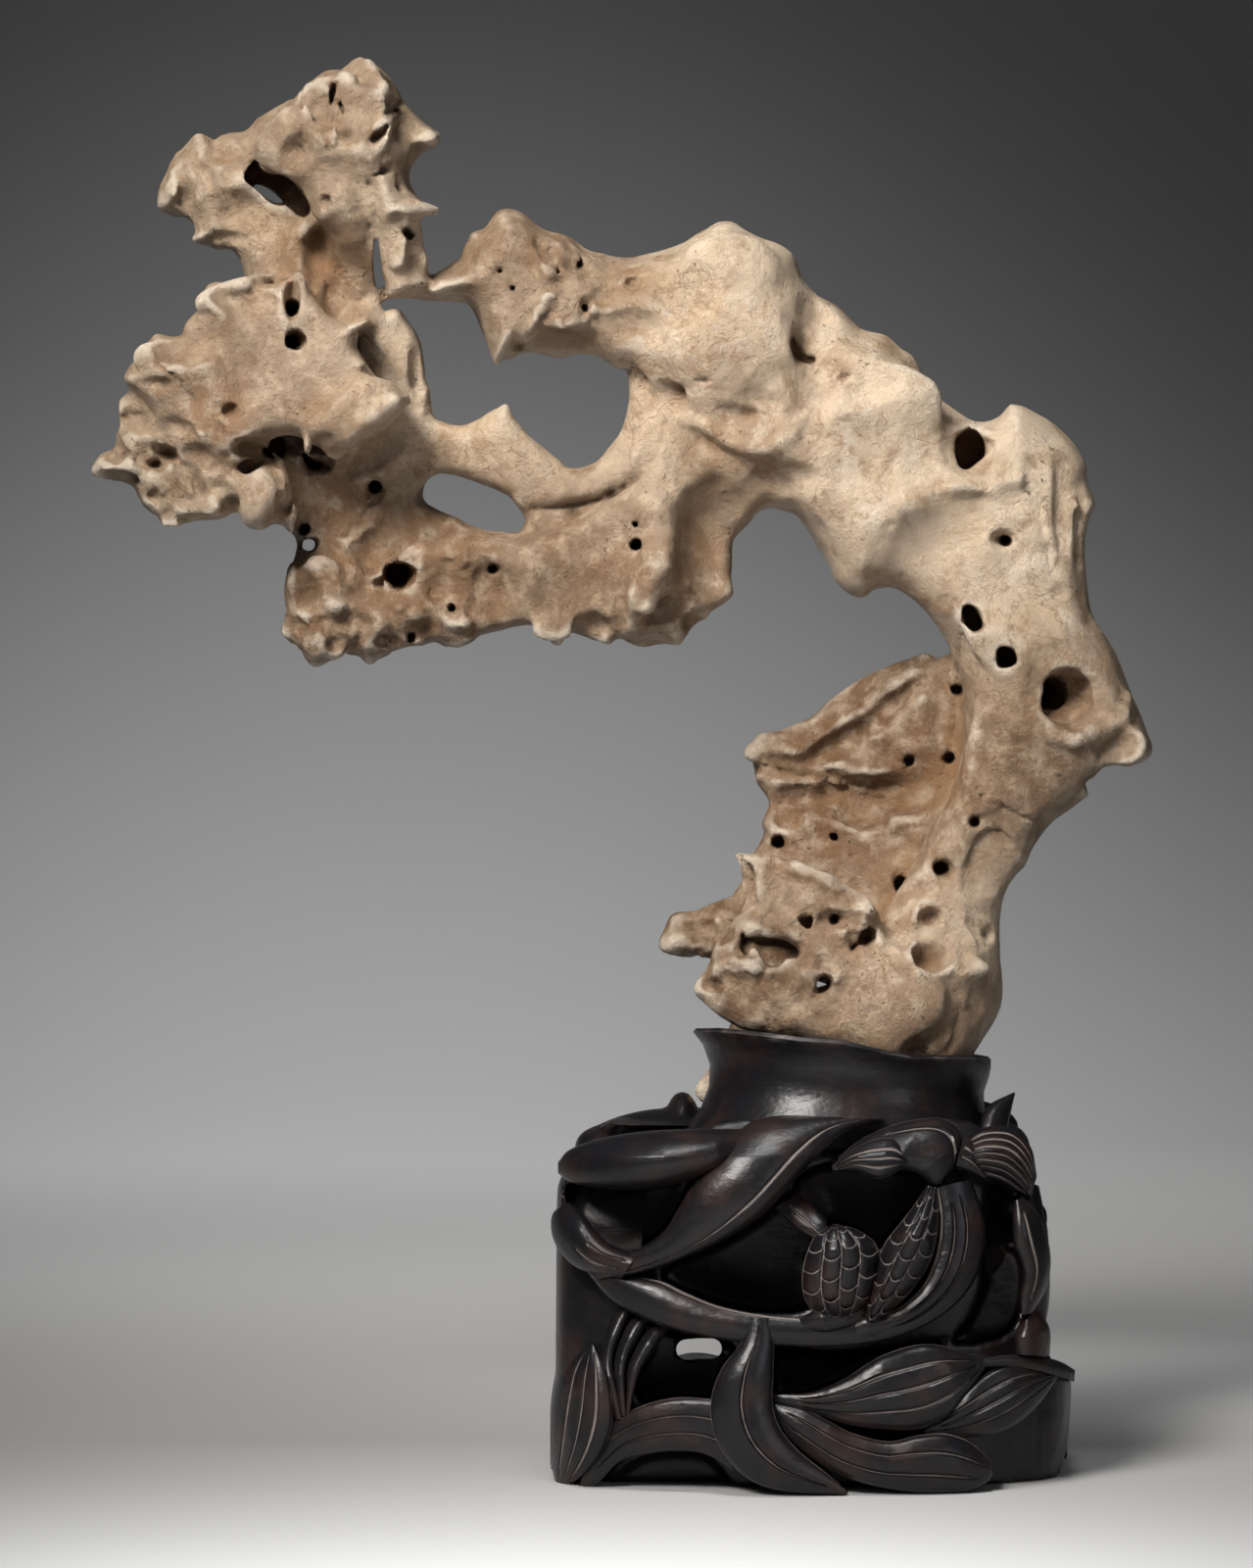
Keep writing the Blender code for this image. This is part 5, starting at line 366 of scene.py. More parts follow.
# Raised ribs of the front: fillet, points (column, row, radius, how far they stand out).
RIDGES = [
    (4, [(345, 462, 5, 2), (360, 440, 7, 5), (380, 422, 7, 7), (400, 410, 5, 6), (415, 408, 3, 4)]),
    (3, [(383, 196, 3, 1.5), (386, 230, 3, 2), (389, 262, 3, 2)]),
    (3, [(408, 214, 3, 1), (425, 212, 4, 3), (444, 215, 3, 2)]),
    (4, [(376, 68, 4, 1), (390, 90, 5, 1.8), (398, 112, 5, 2.2), (390, 130, 4, 2)]),
    (3, [(321, 224, 3, 1.5), (304, 243, 3, 2.5), (294, 264, 3, 2.5), (290, 284, 3, 1.5)]),
    (4, [(380, 250, 3, 2), (382, 280, 3, 2), (386, 300, 3, 2), (372, 318, 3, 2), (350, 322, 3, 2)]),
    (3, [
        (230, 294, 3, 1), (250, 289, 4, 2.5), (285, 284, 3, 2), (290, 300, 3, 2), (290, 328, 3, 2),
    ]),
    (3, [
        (695, 428, 3, 2), (716, 430, 4, 2.6), (738, 444, 5, 3.4), (762, 456, 5, 3.6),
        (786, 456, 5, 3.4), (806, 442, 5, 2.8), (820, 428, 4, 2),
    ]),
    (3, [(700, 402, 3, 1), (745, 406, 3, 1.2), (785, 418, 3, 1.2)]),
    (3, [(770, 768, 5, 3), (830, 744, 6, 4), (880, 704, 6, 4), (945, 676, 5, 3)]),
    (2, [(776, 792, 3, 2), (830, 788, 3, 1.5), (890, 806, 3, 1.5), (930, 812, 3, 1)]),
    (3, [
        (1060, 730, 4, 2), (1075, 748, 5, 3.5), (1097, 755, 5, 4), (1122, 748, 5, 4),
        (1146, 733, 4, 4), (1148, 712, 4, 2),
    ]),
    (3, [(762, 877, 4, 2), (790, 880, 4, 2.5), (840, 898, 5, 3), (880, 918, 4, 3)]),
    (3, [
        (536, 508, 5, 2.5), (570, 504, 6, 3.5), (610, 496, 6, 4), (643, 478, 6, 4),
        (660, 450, 5, 3), (664, 415, 4, 2),
    ]),
    (3, [(540, 250, 3, 1.5), (557, 276, 3, 2), (562, 300, 3, 2.5), (548, 326, 3, 2),
         (528, 352, 3, 1.5)]),
    (3, [(640, 632, 3, 2), (660, 606, 3.5, 2.5), (700, 597, 3, 2.5)]),
    (5, [(676, 550, 7, 3), (670, 578, 9, 6), (657, 612, 9, 7), (646, 640, 7, 4)]),
    (2, [(102, 480, 3, 2), (112, 475, 4, 3.5), (135, 476, 5, 3)]),
    (2, [(180, 470, 3, 2), (200, 482, 3, 2), (222, 486, 3, 2)]),
    (2, [(935, 940, 3, 2), (940, 924, 3, 2.5), (956, 921, 3, 2.5), (967, 932, 3, 2),
         (963, 948, 3, 1.5),
             (946, 951, 3, 1.5)]),
    (2, [(928, 978, 3, 2), (936, 961, 3, 2), (958, 957, 3, 2), (975, 968, 3, 2.5), (976, 986, 3, 2),
             (958, 996, 3, 2), (938, 993, 3, 2)]),
]
# Fine cracks and creases of the front: rim, radius, points (column, row).
CREASES = [
    (1.2, 1.3, [(545, 522), (575, 517), (605, 512), (632, 502), (656, 484), (673, 458),
                (680, 430)]),
    (0.6, 1.2, [(1003, 812), (1020, 822), (1040, 832), (1060, 838)]),
    (1.0, 1.8, [(396, 116), (407, 107), (421, 100)]),
    (0.5, 1.0, [(376, 188), (384, 205), (386, 240)]),
    (0.6, 0.6, [(1060, 520), (1070, 560), (1075, 590)]),
    (0.8, 0.8, [(903, 988), (897, 1015), (884, 1040)]),
    (0.6, 1.4, [(392, 500), (372, 520), (352, 548)]),
    (0.6, 1.2, [(366, 338), (380, 352), (396, 372), (412, 398)]),
    (0.6, 1.2, [(160, 372), (182, 388), (196, 410)]),
    (0.6, 1.1, [(780, 782), (820, 792), (870, 800), (915, 810)]),
    (0.6, 1.3, [(980, 648), (978, 700), (972, 752), (962, 800), (940, 852)]),
]
# Worn holes in the front: rim, points (column, depth under the face, row, radius).
BORES = [
    (1.5, [(298, -3, 314, 4.5), (296, 16, 318, 4)]),
    (1.5, [(303, -3, 347, 5.6), (300, 9, 349, 5), (298, 26, 352, 4)]),
    (0.6, [(234, -2, 419, 4.2), (234, 1.6, 419, 4.0)]),
    (1.5, [(418, -3, 238, 4.0), (417, 9, 240, 2.5)]),
    (1.0, [(312, -3, 540, 3.2), (312, 9, 540, 2.5)]),
    (1.0, [(316, -9, 557, 3.4), (315, 60, 557, 3.4)]),
    (1.5, [(382, -3, 497, 4), (384, 10, 495, 3)]),
    (1.5, [(411, -4, 589, 7.6), (409, 10, 588, 7.6), (405, 34, 586, 6.5)]),
    (1.0, [(385, -2, 596, 3), (395, 8, 594, 3)]),
    (1.0, [(503, -2, 581, 2.6), (503, 9, 581, 2)]),
    (1.0, [(461, -2, 620, 2.2), (462, 6, 621, 1.8)]),
    (1.0, [(421, -2, 650, 3), (421, 7, 650, 2)]),
    (1.0, [(650, -2, 556, 3.2), (650, 14, 556, 2.4)]),
    (1.0, [(649, -1, 535, 1.6), (649, 5, 535, 1.2)]),
    (1.0, [(531, -2, 355, 2.6), (532, 9, 355, 2)]),
    (1.5, [(592, -1, 271, 3.2), (590, 7, 268, 2.5)]),
    (1.5, [(598, -1, 314, 2.4), (597, 2, 314, 2.0)]),
    (1.0, [(570, -1, 277, 1.6), (571, 5, 279, 1.4)]),
    (1.0, [(524, -1, 294, 1.8), (524, 5, 294, 1.4)]),
    (1.0, [(510, -1, 276, 1.6), (512, 5, 278, 1.2)]),
    (2.0, [(994, -5, 452, 10), (990, 1, 458, 8)]),
    (1.5, [(994, -4, 632, 5), (992, 6, 632, 4)]),
    (1.5, [(1030, -4, 669, 4.6), (1026, 6, 670, 4)]),
    (1.5, [(1027, -2, 552, 3), (1026, 8, 550, 2.2)]),
    (1.5, [(1094, -12, 712, 17), (1090, -4, 711, 14)]),
    (1.0, [(1076, 2, 710, 9.5), (1068, 24, 708, 9), (1060, 46, 708, 7)]),
    (1.0, [(930, -2, 776, 3), (928, 8, 776, 2.4)]),
    (1.0, [(968, -2, 774, 3), (970, 8, 774, 2.2)]),
    (1.0, [(995, -2, 838, 3.2), (996, 8, 838, 2.4)]),
    (1.5, [(965, -3, 888, 4.6), (959, 12, 884, 4)]),
    (1.5, [(921, -3, 903, 4.2), (919, 10, 900, 3.4)]),
    (1.0, [(852, -2, 853, 2.4), (852, 6, 853, 2)]),
    (1.0, [(795, -2, 859, 2.8), (797, 8, 859, 2)]),
    (1.0, [(980, -2, 706, 3), (976, 8, 704, 2.2)]),
    (1.0, [(842, -3, 1004, 4.4), (840, 8, 1004, 3.6), (838, 40, 1004, 3.2)]),
    (1.0, [(851, -1, 937, 2.4), (852, 8, 938, 2)]),
    (1.5, [(886, -2, 957, 4.4), (882, 12, 954, 4)]),
]
# Worn holes at the back.
BACK_BORES = [
    (1.5, [(1050, -3, 560, 7), (1048, 20, 556, 5)]),
    (1.5, [(700, -3, 420, 6), (704, 18, 424, 4.5)]),
    (1.5, [(930, -3, 620, 5), (926, 16, 622, 4)]),
    (1.5, [(500, -3, 600, 5.5), (498, 18, 604, 4)]),
    (1.5, [(260, -3, 330, 5), (262, 16, 334, 4)]),
    (1.5, [(930, -3, 850, 7), (936, 24, 850, 5)]),
    (1.0, [(820, -3, 300, 4), (818, 14, 302, 3)]),
    (1.0, [(340, -3, 100, 4), (342, 12, 104, 3)]),
    (1.5, [(1010, -3, 950, 6), (1004, 20, 950, 4.5)]),
    (1.0, [(610, -3, 270, 4), (612, 14, 272, 3)]),
]
# Ragged holes in the front: outline on the sheet, depth under the face.
WELLS = [
    ([(339, 88), (344, 86), (343, 94), (341, 103), (338, 107), (336, 98)], 7),
    ([(346, 103), (349, 103), (352, 115), (350, 117)], 4),
    ([(326, 124), (331, 124), (336, 138), (339, 151), (336, 154), (330, 142)], 2.5),
    ([(380, 145), (380, 138), (386, 132), (397, 126), (395, 134), (388, 143)], 7),
    ([(402, 116), (402, 112), (412, 109), (421, 104), (422, 107), (411, 113)], 5),
    ([(330, 200), (336, 200), (338, 207), (333, 213), (329, 208)], 3),
    ([(271, 449), (279, 444), (289, 447), (294, 458), (291, 466), (283, 470), (272, 467),
      (268, 458)], 20),
    ([(247, 470), (256, 467), (264, 469), (270, 472), (262, 479), (254, 484), (247, 482),
      (242, 476)], 15),
    ([(308, 461), (316, 468), (326, 472), (332, 473), (327, 481), (317, 480), (311, 471)], 16),
    ([(290, 516), (294, 512), (298, 508), (301, 510), (299, 519), (295, 526), (291, 525)], 6),
    ([(816, 935), (824, 934), (831, 936), (828, 943), (826, 949), (820, 945), (816, 940)], 9),
    ([(893, 950), (889, 956), (881, 962), (870, 969), (876, 958), (885, 952)], 9),
    ([(1107, 797), (1109, 791), (1117, 789), (1124, 784), (1133, 781), (1146, 781), (1156, 788),
      (1146, 802), (1132, 818), (1118, 820), (1110, 808)], 40),
    ([(807, 348), (811, 343), (815, 354), (824, 363), (834, 365), (831, 370), (818, 369),
      (809, 360)], 2.2),
    ([(976, 447), (983, 440), (991, 437), (1001, 443), (1007, 455), (1006, 466), (999, 473),
      (990, 478), (982, 478), (976, 470), (974, 458)], 26),
    ([(984, 620), (992, 618), (999, 624), (1004, 634), (1004, 641), (996, 646), (989, 642),
      (984, 632)], 24),
    ([(1017, 664), (1022, 659), (1031, 660), (1037, 667), (1038, 676), (1030, 681), (1021, 680),
      (1017, 672)], 22),
]
# The same cut between two depths.
SHAFTS = [
    ([(249, 181), (255, 170), (262, 163), (268, 172), (277, 177), (291, 179), (303, 187),
      (312, 200), (318, 214), (313, 222), (302, 219), (291, 209), (270, 197), (257, 190)], -70, 22),
    ([(256, 188), (270, 189), (280, 195), (288, 203), (290, 208), (280, 208), (267, 199)], -70, 70),
    ([(757, 949), (762, 956), (780, 955), (796, 957), (806, 960), (815, 967), (817, 975),
      (812, 979), (804, 979), (798, 986), (791, 988), (783, 984), (776, 976), (770, 968),
      (762, 975), (757, 968)], -90, 20),
]
# Narrow slots right through: column, row, half width, half height in mm.
SLOTS = [(385, 264, 1.7, 12), (387, 280, 2.0, 8)]
# Webs that close thin places: fillet, points (column, depth, row, radius).
FILLS = [
    (4, [(330, 14, 312, 8), (352, 14, 318, 8), (378, 12, 314, 7)]),
    (4, [(336, 12, 331, 9), (358, 12, 335, 9), (378, 10, 331, 8)]),
    (6, [(256, 14, 446, 12), (284, 14, 458, 13), (318, 12, 478, 10)]),
    (8, [(350, -32, 205, 11), (360, -24, 235, 12), (366, -13, 264, 10), (364, -5, 290, 8)]),
    (5, [(318, -18, 312, 7), (345, -16, 326, 8), (368, -14, 330, 8), (384, -12, 322, 6)]),
    (9, [(905, -38, 1000, 17), (898, -36, 1048, 17)]), (9,
                                                        [(950, -25, 1000, 17),
                                                         (950, -25, 1055, 17)]),
    (3, [(752, -44, 871, 4), (790, -46, 879, 5), (836, -48, 901, 6), (880, -48, 925, 5.5)]),
]
# Spur that hangs over the back of the collar: fillet, points (column, depth, row, radius).
SPURS = [
    (5, [(800, 28, 1030, 13), (768, 62, 1048, 11), (750, 78, 1080, 8), (736, 82, 1100, 7.5),
         (723, 82, 1113, 6.5)]),
]
# Craggy areas: column, row, reach.
ROUGH_AREAS = [
    (165, 480, 90), (350, 610, 110), (800, 950, 120), (190, 190, 60), (330, 510, 80),
    (850, 845, 70), (640, 650, 50), (580, 300, 60), (340, 110, 60),
    (930, 885, 50), (450, 620, 80),
]
# How the stone wanders in depth: column, row, shift in mm, thickening.
SWAY = [
    (830, 1090, 0, 1.0), (900, 1010, 0, 1.0), (760, 1000, 0, 1.0), (1000, 900, 3, 1.06),
    (1080, 760, 9, 1.12), (1090, 500, 14, 1.2), (850, 400, 5, 1.4), (640, 330, -9, 1.25),
    (340, 130, -24, 1.2), (220, 200, -10, 1.1), (230, 400, -14, 1.15), (140, 480, -4, 1.1),
    (350, 600, 8, 1.25), (640, 580, 0, 1.35), (820, 790, 14, 1.2),
]
SWAY_REACH = 62.0

# Leaves of the front: both edges on the sheet, stand-off along them, crown, back, veins, and how
# pale the edges are, rubbed wood together with painted highlight.
LEAVES = {
    "ribbon": dict(
        one=[(812, 1138), (790, 1139), (765, 1146), (745, 1164), (728, 1186), (708, 1206),
             (694, 1231), (680, 1254), (660, 1270), (632, 1282), (600, 1291)],
        two=[(903, 1142), (866, 1155), (833, 1182), (806, 1211), (779, 1239), (744, 1263),
             (702, 1282), (656, 1298), (612, 1306)],
        out=(0, 8, 12, 10, 8, 4), crown=7, thick=30, veins=((0.52, 0.04, 0.97),),
        edge=(0.5, 0.5), rows=100, cols=34, full=0.7, groove=1.2),
    "loop": dict(
        one=[(574, 1229), (564, 1240), (564, 1260), (574, 1280), (594, 1296), (634, 1306)],
        two=[(582, 1227), (598, 1241), (610, 1257), (627, 1271), (651, 1278)],
        out=(0, 4, 5, 4), crown=8, thick=28, veins=((-0.3, 0.45, 0.95), (0.3, 0.5, 0.95)),
        edge=(0.2, 0.7)),
    "boat": dict(
        one=[(598, 1296), (622, 1324), (652, 1343), (692, 1358), (742, 1368), (800, 1374),
             (860, 1374), (910, 1366), (952, 1349), (985, 1322), (1003, 1288), (1006, 1248),
             (992, 1203)],
        two=[(640, 1302), (674, 1307), (702, 1320), (732, 1332), (766, 1340), (806, 1345),
             (850, 1346), (888, 1345), (918, 1334), (942, 1312), (956, 1280), (960, 1245),
             (956, 1212)],
        out=(0, 3, 5, 6, 6, 5, 4), crown=3, thick=30, edge=(0.1, 1.0), rows=120, groove=2.2,
        rim=0.14, veins=((-0.2, 0.62, 0.98), (0.35, 0.62, 0.98))),
    "cob_r": dict(
        one=[(947, 1210), (926, 1240), (903, 1270), (893, 1300), (884, 1330), (882, 1352)],
        two=[(957, 1212), (959, 1245), (951, 1285), (930, 1318), (905, 1342), (886, 1358)],
        out=(2, 8, 8, 4), crown=8, thick=34, rows=150, cols=60, scales=(3, 7, 2.6),
        edge=(0.9, 0.5)),
    "cob_l": dict(
        one=[(852, 1249), (832, 1262), (821, 1290), (820, 1318), (830, 1338), (850, 1350)],
        two=[(856, 1249), (878, 1256), (896, 1272), (897, 1300), (888, 1328), (868, 1349)],
        out=(3, 9, 9, 4), crown=9, thick=36, rows=120, cols=70, scales=(4, 6, 2.4),
        edge=(0.8, 0.8)),
    "sepal_l": dict(
        one=[(816, 1346), (835, 1336), (858, 1332), (884, 1330)],
        two=[(820, 1360), (842, 1360), (862, 1356), (890, 1346)],
        out=(5, 9, 8, 4), crown=3, thick=28, edge=(0.8, 0.9)),
    "sepal_r": dict(
        one=[(858, 1352), (880, 1342), (905, 1342), (930, 1326)],
        two=[(866, 1376), (890, 1368), (915, 1358), (940, 1340)],
        out=(3, 6, 6, 4), crown=3, thick=28, edge=(0.6, 0.6)),
    "small_leaf": dict(
        one=[(816, 1219), (828, 1230), (843, 1246), (846, 1262)],
        two=[(791, 1232), (804, 1246), (820, 1258), (836, 1266)],
        out=(-6, -4, 0, 3), crown=2, thick=24, veins=((0.1, 0.1, 0.9),), edge=(0.7, 0.8)),
    "curl": dict(
        one=[(856, 1181), (876, 1165), (903, 1151), (932, 1143), (960, 1141), (977, 1149),
             (983, 1166), (978, 1186), (966, 1202)],
        two=[(860, 1194), (890, 1196), (915, 1194), (932, 1196), (943, 1202), (950, 1208),
             (956, 1210), (961, 1209)],
        out=(2, 6, 9, 9, 5), crown=5, thick=28, edge=(0.7, 0.3), veins=((-0.6, 0.3, 0.9),)),
    "feather": dict(
        one=[(849, 1190), (868, 1175), (893, 1163), (915, 1163), (929, 1181)],
        two=[(852, 1195), (873, 1194), (893, 1202), (908, 1200), (924, 1190)],
        out=(9, 14, 15, 12), crown=3, thick=26, edge=(0.8, 0.8), veins=(-0.45, 0.0, 0.45),
        groove=1.6),
    "cap": dict(
        one=[(985, 1162), (1008, 1150), (1035, 1151), (1053, 1171), (1059, 1200)],
        two=[(990, 1198), (1008, 1204), (1024, 1210), (1038, 1218), (1052, 1224)],
        out=(0, 0, -2, -6), crown=13, thick=42, veins=(-0.75, -0.5, -0.25, 0, 0.25, 0.5, 0.75),
        groove=1.8, cols=40, edge=(0.3, 0.3)),
    "cap_front": dict(
        one=[(984, 1160), (992, 1164), (1001, 1176), (1008, 1200)],
        two=[(976, 1192), (984, 1194), (995, 1198), (1006, 1203)],
        out=(8, 8, 7, 5), crown=3, thick=28, veins=(-0.4, 0.2), edge=(0.6, 0.6)),
    "tip": dict(
        one=[(1000, 1158), (1003, 1138), (1012, 1126), (1034, 1115)],
        two=[(1028, 1158), (1031, 1142), (1034, 1128), (1037, 1115)],
        out=(-30, -30, -30), crown=4, thick=26, edge=(0.3, 0.3)),
    "crescent": dict(
        one=[(1036, 1226), (1034, 1248), (1036, 1272), (1045, 1298), (1042, 1322), (1043, 1342)],
        two=[(1044, 1221), (1060, 1238), (1070, 1264), (1073, 1290), (1068, 1316), (1054, 1340)],
        out=(8, 10, 10, 8), crown=5, thick=34, veins=((0.0, 0.1, 0.9),), edge=(0.3, 0.6)),
    "lump": dict(
        one=[(1042, 1352), (1036, 1366), (1038, 1382)],
        two=[(1060, 1335), (1072, 1356), (1072, 1384)],
        out=(2, 4, 4), crown=7, thick=38, edge=(0.2, 0.3)),
    "pod": dict(
        one=[(570, 1186), (582, 1173), (612, 1162), (652, 1155), (700, 1152), (756, 1152),
             (792, 1150)],
        two=[(570, 1197), (584, 1207), (616, 1213), (655, 1214), (700, 1206), (748, 1190),
             (786, 1176)],
        out=(2, 8, 10, 7, -8), crown=15, thick=38, cols=36, edge=(0.1, 0.1), full=0.6),
    "pod_leaf": dict(
        one=[(655, 1200), (680, 1190), (705, 1183), (728, 1176)],
        two=[(655, 1207), (682, 1206), (702, 1198), (728, 1184)],
        out=(14, 19, 19, 14), crown=1.5, thick=26, edge=(0.8, 0.6)),
    "up_right": dict(
        one=[(790, 1422), (828, 1421), (862, 1407), (895, 1386),
             (928, 1374), (955, 1372), (984, 1380), (1011, 1386)],
        two=[(790, 1433), (828, 1442), (868, 1454), (910, 1459),
             (942, 1458), (967, 1447), (988, 1424), (1012, 1389)],
        out=(0, 5, 7, 5, 2), crown=4, thick=32,
        veins=((-0.5, 0.1, 0.95), (0.0, 0.1, 0.95), (0.5, 0.1, 0.95)), edge=(0.7, 0.4), rows=80),
    "far_right": dict(
        one=[(944, 1459), (976, 1428), (1008, 1401), (1040, 1391), (1080, 1401)],
        two=[(946, 1464), (990, 1467), (1030, 1458), (1060, 1434), (1081, 1404)],
        out=(0, 3, 4, 2), crown=3, thick=32,
        veins=((-0.45, 0.1, 0.95), (0.0, 0.1, 0.95), (0.45, 0.1, 0.95)), edge=(0.6, 0.6)),
    "band_r": dict(
        one=[(1000, 1386), (1030, 1383), (1060, 1384), (1082, 1389), (1098, 1398)],
        two=[(1004, 1396), (1034, 1396), (1062, 1400), (1084, 1406), (1097, 1410)],
        out=(2, 4, 6, 8), crown=2, thick=42, edge=(0.8, 0.4)),
    "low_right": dict(
        one=[(792, 1432), (820, 1437), (846, 1450), (872, 1463), (908, 1471),
             (936, 1465), (965, 1463), (991, 1472), (1010, 1490), (1013, 1500)],
        two=[(790, 1447), (806, 1468), (830, 1488), (852, 1502), (884, 1514),
             (925, 1522), (962, 1524), (992, 1522), (1009, 1512), (1014, 1503)],
        out=(2, 7, 8, 8, 6), crown=4, thick=32,
        veins=((-0.35, 0.05, 0.97), (0.4, 0.08, 0.93)), edge=(0.9, 0.5), rows=90),
    "middle": dict(
        one=[(766, 1345), (757, 1370), (738, 1395), (728, 1420), (726, 1446),
             (735, 1476), (753, 1500), (778, 1516), (812, 1523), (862, 1525)],
        two=[(786, 1345), (790, 1370), (790, 1400), (789, 1430), (796, 1456),
             (815, 1480), (840, 1500), (856, 1513), (864, 1522)],
        out=(6, 10, 12, 12, 10), crown=4, thick=32, veins=((0.0, 0.02, 0.93),), edge=(0.8, 0.9),
        rows=90),
    "oval": dict(
        one=[(568, 1516), (563, 1488), (564, 1440), (574, 1402), (588, 1382), (604, 1372)],
        two=[(577, 1517), (598, 1504), (617, 1478), (626, 1445), (620, 1400), (606, 1372)],
        out=(2, 6, 7, 4), crown=4, thick=32,
        veins=((-0.5, 0.06, 0.94), (-0.05, 0.06, 0.94), (0.42, 0.06, 0.94)), edge=(0.5, 0.8),
        rows=72),
    "arch": dict(
        one=[(606, 1472), (625, 1450), (648, 1438), (670, 1430), (697, 1426), (727, 1428),
             (748, 1430)],
        two=[(590, 1524), (612, 1512), (632, 1492), (655, 1484), (690, 1480), (722, 1484),
             (748, 1500)],
        out=(0, 2, 3, 3, 4), crown=2, thick=34,
        veins=((-0.3, 0.1, 0.97), (0.35, 0.1, 0.97)), edge=(0.8, 0.4), rows=64),
    "strand_1": dict(
        one=[(640, 1322), (622, 1350), (612, 1385), (619, 1420), (628, 1448)],
        two=[(654, 1326), (637, 1354), (626, 1388), (631, 1420), (636, 1448)],
        out=(-16, -5, 2, 2), crown=3, thick=30, edge=(0.5, 0.6)),
    "strand_2": dict(
        one=[(660, 1326), (640, 1354), (628, 1388), (630, 1420), (634, 1445)],
        two=[(676, 1334), (655, 1360), (640, 1392), (639, 1420), (640, 1445)],
        out=(-16, -4, 3, 2), crown=3, thick=30, edge=(0.7, 0.6)),
    "strand_3": dict(
        one=[(682, 1336), (659, 1361), (642, 1393), (640, 1420), (638, 1445)],
        two=[(694, 1346), (674, 1370), (655, 1398), (647, 1422), (644, 1442)],
        out=(-16, -3, 3, 1), crown=3, thick=30, edge=(0.7, 0.7)),
}

# The same leaves at the sides and the back: name, turn in degrees, mirrored, lift, reach.
ROUND_THE_BLOCK = [
    ("ribbon", 180, False, 0, 124), ("loop", 180, False, 0, 117), ("boat", 180, False, 0, 124),
    ("cob_r", 180, False, 0, 128), ("cob_l", 180, False, 0, 128), ("curl", 180, False, 0, 128),
    ("cap", 180, False, 0, 124), ("pod", 180, False, 0, 112), ("up_right", 180, False, -16, 128),
    ("far_right", 180, False, -6, 124), ("low_right", 180, False, 0, 128),
    ("middle", 180, False, 0, 128), ("oval", 180, False, 0, 127), ("arch", 180, False, 0, 128),
    ("crescent", 180, False, 0, 120), ("small_leaf", 180, False, 0, 128),
    ("middle", 88, True, -8, 108), ("up_right", 98, False, -12, 110),
    ("low_right", 96, False, 0, 112), ("curl", 94, False, -6, 104), ("boat", 106, True, 0, 104),
    ("middle", -80, False, 0, 112), ("up_right", -98, True, -14, 113),
    ("low_right", -96, True, 0, 112), ("ribbon", -98, False, -2, 112),
    ("boat", -104, False, 2, 110),
]
# Rings of the collar from the outside foot, over the rim, to the socket's floor:
# left column and row, right column and row, half depth, how much of the wave, and how pale the ring
# is, rubbed wood together with painted highlight on the rim.
COLLAR_RINGS = [
    (688, 1172, 1016, 1172, 82, 0, 0), (698, 1152, 1012, 1152, 78, 0, 0),
    (716, 1130, 1005, 1132, 73, 0, 0), (724, 1108, 1005, 1114, 70.5, 0, 0),
    (725, 1086, 1010, 1099, 71, 0.3, 0), (718, 1066, 1012, 1090, 74, 0.7, 0.1),
    (708, 1053, 1012, 1081, 78, 1, 0.5), (711, 1049, 1009, 1078, 77, 1, 0.3),
    (720, 1050, 1004, 1079, 73, 1, 0.1), (728, 1062, 1000, 1089, 69.5, 0.8, 0),
    (733, 1082, 997, 1106, 67.5, 0.3, 0), (738, 1101, 992, 1120, 65.5, 0, 0),
]
COLLAR_WAVE = [(-1, 0), (-0.85, 2.0), (-0.6, 1.5), (-0.3, 0.5), (0, 1.0), (0.25, -1.5), (0.5, -3.5),
               (0.7, -2.0), (1, 0)]
# Core of the stand on the sheet.
BLOCK_OUTLINE = [
    (720, 1150), (690, 1156), (640, 1166), (604, 1180), (580, 1192), (570, 1206), (567, 1225),
    (566, 1300), (565, 1400), (565, 1540), (1000, 1540), (1083, 1540), (1083, 1500), (1090, 1482),
    (1096, 1440), (1097, 1406), (1084, 1397), (1062, 1386), (1062, 1368), (1058, 1350),
    (1050, 1334), (1056, 1310), (1056, 1285), (1050, 1250), (1038, 1224), (1042, 1208),
    (1040, 1190), (1030, 1174), (1014, 1162), (1000, 1150), (960, 1140), (760, 1140),
]
# Mounds behind the collar: column, depth, row, radii, turn.
MOUNDS = [
    (697, 40, 1142, (8.5, 26, 14), 0), (655, 34, 1160, (34, 34, 13), -12),
    (612, 22, 1170, (12, 26, 10), 0), (1020, 30, 1172, (16, 30, 14), 0),
    (960, 62, 1150, (40, 22, 16), 0), (820, 66, 1164, (44, 18, 12), 0),
]
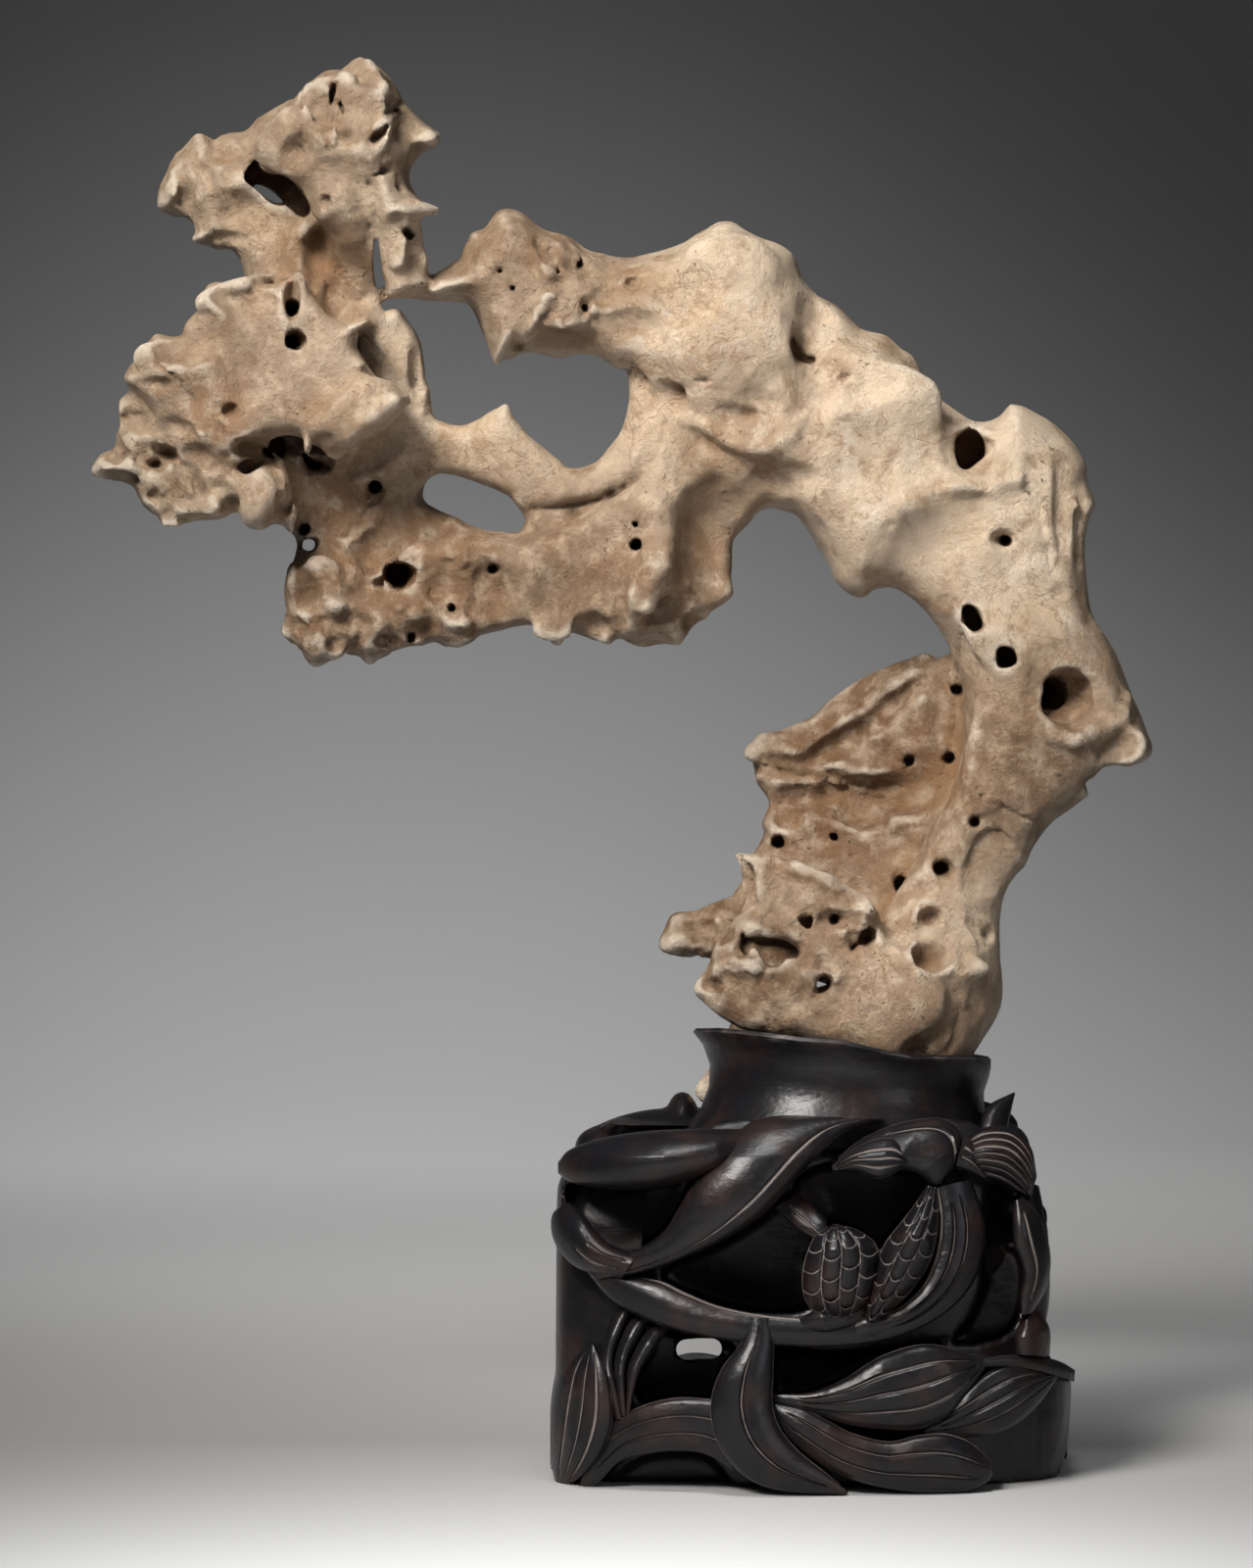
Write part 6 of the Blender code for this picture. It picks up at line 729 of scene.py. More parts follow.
# Hollows between the leaves, front and back: outline on the sheet, how near the middle they reach.
CORE_VOIDS = [
    ([(688, 1286), (740, 1266), (780, 1241), (812, 1214), (842, 1206), (852, 1245), (838, 1262),
      (826, 1290), (830, 1334), (790, 1340), (752, 1336), (714, 1324), (676, 1306)], 18),
    ([(586, 1204), (640, 1210), (690, 1202), (708, 1200), (698, 1232), (682, 1256), (655, 1274),
      (628, 1272), (606, 1256), (590, 1240), (578, 1224)], 24),
    ([(812, 1203), (850, 1186), (890, 1190), (935, 1192), (962, 1204), (952, 1218), (926, 1240),
      (908, 1264), (896, 1276), (878, 1260), (852, 1250), (838, 1246), (820, 1228)], 18),
    ([(1008, 1210), (1036, 1222), (1043, 1262), (1028, 1268), (1010, 1266)], 8),
    ([(1006, 1272), (1040, 1276), (1046, 1310), (1040, 1345), (1020, 1366), (972, 1370),
      (990, 1345), (1004, 1310)], 44),
    ([(642, 1340), (668, 1350), (700, 1362), (745, 1370), (752, 1384), (738, 1400), (732, 1428),
      (690, 1428), (655, 1434), (648, 1400), (664, 1372)], 14),
    ([(792, 1376), (850, 1380), (920, 1374), (966, 1366), (945, 1376), (897, 1390), (864, 1409),
      (828, 1424), (792, 1424)], 20),
    ([(612, 1534), (626, 1508), (655, 1488), (690, 1482), (724, 1486), (744, 1508), (756, 1534)],
     62),
    ([(868, 1460), (910, 1462), (945, 1460), (940, 1468), (905, 1474), (872, 1466)], 60),
]
# The piercing you can see through, drawn as a row of overlapping bores: column, row.
PIERCING = [(701, 1377), (707, 1377), (713, 1376), (720, 1376), (727, 1376)]

# Reach of the running means that find the hollows, in millimetres; the stone's colour darkens with
# them to ochre and brown, its own weathering together with painted shade.
HOLLOW_REACH = (("hollow", 3.5), ("shelter", 11.0))
# Iron stains: column, row, reach in squares, strength.
STAINS = [
    (222, 420, 36, 0.9), (340, 505, 70, 0.75), (853, 380, 22, 0.8), (645, 288, 24, 0.8),
    (745, 415, 90, 0.5), (770, 432, 60, 0.6), (1100, 716, 46, 0.3), (955, 782, 44, 0.7),
    (940, 1055, 70, 0.6), (322, 275, 60, 0.6), (430, 560, 60, 0.5), (800, 830, 80, 0.4),
    (925, 900, 60, 0.5), (870, 940, 60, 0.5), (560, 250, 30, 0.5), (700, 590, 70, 0.5),
]
# Brown skin of handling and age, together with painted shade on the fin, the foot and the parts
# that face down or inward, in the same way.
PATINA_AND_SHADE = [
    (870, 740, 175, 1.0), (840, 825, 135, 1.0), (905, 795, 120, 1.0), (690, 620, 110, 0.63),
    (730, 550, 110, 0.6), (330, 262, 60, 0.9), (345, 520, 85, 0.55), (715, 945, 95, 1.0),
    (960, 1040, 110, 0.62), (770, 1010, 135, 0.95), (1126, 794, 24, 0.9), (788, 968, 48, 1.0),
    (1050, 790, 150, 0.9), (340, 620, 150, 0.95), (460, 620, 135, 1.0), (580, 600, 150, 0.9),
    (330, 125, 140, 0.75), (195, 190, 110, 0.6), (220, 390, 175, 0.75), (530, 280, 130, 0.78),
    (640, 570, 90, 0.6), (135, 480, 115, 0.75), (985, 700, 70, 0.5), (820, 905, 110, 0.7),
    (940, 900, 110, 0.4),
]
# Where the hollows' ochre and brown, weathering with painted shade, are left off: the open cup at
# the elbow, in the same way.
BARE_AND_UNSHADED = [(1104, 712, 52, 1.0)]
SHEET_HEIGHT = 800.0      # what the camera sees at the middle of the object, in millimetres
VEIN_FADE = 0.06          # share of a leaf's length over which a vein begins and ends
BACK_FILES = 7            # files of points on the hidden back of a leaf
MOST_FACES = 199000       # most triangles one piece may keep
SHARP_CORE = 50           # corners sharper than this, in degrees, stay crisp on the core
SHARP_EDGE = 44           # degrees between faces from which a carved edge stays crisp
HALF_WALL = 5.0           # half width and height of the sweep, in metres
WALL_TOP = 5.0
SWEEP_STEPS = 25
FILM_WIDTH = 36.0         # in millimetres
# Studio lights: name, place, what they look at, size, spread in degrees, tint.
LAMPS = [
    ("key", (-0.9, -1.55, 1.65), (-0.1, 0, 0.48), 0.8, 40, (1.0, 0.965, 0.92)),
    ("fill", (1.4, -1.9, 0.7), (0, 0, 0.3), 1.0, 60, (0.95, 0.96, 1.0)),
    ("table", (-0.1, -0.62, 1.5), (-0.1, -0.62, 0), 0.6, 40, (1.0, 1.0, 1.0)),
    ("backdrop", (-0.35, 2.0, 2.0), (-0.35, 2.2, 0), 0.6, 100, (1.0, 1.0, 1.0)),
    ("distance", (-0.35, 2.8, 2.2), (-0.35, 2.8, 0), 0.8, 100, (1.0, 1.0, 1.0)),
    ("middle", (-0.35, 0.9, 1.3), (-0.35, 0.9, 0), 0.5, 50, (1.0, 1.0, 1.0)),
    ("beyond", (-0.35, 1.4, 1.7), (-0.35, 1.4, 0), 0.6, 70, (1.0, 1.0, 1.0)),
    ("side", (0.55, 0.35, 1.1), (0.3, 0.4, 0), 0.3, 45, (1.0, 1.0, 1.0)),
]


class Field:
    """Distance to a surface on a regular lattice: negative inside the solid, in millimetres."""

    def __init__(self, low, high, step):
        self.low = np.array(low, float)
        self.step = step
        counts = np.ceil((np.array(high) - self.low) / step).astype(int) + 1
        self.axes = [self.low[i] + step * np.arange(counts[i]) for i in range(3)]
        self.value = np.full(counts, FAR, np.float32)

    def window(self, low, high):
        """Slices of the lattice that hold a box, and its open coordinate axes."""
        cut = []
        axes = []
        for i in range(3):
            count = len(self.axes[i])
            first = int(np.clip(np.floor((low[i] - self.low[i]) / self.step), 0, count))
            last = int(np.clip(np.ceil((high[i] - self.low[i]) / self.step) + 1, first, count))
            cut.append(slice(first, last))
            shape = [1, 1, 1]
            shape[i] = last - first
            axes.append(self.axes[i][first:last].reshape(shape).astype(np.float32))
        return tuple(cut), axes

    def join(self, shape, soft):
        """Add a shape, with a fillet about `soft` wide."""
        cut, axes = self.window(*shape.box(soft + 4))
        self.value[cut] = smooth_least(self.value[cut], shape.distance(*axes), soft)

    def carve(self, shape, soft, wobble=None):
        """Take a shape away, its rim rounded over about `soft`, its walls uneven by `wobble`."""
        cut, axes = self.window(*shape.box(soft + 2))
        wall = shape.distance(*axes)
        if wobble is not None:
            wall = wall + wobble[cut]
        self.value[cut] = -smooth_least(-self.value[cut], wall, soft)

    def faces(self):
        """Depth of the first and the last solid point behind each point of the sheet."""
        inside = self.value < 0
        first = inside.argmax(1)
        last = inside.shape[1] - 1 - inside[:, ::-1].argmax(1)
        found = inside.any(1)
        depth = self.axes[1]
        return np.where(found, depth[first], np.nan), np.where(found, depth[last], np.nan)

    def skin(self):
        """Points and four-sided faces of the surface, only its largest closed shell."""
        band = 4 * self.step
        grid = openvdb.FloatGrid(band)
        grid.copyFromArray(np.clip(self.value, -band, band))
        points, quads = grid.convertToQuads(0.0)
        points, quads = largest_shell(points, quads)
        return points * self.step + self.low, quads


def largest_shell(points, quads):
    """Keep the connected shell with the most points; loose crumbs and inner bubbles go."""
    quads = quads.astype(np.int64)
    label = np.arange(len(points))
    while True:
        least = label[quads].min(1)
        new = label.copy()
        for corner in range(4):
            np.minimum.at(new, quads[:, corner], least)
        new = new[new]
        if (new == label).all():
            break
        label = new
    names, counts = np.unique(label, return_counts=True)
    keep = label == names[counts.argmax()]
    index = np.cumsum(keep) - 1
    return points[keep], index[quads[keep[quads[:, 0]]]]


def smooth_least(a, b, soft):
    """The smaller of two distances, with a fillet where they meet."""
    if soft <= 0:
        return np.minimum(a, b)
    blend = np.maximum(soft - np.abs(a - b), 0) / soft
    return np.minimum(a, b) - blend * blend * soft * 0.25


def outline_distance(outline, x, z):
    """Distance to a closed outline in the plane of the sheet, negative inside."""
    best = np.full(np.broadcast(x, z).shape, 1e9, np.float32)
    inside = np.zeros(best.shape, bool)
    for (ax, az), (bx, bz) in zip(outline, outline[1:] + outline[:1]):
        dx = bx - ax
        dz = bz - az
        square = dx * dx + dz * dz
        if square < 1e-9:
            continue
        t = np.clip(((x - ax) * dx + (z - az) * dz) / square, 0, 1)
        best = np.minimum(best, (x - ax - t * dx) ** 2 + (z - az - t * dz) ** 2)
        if dz != 0:
            crossing = (az > z) != (bz > z)
            inside ^= crossing & (x < ax + (z - az) * dx / dz)
    best = np.sqrt(best)
    return np.where(inside, -best, best)


def rounded(outline, turns):
    """A smooth closed curve through the same points."""
    points = np.array(outline, float)
    for _ in range(turns):
        before = np.roll(points, 1, 0)
        after = np.roll(points, -1, 0)
        far = np.roll(points, -2, 0)
        middle = (9 * (points + after) - (before + far)) / 16
        points = np.stack([points, middle], 1).reshape(-1, 2)
    return [tuple(p) for p in points]


class Slab:
    """A flat mass: outline on the sheet, middle depth, half thickness, round edge, lean."""

    def __init__(self, outline, y, half, edge, lean=(0, 0)):
        self.outline = rounded(outline, 1)
        points = np.array(self.outline)
        self.low = points.min(0)
        self.high = points.max(0)
        self.centre = (self.low + self.high) / 2
        self.y = y
        self.half = half
        self.edge = edge
        self.lean = lean

    def box(self, more):
        size = self.high - self.low
        reach = self.half + more + (abs(self.lean[0]) * size[0] + abs(self.lean[1]) * size[1]) / 2
        return ((self.low[0] - more, self.y - reach, self.low[1] - more),
                (self.high[0] + more, self.y + reach, self.high[1] + more))

    def distance(self, x, y, z):
        flat = outline_distance(self.outline, x[:, 0, :], z[0, :, :])[:, None, :]
        middle = self.y + self.lean[0] * (x - self.centre[0]) + self.lean[1] * (z - self.centre[1])
        stretch = max(self.edge / self.half, 1.0)
        radius = min(self.edge, self.half) * stretch
        across = np.abs(y - middle) * stretch - (self.half * stretch - radius)
        along = flat + radius
        outer = np.hypot(np.maximum(along, 0), np.maximum(across, 0))
        inner = np.minimum(np.maximum(along, across), 0)
        return ((outer + inner - radius) / stretch).astype(np.float32)


class Egg:
    """An ellipsoid, turned in the plane of the sheet by `turn` degrees."""

    def __init__(self, centre, radii, turn=0.0):
        self.centre = np.array(centre, float)
        self.radii = np.array(radii, float)
        c = math.cos(math.radians(turn))
        s = math.sin(math.radians(turn))
        self.frame = np.array([[c, 0, s], [0, 1, 0], [-s, 0, c]])

    def box(self, more):
        reach = np.sqrt(((self.frame * self.radii) ** 2).sum(1)) + more
        return self.centre - reach, self.centre + reach

    def distance(self, x, y, z):
        offset = (x - self.centre[0], y - self.centre[1], z - self.centre[2])
        near = 0
        slope = 0
        for i in range(3):
            along = sum(offset[k] * self.frame[k, i] for k in range(3))
            near = near + (along / self.radii[i]) ** 2
            slope = slope + (along / self.radii[i] ** 2) ** 2
        near = np.sqrt(near)
        return (near * (near - 1) / (np.sqrt(slope) + 1e-6)).astype(np.float32)


class Rod:
    """A chain of round tapered lengths through points (x, y, z, radius)."""

    def __init__(self, points):
        self.points = [tuple(map(float, p)) for p in points]

    def box(self, more):
        points = np.array(self.points)
        reach = points[:, 3:].max() + more
        return points[:, :3].min(0) - reach, points[:, :3].max(0) + reach

    def distance(self, x, y, z):
        best = None
        for (ax, ay, az, ar), (bx, by, bz, br) in zip(self.points, self.points[1:]):
            dx = bx - ax
            dy = by - ay
            dz = bz - az
            square = dx * dx + dy * dy + dz * dz + 1e-9
            t = np.clip(((x - ax) * dx + (y - ay) * dy + (z - az) * dz) / square, 0, 1)
            far = np.sqrt((x - ax - t * dx) ** 2 + (y - ay - t * dy) ** 2 + (z - az - t * dz) ** 2)
            far = far - (ar + t * (br - ar))
            best = far if best is None else np.minimum(best, far)
        return best.astype(np.float32)


def lattice_noise(axes, cell, rng):
    """Smooth noise between about -1 and 1 over the whole lattice, `cell` mm from bump to bump."""
    weights = []
    for axis in axes:
        count = int(np.ceil((axis[-1] - axis[0]) / cell)) + 4
        place = (axis - axis[0]) / cell + 1
        first = np.floor(place).astype(int)
        t = (place - first).astype(np.float32)
        matrix = np.zeros((len(axis), count), np.float32)
        curve = (t * t - 0.5 * (t + t ** 3), 1 - 2.5 * t * t + 1.5 * t ** 3,
                 0.5 * t + 2 * t * t - 1.5 * t ** 3, 0.5 * (t ** 3 - t * t))
        rows = np.arange(len(axis))
        for k in range(4):
            matrix[rows, first - 1 + k] += curve[k]
        weights.append(matrix)
    lattice = rng.uniform(-1, 1, [m.shape[1] for m in weights]).astype(np.float32)
    out = np.tensordot(weights[0], lattice, (1, 0))
    out = np.tensordot(out, weights[1], (1, 1)).transpose(0, 2, 1)
    return np.tensordot(out, weights[2], (2, 1))


def to_space(points):
    """From the sheet, where shapes are drawn as they look from the sight point, to real space."""
    scale = (points[:, 1] + SIGHT_DISTANCE) / SIGHT_DISTANCE
    x = SIGHT_X + (points[:, 0] - SIGHT_X) * scale
    z = SIGHT_Z + (points[:, 2] - SIGHT_Z) * scale
    return np.stack([x, points[:, 1], z], 1)


def across(column):
    """Millimetres to the right of the stand's middle, for a column of the sheet."""
    return (column - SHEET_X) / 2


def up(row):
    """Millimetres above the floor, for a row of the sheet."""
    return (SHEET_Z - row) / 2


def on_sheet(outline):
    return [(across(column), up(row)) for column, row in outline]


def rods(points):
    """A rod through places of the sheet: column, depth, row, radius."""
    return Rod([(across(column), y, up(row), radius) for column, y, row, radius in points])


def depth_at(grid, field, column, row, front):
    """Depth of the stone's face behind a point of the sheet, or the nearest one found."""
    i = int(round((across(column) - field.low[0]) / field.step))
    k = int(round((up(row) - field.low[2]) / field.step))
    for reach in range(1, 30):
        near = grid[max(i - reach, 0):i + reach + 1, max(k - reach, 0):k + reach + 1]
        if np.isfinite(near).any():
            centre = grid[i, k]
            if np.isfinite(centre):
                return float(centre)
            return float(np.nanmin(near) if front else np.nanmax(near))
    raise ValueError("no stone near the point")


def rough_map(field):
    """How broken the stone's surface is over the sheet, 0 smooth to 1 craggy."""
    x = field.axes[0][:, None]
    z = field.axes[2][None, :]
    out = np.zeros((x.shape[0], z.shape[1]), np.float32)
    for column, row, reach in ROUGH_AREAS:
        near = ((x - across(column)) ** 2 + (z - up(row)) ** 2) / (reach / 2) ** 2
        out = np.maximum(out, np.clip(1.4 - 1.4 * near, 0, 1))
    return out[:, None, :]


def scallop(field, rng, count, size, depth, mask=None):
    """Press shallow dishes that meet in sharp ridges into the surface at seeded places."""
    places = np.abs(field.value) < field.step * 0.7
    if mask is not None:
        places &= mask > 0.4
    places = np.argwhere(places)
    press = np.zeros_like(field.value)
    for index in places[rng.choice(len(places), count, replace=False)]:
        reach = rng.uniform(*size)
        deep = rng.uniform(*depth) * reach / size[1] + 0.4
        centre = field.low + field.step * index
        cut, axes = field.window(centre - reach, centre + reach)
        near = sum((a - c) ** 2 for a, c in zip(axes, centre)) / (reach * reach)
        press[cut] = np.maximum(press[cut], deep * (1 - near))
    field.value += press


def along(points, pitch):
    """Places at most `pitch` squares apart along a broken line."""
    out = []
    for (ax, az), (bx, bz) in zip(points, points[1:]):
        count = math.ceil(math.hypot(bx - ax, bz - az) / pitch)
        out += [(ax + (bx - ax) * k / count, az + (bz - az) * k / count) for k in range(count)]
    return out + [points[-1]]


def stone_field(step):
    """The stone on a lattice: masses, swellings, hollows, ribs, holes and the flat it stands on."""
    field = Field(STONE_LOW, STONE_HIGH, step)
    for outline, y, half, edge, lean, soft in MASSES.values():
        field.join(Slab(on_sheet(outline), y, half, edge, lean), soft)
    grids = dict(zip((FRONT, BACK), field.faces()))

    def face(side, column, row):
        return depth_at(grids[side], field, column, row, side == FRONT)

    def press(side, dents):
        for a, b, wide, tall, deep, turn, soft in dents:
            centre = (across(a), face(side, a, b) + side * deep, up(b))
            field.carve(Egg(centre, (wide / SINK, 2 * deep, tall / SINK), turn), soft)

    rng = np.random.default_rng(STONE_SEED)
    for a, b, wide, tall, high, turn, soft in LUMPS:
        centre = (across(a), face(FRONT, a, b) + high, up(b))
        field.join(Egg(centre, (wide / SINK, 2 * high, tall / SINK), turn), soft)
    rough = rough_map(field)
    for cell, plain, crag in ROLLING:
        field.value += (plain + crag * rough) * lattice_noise(field.axes, cell, rng)
    crags = np.abs(lattice_noise(field.axes, CRAG_CELL, rng)) * 1.6 - 0.5
    field.value += CRAG_HEIGHT * rough * crags
    press(FRONT, [dent for dent in DENTS if dent[2] * dent[3] > BROAD])
    press(BACK, BACK_DENTS)
    for soft, points in FILLS:
        field.join(rods(points), soft)
    scallop(field, rng, *BROAD_SCALLOPS)
    grids = dict(zip((FRONT, BACK), field.faces()))
    for soft, points in RIDGES:
        chain = [(a, face(FRONT, a, b) + (r - out), b, r) for a, b, r, out in points]
        field.join(rods(chain), soft)
    press(FRONT, [dent for dent in DENTS if dent[2] * dent[3] <= BROAD])
    scallop(field, rng, *SMALL_SCALLOPS)
    scallop(field, rng, *CRAG_SCALLOPS, rough)
    wobble = lattice_noise(field.axes, WOBBLE_CELL, rng)
    grids = dict(zip((FRONT, BACK), field.faces()))
    for side, bores in ((FRONT, BORES), (BACK, BACK_BORES)):
        for soft, points in bores:
            chain = rods([(a, face(side, a, b) - side * deep, b, r) for a, deep, b, r in points])
            field.carve(chain, soft, min(0.35 * points[0][3], WOBBLE) * wobble)
    for soft, radius, points in CREASES:
        places = along(points, CREASE_PITCH)
        field.carve(rods([(a, face(FRONT, a, b), b, radius) for a, b in places]), soft)
    for outline, deep in WELLS:
        y = face(FRONT, *np.mean(outline, 0)) + deep / 2 - WELL_MOUTH
        field.carve(Slab(on_sheet(outline), y, deep / 2 + WELL_MOUTH, 2), 0.8, 0.7 * wobble)
    for outline, near, far in SHAFTS:
        shaft = Slab(on_sheet(outline), (near + far) / 2, (far - near) / 2, 3)
        field.carve(shaft, 1.0, 0.7 * wobble)
    for a, b, wide, tall in SLOTS:
        field.carve(Egg((across(a), 0, up(b)), (wide, THROUGH, tall)), 0.6)
    for cell, plain, crag in LAST_RELIEF:
        field.value += (plain + crag * rough) * lattice_noise(field.axes, cell, rng)
    x = field.axes[0][:, None, None]
    z = field.axes[2][None, None, :]
    field.value = np.maximum(field.value, under_seat(x, z) + SEAT_GAP)
    for soft, points in SPURS:
        field.join(rods(points), soft)
    return field


def sway(points):
    """Thicken the stone here and there and let it wander to the front and the back."""
    weight = 0
    shift = 0
    stretch = 0
    for column, row, move, thick in SWAY:
        near = (points[:, 0] - across(column)) ** 2 + (points[:, 2] - up(row)) ** 2
        near = np.exp(-near / SWAY_REACH ** 2) + 1e-9
        weight = weight + near
        shift = shift + near * move
        stretch = stretch + near * thick
    depth = points[:, 1] * stretch / weight + shift / weight
    return np.stack([points[:, 0], depth, points[:, 2]], 1)


def under_seat(x, z):
    """How far points lie under the flat the stone stands on."""
    (ax, az), (bx, bz) = on_sheet(SEAT_LINE)
    slope = (bz - az) / (bx - ax)
    return ((az + slope * (x - ax) - z) / math.hypot(1, slope)).astype(np.float32)


def spline(points, count):
    """Points evenly spaced along a smooth open curve."""
    given = np.array(points, float)
    given = np.vstack([2 * given[0] - given[1], given, 2 * given[-1] - given[-2]])
    t = np.linspace(0, 1, 12, endpoint=False)[:, None]
    fine = []
    for a, b, c, d in zip(given, given[1:], given[2:], given[3:]):
        curve = 2 * b + (c - a) * t + (2 * a - 5 * b + 4 * c - d) * t ** 2
        fine.append(0.5 * (curve + (3 * b - a - 3 * c + d) * t ** 3))
    fine = np.vstack(fine + [given[-2:-1]])
    run = np.concatenate([[0], np.cumsum(np.hypot(*np.diff(fine, axis=0).T))])
    at = np.linspace(0, run[-1], count)
    return np.stack([np.interp(at, run, fine[:, k]) for k in range(2)], 1)


def block_front(column, row):
    """Depth of the bulging front of the block."""
    off = np.clip(np.abs((column - SHEET_X) / BLOCK_REACH), 0, 0.9995)
    fullness = np.interp(row, BLOCK_ROWS, BLOCK_FULLNESS)
    return -BLOCK_DEPTH * (1 - off ** 3) ** (1 / 3) * fullness


def ring_loft(rings, wear):
    """Close a stack of rings into one solid with fans at both ends."""
    count, size, _ = rings.shape
    start = np.arange(count - 1)[:, None] * size
    j = np.arange(size)[None, :]
    k = (j + 1) % size
    quads = np.stack([start + j, start + k, start + size + k, start + size + j], -1).reshape(-1, 4)
    points = np.vstack([rings.reshape(-1, 3), rings[0].mean(0), rings[-1].mean(0)])
    first = count * size
    j = np.arange(size)
    k = (j + 1) % size
    last = (count - 1) * size
    low = np.stack([np.full(size, first), k, j], 1)
    high = np.stack([np.full(size, first + 1), last + j, last + k], 1)
    return points, quads, np.vstack([low, high]), np.concatenate([wear.reshape(-1), [0, 0]])


def leaf(one, two, out, crown=3.0, thick=24, veins=(), rows=56, cols=24, groove=1.5,
         edge=(0.6, 0.6), scales=None, full=1.0, lip=2.0, rim=0.001, fine=1.0):
    """A carved leaf between two edges on the sheet; `out` is how far it stands off the block. Its
    edges, veins and scale lines are marked pale, rubbed wood together with painted highlight.
    """
    rows = round(rows * fine)
    cols = round(cols * fine)
    one = spline(one, rows)
    two = spline(two, rows)
    half = np.hypot(*((two - one) / 2).T) / 2
    mean = max(np.mean(half), 1.0)
    pitch = min(1.1 / mean, 0.14)
    veins = [v if isinstance(v, tuple) else (v, 0.04, 0.94) for v in veins]
    s = [np.linspace(-1, 1, cols)] + [(v[0] - pitch, v[0], v[0] + pitch) for v in veins]
    s = np.unique(np.round(np.clip(np.concatenate(s), -1, 1), 4))[None, :]
    t = np.linspace(0, 1, rows)[:, None]
    place = (one + two)[:, None, :] / 2 + (two - one)[:, None, :] / 2 * s[..., None]
    stand_off = np.interp(t, np.linspace(0, 1, len(out)), out)
    swell = np.minimum(half / mean, 1.3)[:, None]
    rise = crown * swell * (1 - np.abs(s) ** 2.2) ** full
    roll = lip * np.maximum(0, (np.abs(s) - 0.82) / 0.18) ** 2
    y = block_front(place[..., 0], place[..., 1]) - stand_off - rise + roll
    # Edges marked pale, then veins and scale lines below: rubbed wood together with painted
    # highlight.
    wear = np.where(s <= rim - 1, edge[0], np.where(s >= 1 - rim, edge[1], 0)) + 0 * t
    for centre, begin, end in veins:
        fade = np.clip((t - begin) / VEIN_FADE, 0, 1) * np.clip((end - t) / VEIN_FADE, 0, 1)
        cut = np.maximum(0, 1 - np.abs(s - centre) / pitch)
        y = y + groove * fade * cut
        wear = np.maximum(wear, fade * (cut > 0.6))
    if scales:
        files, ranks, high = scales
        cell = (s + 1) / 2 * files
        number = np.floor(np.clip(cell, 0, files - 1e-3))
        u = 2 * (cell - number) - 1
        v = t * ranks + 0.5 * (number % 2) + 0.25 * u ** 2
        v = v - np.floor(v)
        y = y - high * (1 - v) ** 0.8 * (1 - u ** 6)
        line = np.maximum(1 - v / 0.16, 1 - (1 - np.abs(u)) / 0.14)
        wear = np.maximum(wear, 0.95 * np.maximum(line, 0))
    s = np.linspace(1, -1, BACK_FILES)[None, :]
    back = (one + two)[:, None, :] / 2 + (two - one)[:, None, :] / 2 * s[..., None] * 0.98
    back_y = block_front(back[..., 0], back[..., 1]) - stand_off + thick
    front_face = np.stack([across(place[..., 0]), y, up(place[..., 1])], -1)
    back_face = np.stack([across(back[..., 0]), back_y, up(back[..., 1])], -1)
    wear = np.concatenate([wear, np.zeros(back_y.shape)], 1)
    return ring_loft(np.concatenate([front_face, back_face], 1), wear)


def collar(count):
    """The flared socket rim round the stone's foot."""
    angle = np.linspace(0, 2 * np.pi, count, endpoint=False)
    c = np.sign(np.cos(angle)) * np.abs(np.cos(angle)) ** COLLAR_SQUARE
    s = np.sign(np.sin(angle)) * np.abs(np.sin(angle)) ** COLLAR_SQUARE
    wave = np.interp(c, [a for a, _ in COLLAR_WAVE], [b for _, b in COLLAR_WAVE])
    rings = []
    wear = []
    for left, left_row, right, right_row, depth, ripple, worn_and_highlight in COLLAR_RINGS:
        column = (left + right) / 2 + (right - left) / 2 * c
        row = (left_row + right_row) / 2 + (right_row - left_row) / 2 * c
        sway = ripple * (wave * np.clip(-s, 0, 1) + 3.0 * np.clip(s, 0, 1) * np.sin(3 * c))
        rings.append(np.stack([across(column), COLLAR_MIDDLE + depth * s, up(row) + sway], 1))
        wear.append(np.full(count, worn_and_highlight))
    return ring_loft(np.array(rings), np.array(wear))


def turned(points, angle, mirrored, lift, reach):
    """A leaf carried round the oval block by `angle` degrees."""
    a = math.radians(angle)
    x = points[:, 0] / BLOCK_TURN_REACH * (-1 if mirrored else 1)
    y = (points[:, 1] - BLOCK_MIDDLE) / BLOCK_TURN_DEPTH
    return np.stack([reach * (x * math.cos(a) - y * math.sin(a)),
                     BLOCK_TURN_DEPTH * (x * math.sin(a) + y * math.cos(a)) + BLOCK_MIDDLE,
                     points[:, 2] + lift], 1)


def to_sheet(points):
    """The reverse of to_space."""
    scale = (points[:, 1] + SIGHT_DISTANCE) / SIGHT_DISTANCE
    x = SIGHT_X + (points[:, 0] - SIGHT_X) / scale
    z = SIGHT_Z + (points[:, 2] - SIGHT_Z) / scale
    return np.stack([x, points[:, 1], z], 1)


def carvings(fine):
    """Every leaf, cob and bud of the stand and its collar: name, points, quads, triangles, and how
    pale each point is, rubbed wood together with painted highlight.
    """
    made = {name: leaf(**shape, fine=fine) for name, shape in LEAVES.items()}
    out = [(name,) + solid for name, solid in made.items()]
    made = {name: leaf(**shape, fine=0.6 * fine) for name, shape in LEAVES.items()}
    for number, (name, angle, mirrored, lift, reach) in enumerate(ROUND_THE_BLOCK):
        points, quads, triangles, wear = made[name]
        points = to_sheet(turned(points, angle, mirrored, lift, reach))
        if mirrored:
            quads = quads[:, ::-1]
            triangles = triangles[:, ::-1]
        out.append((f"{name}_{number}", points, quads, triangles, wear))
    out.append(("collar",) + collar(COLLAR_COUNT))
    return out


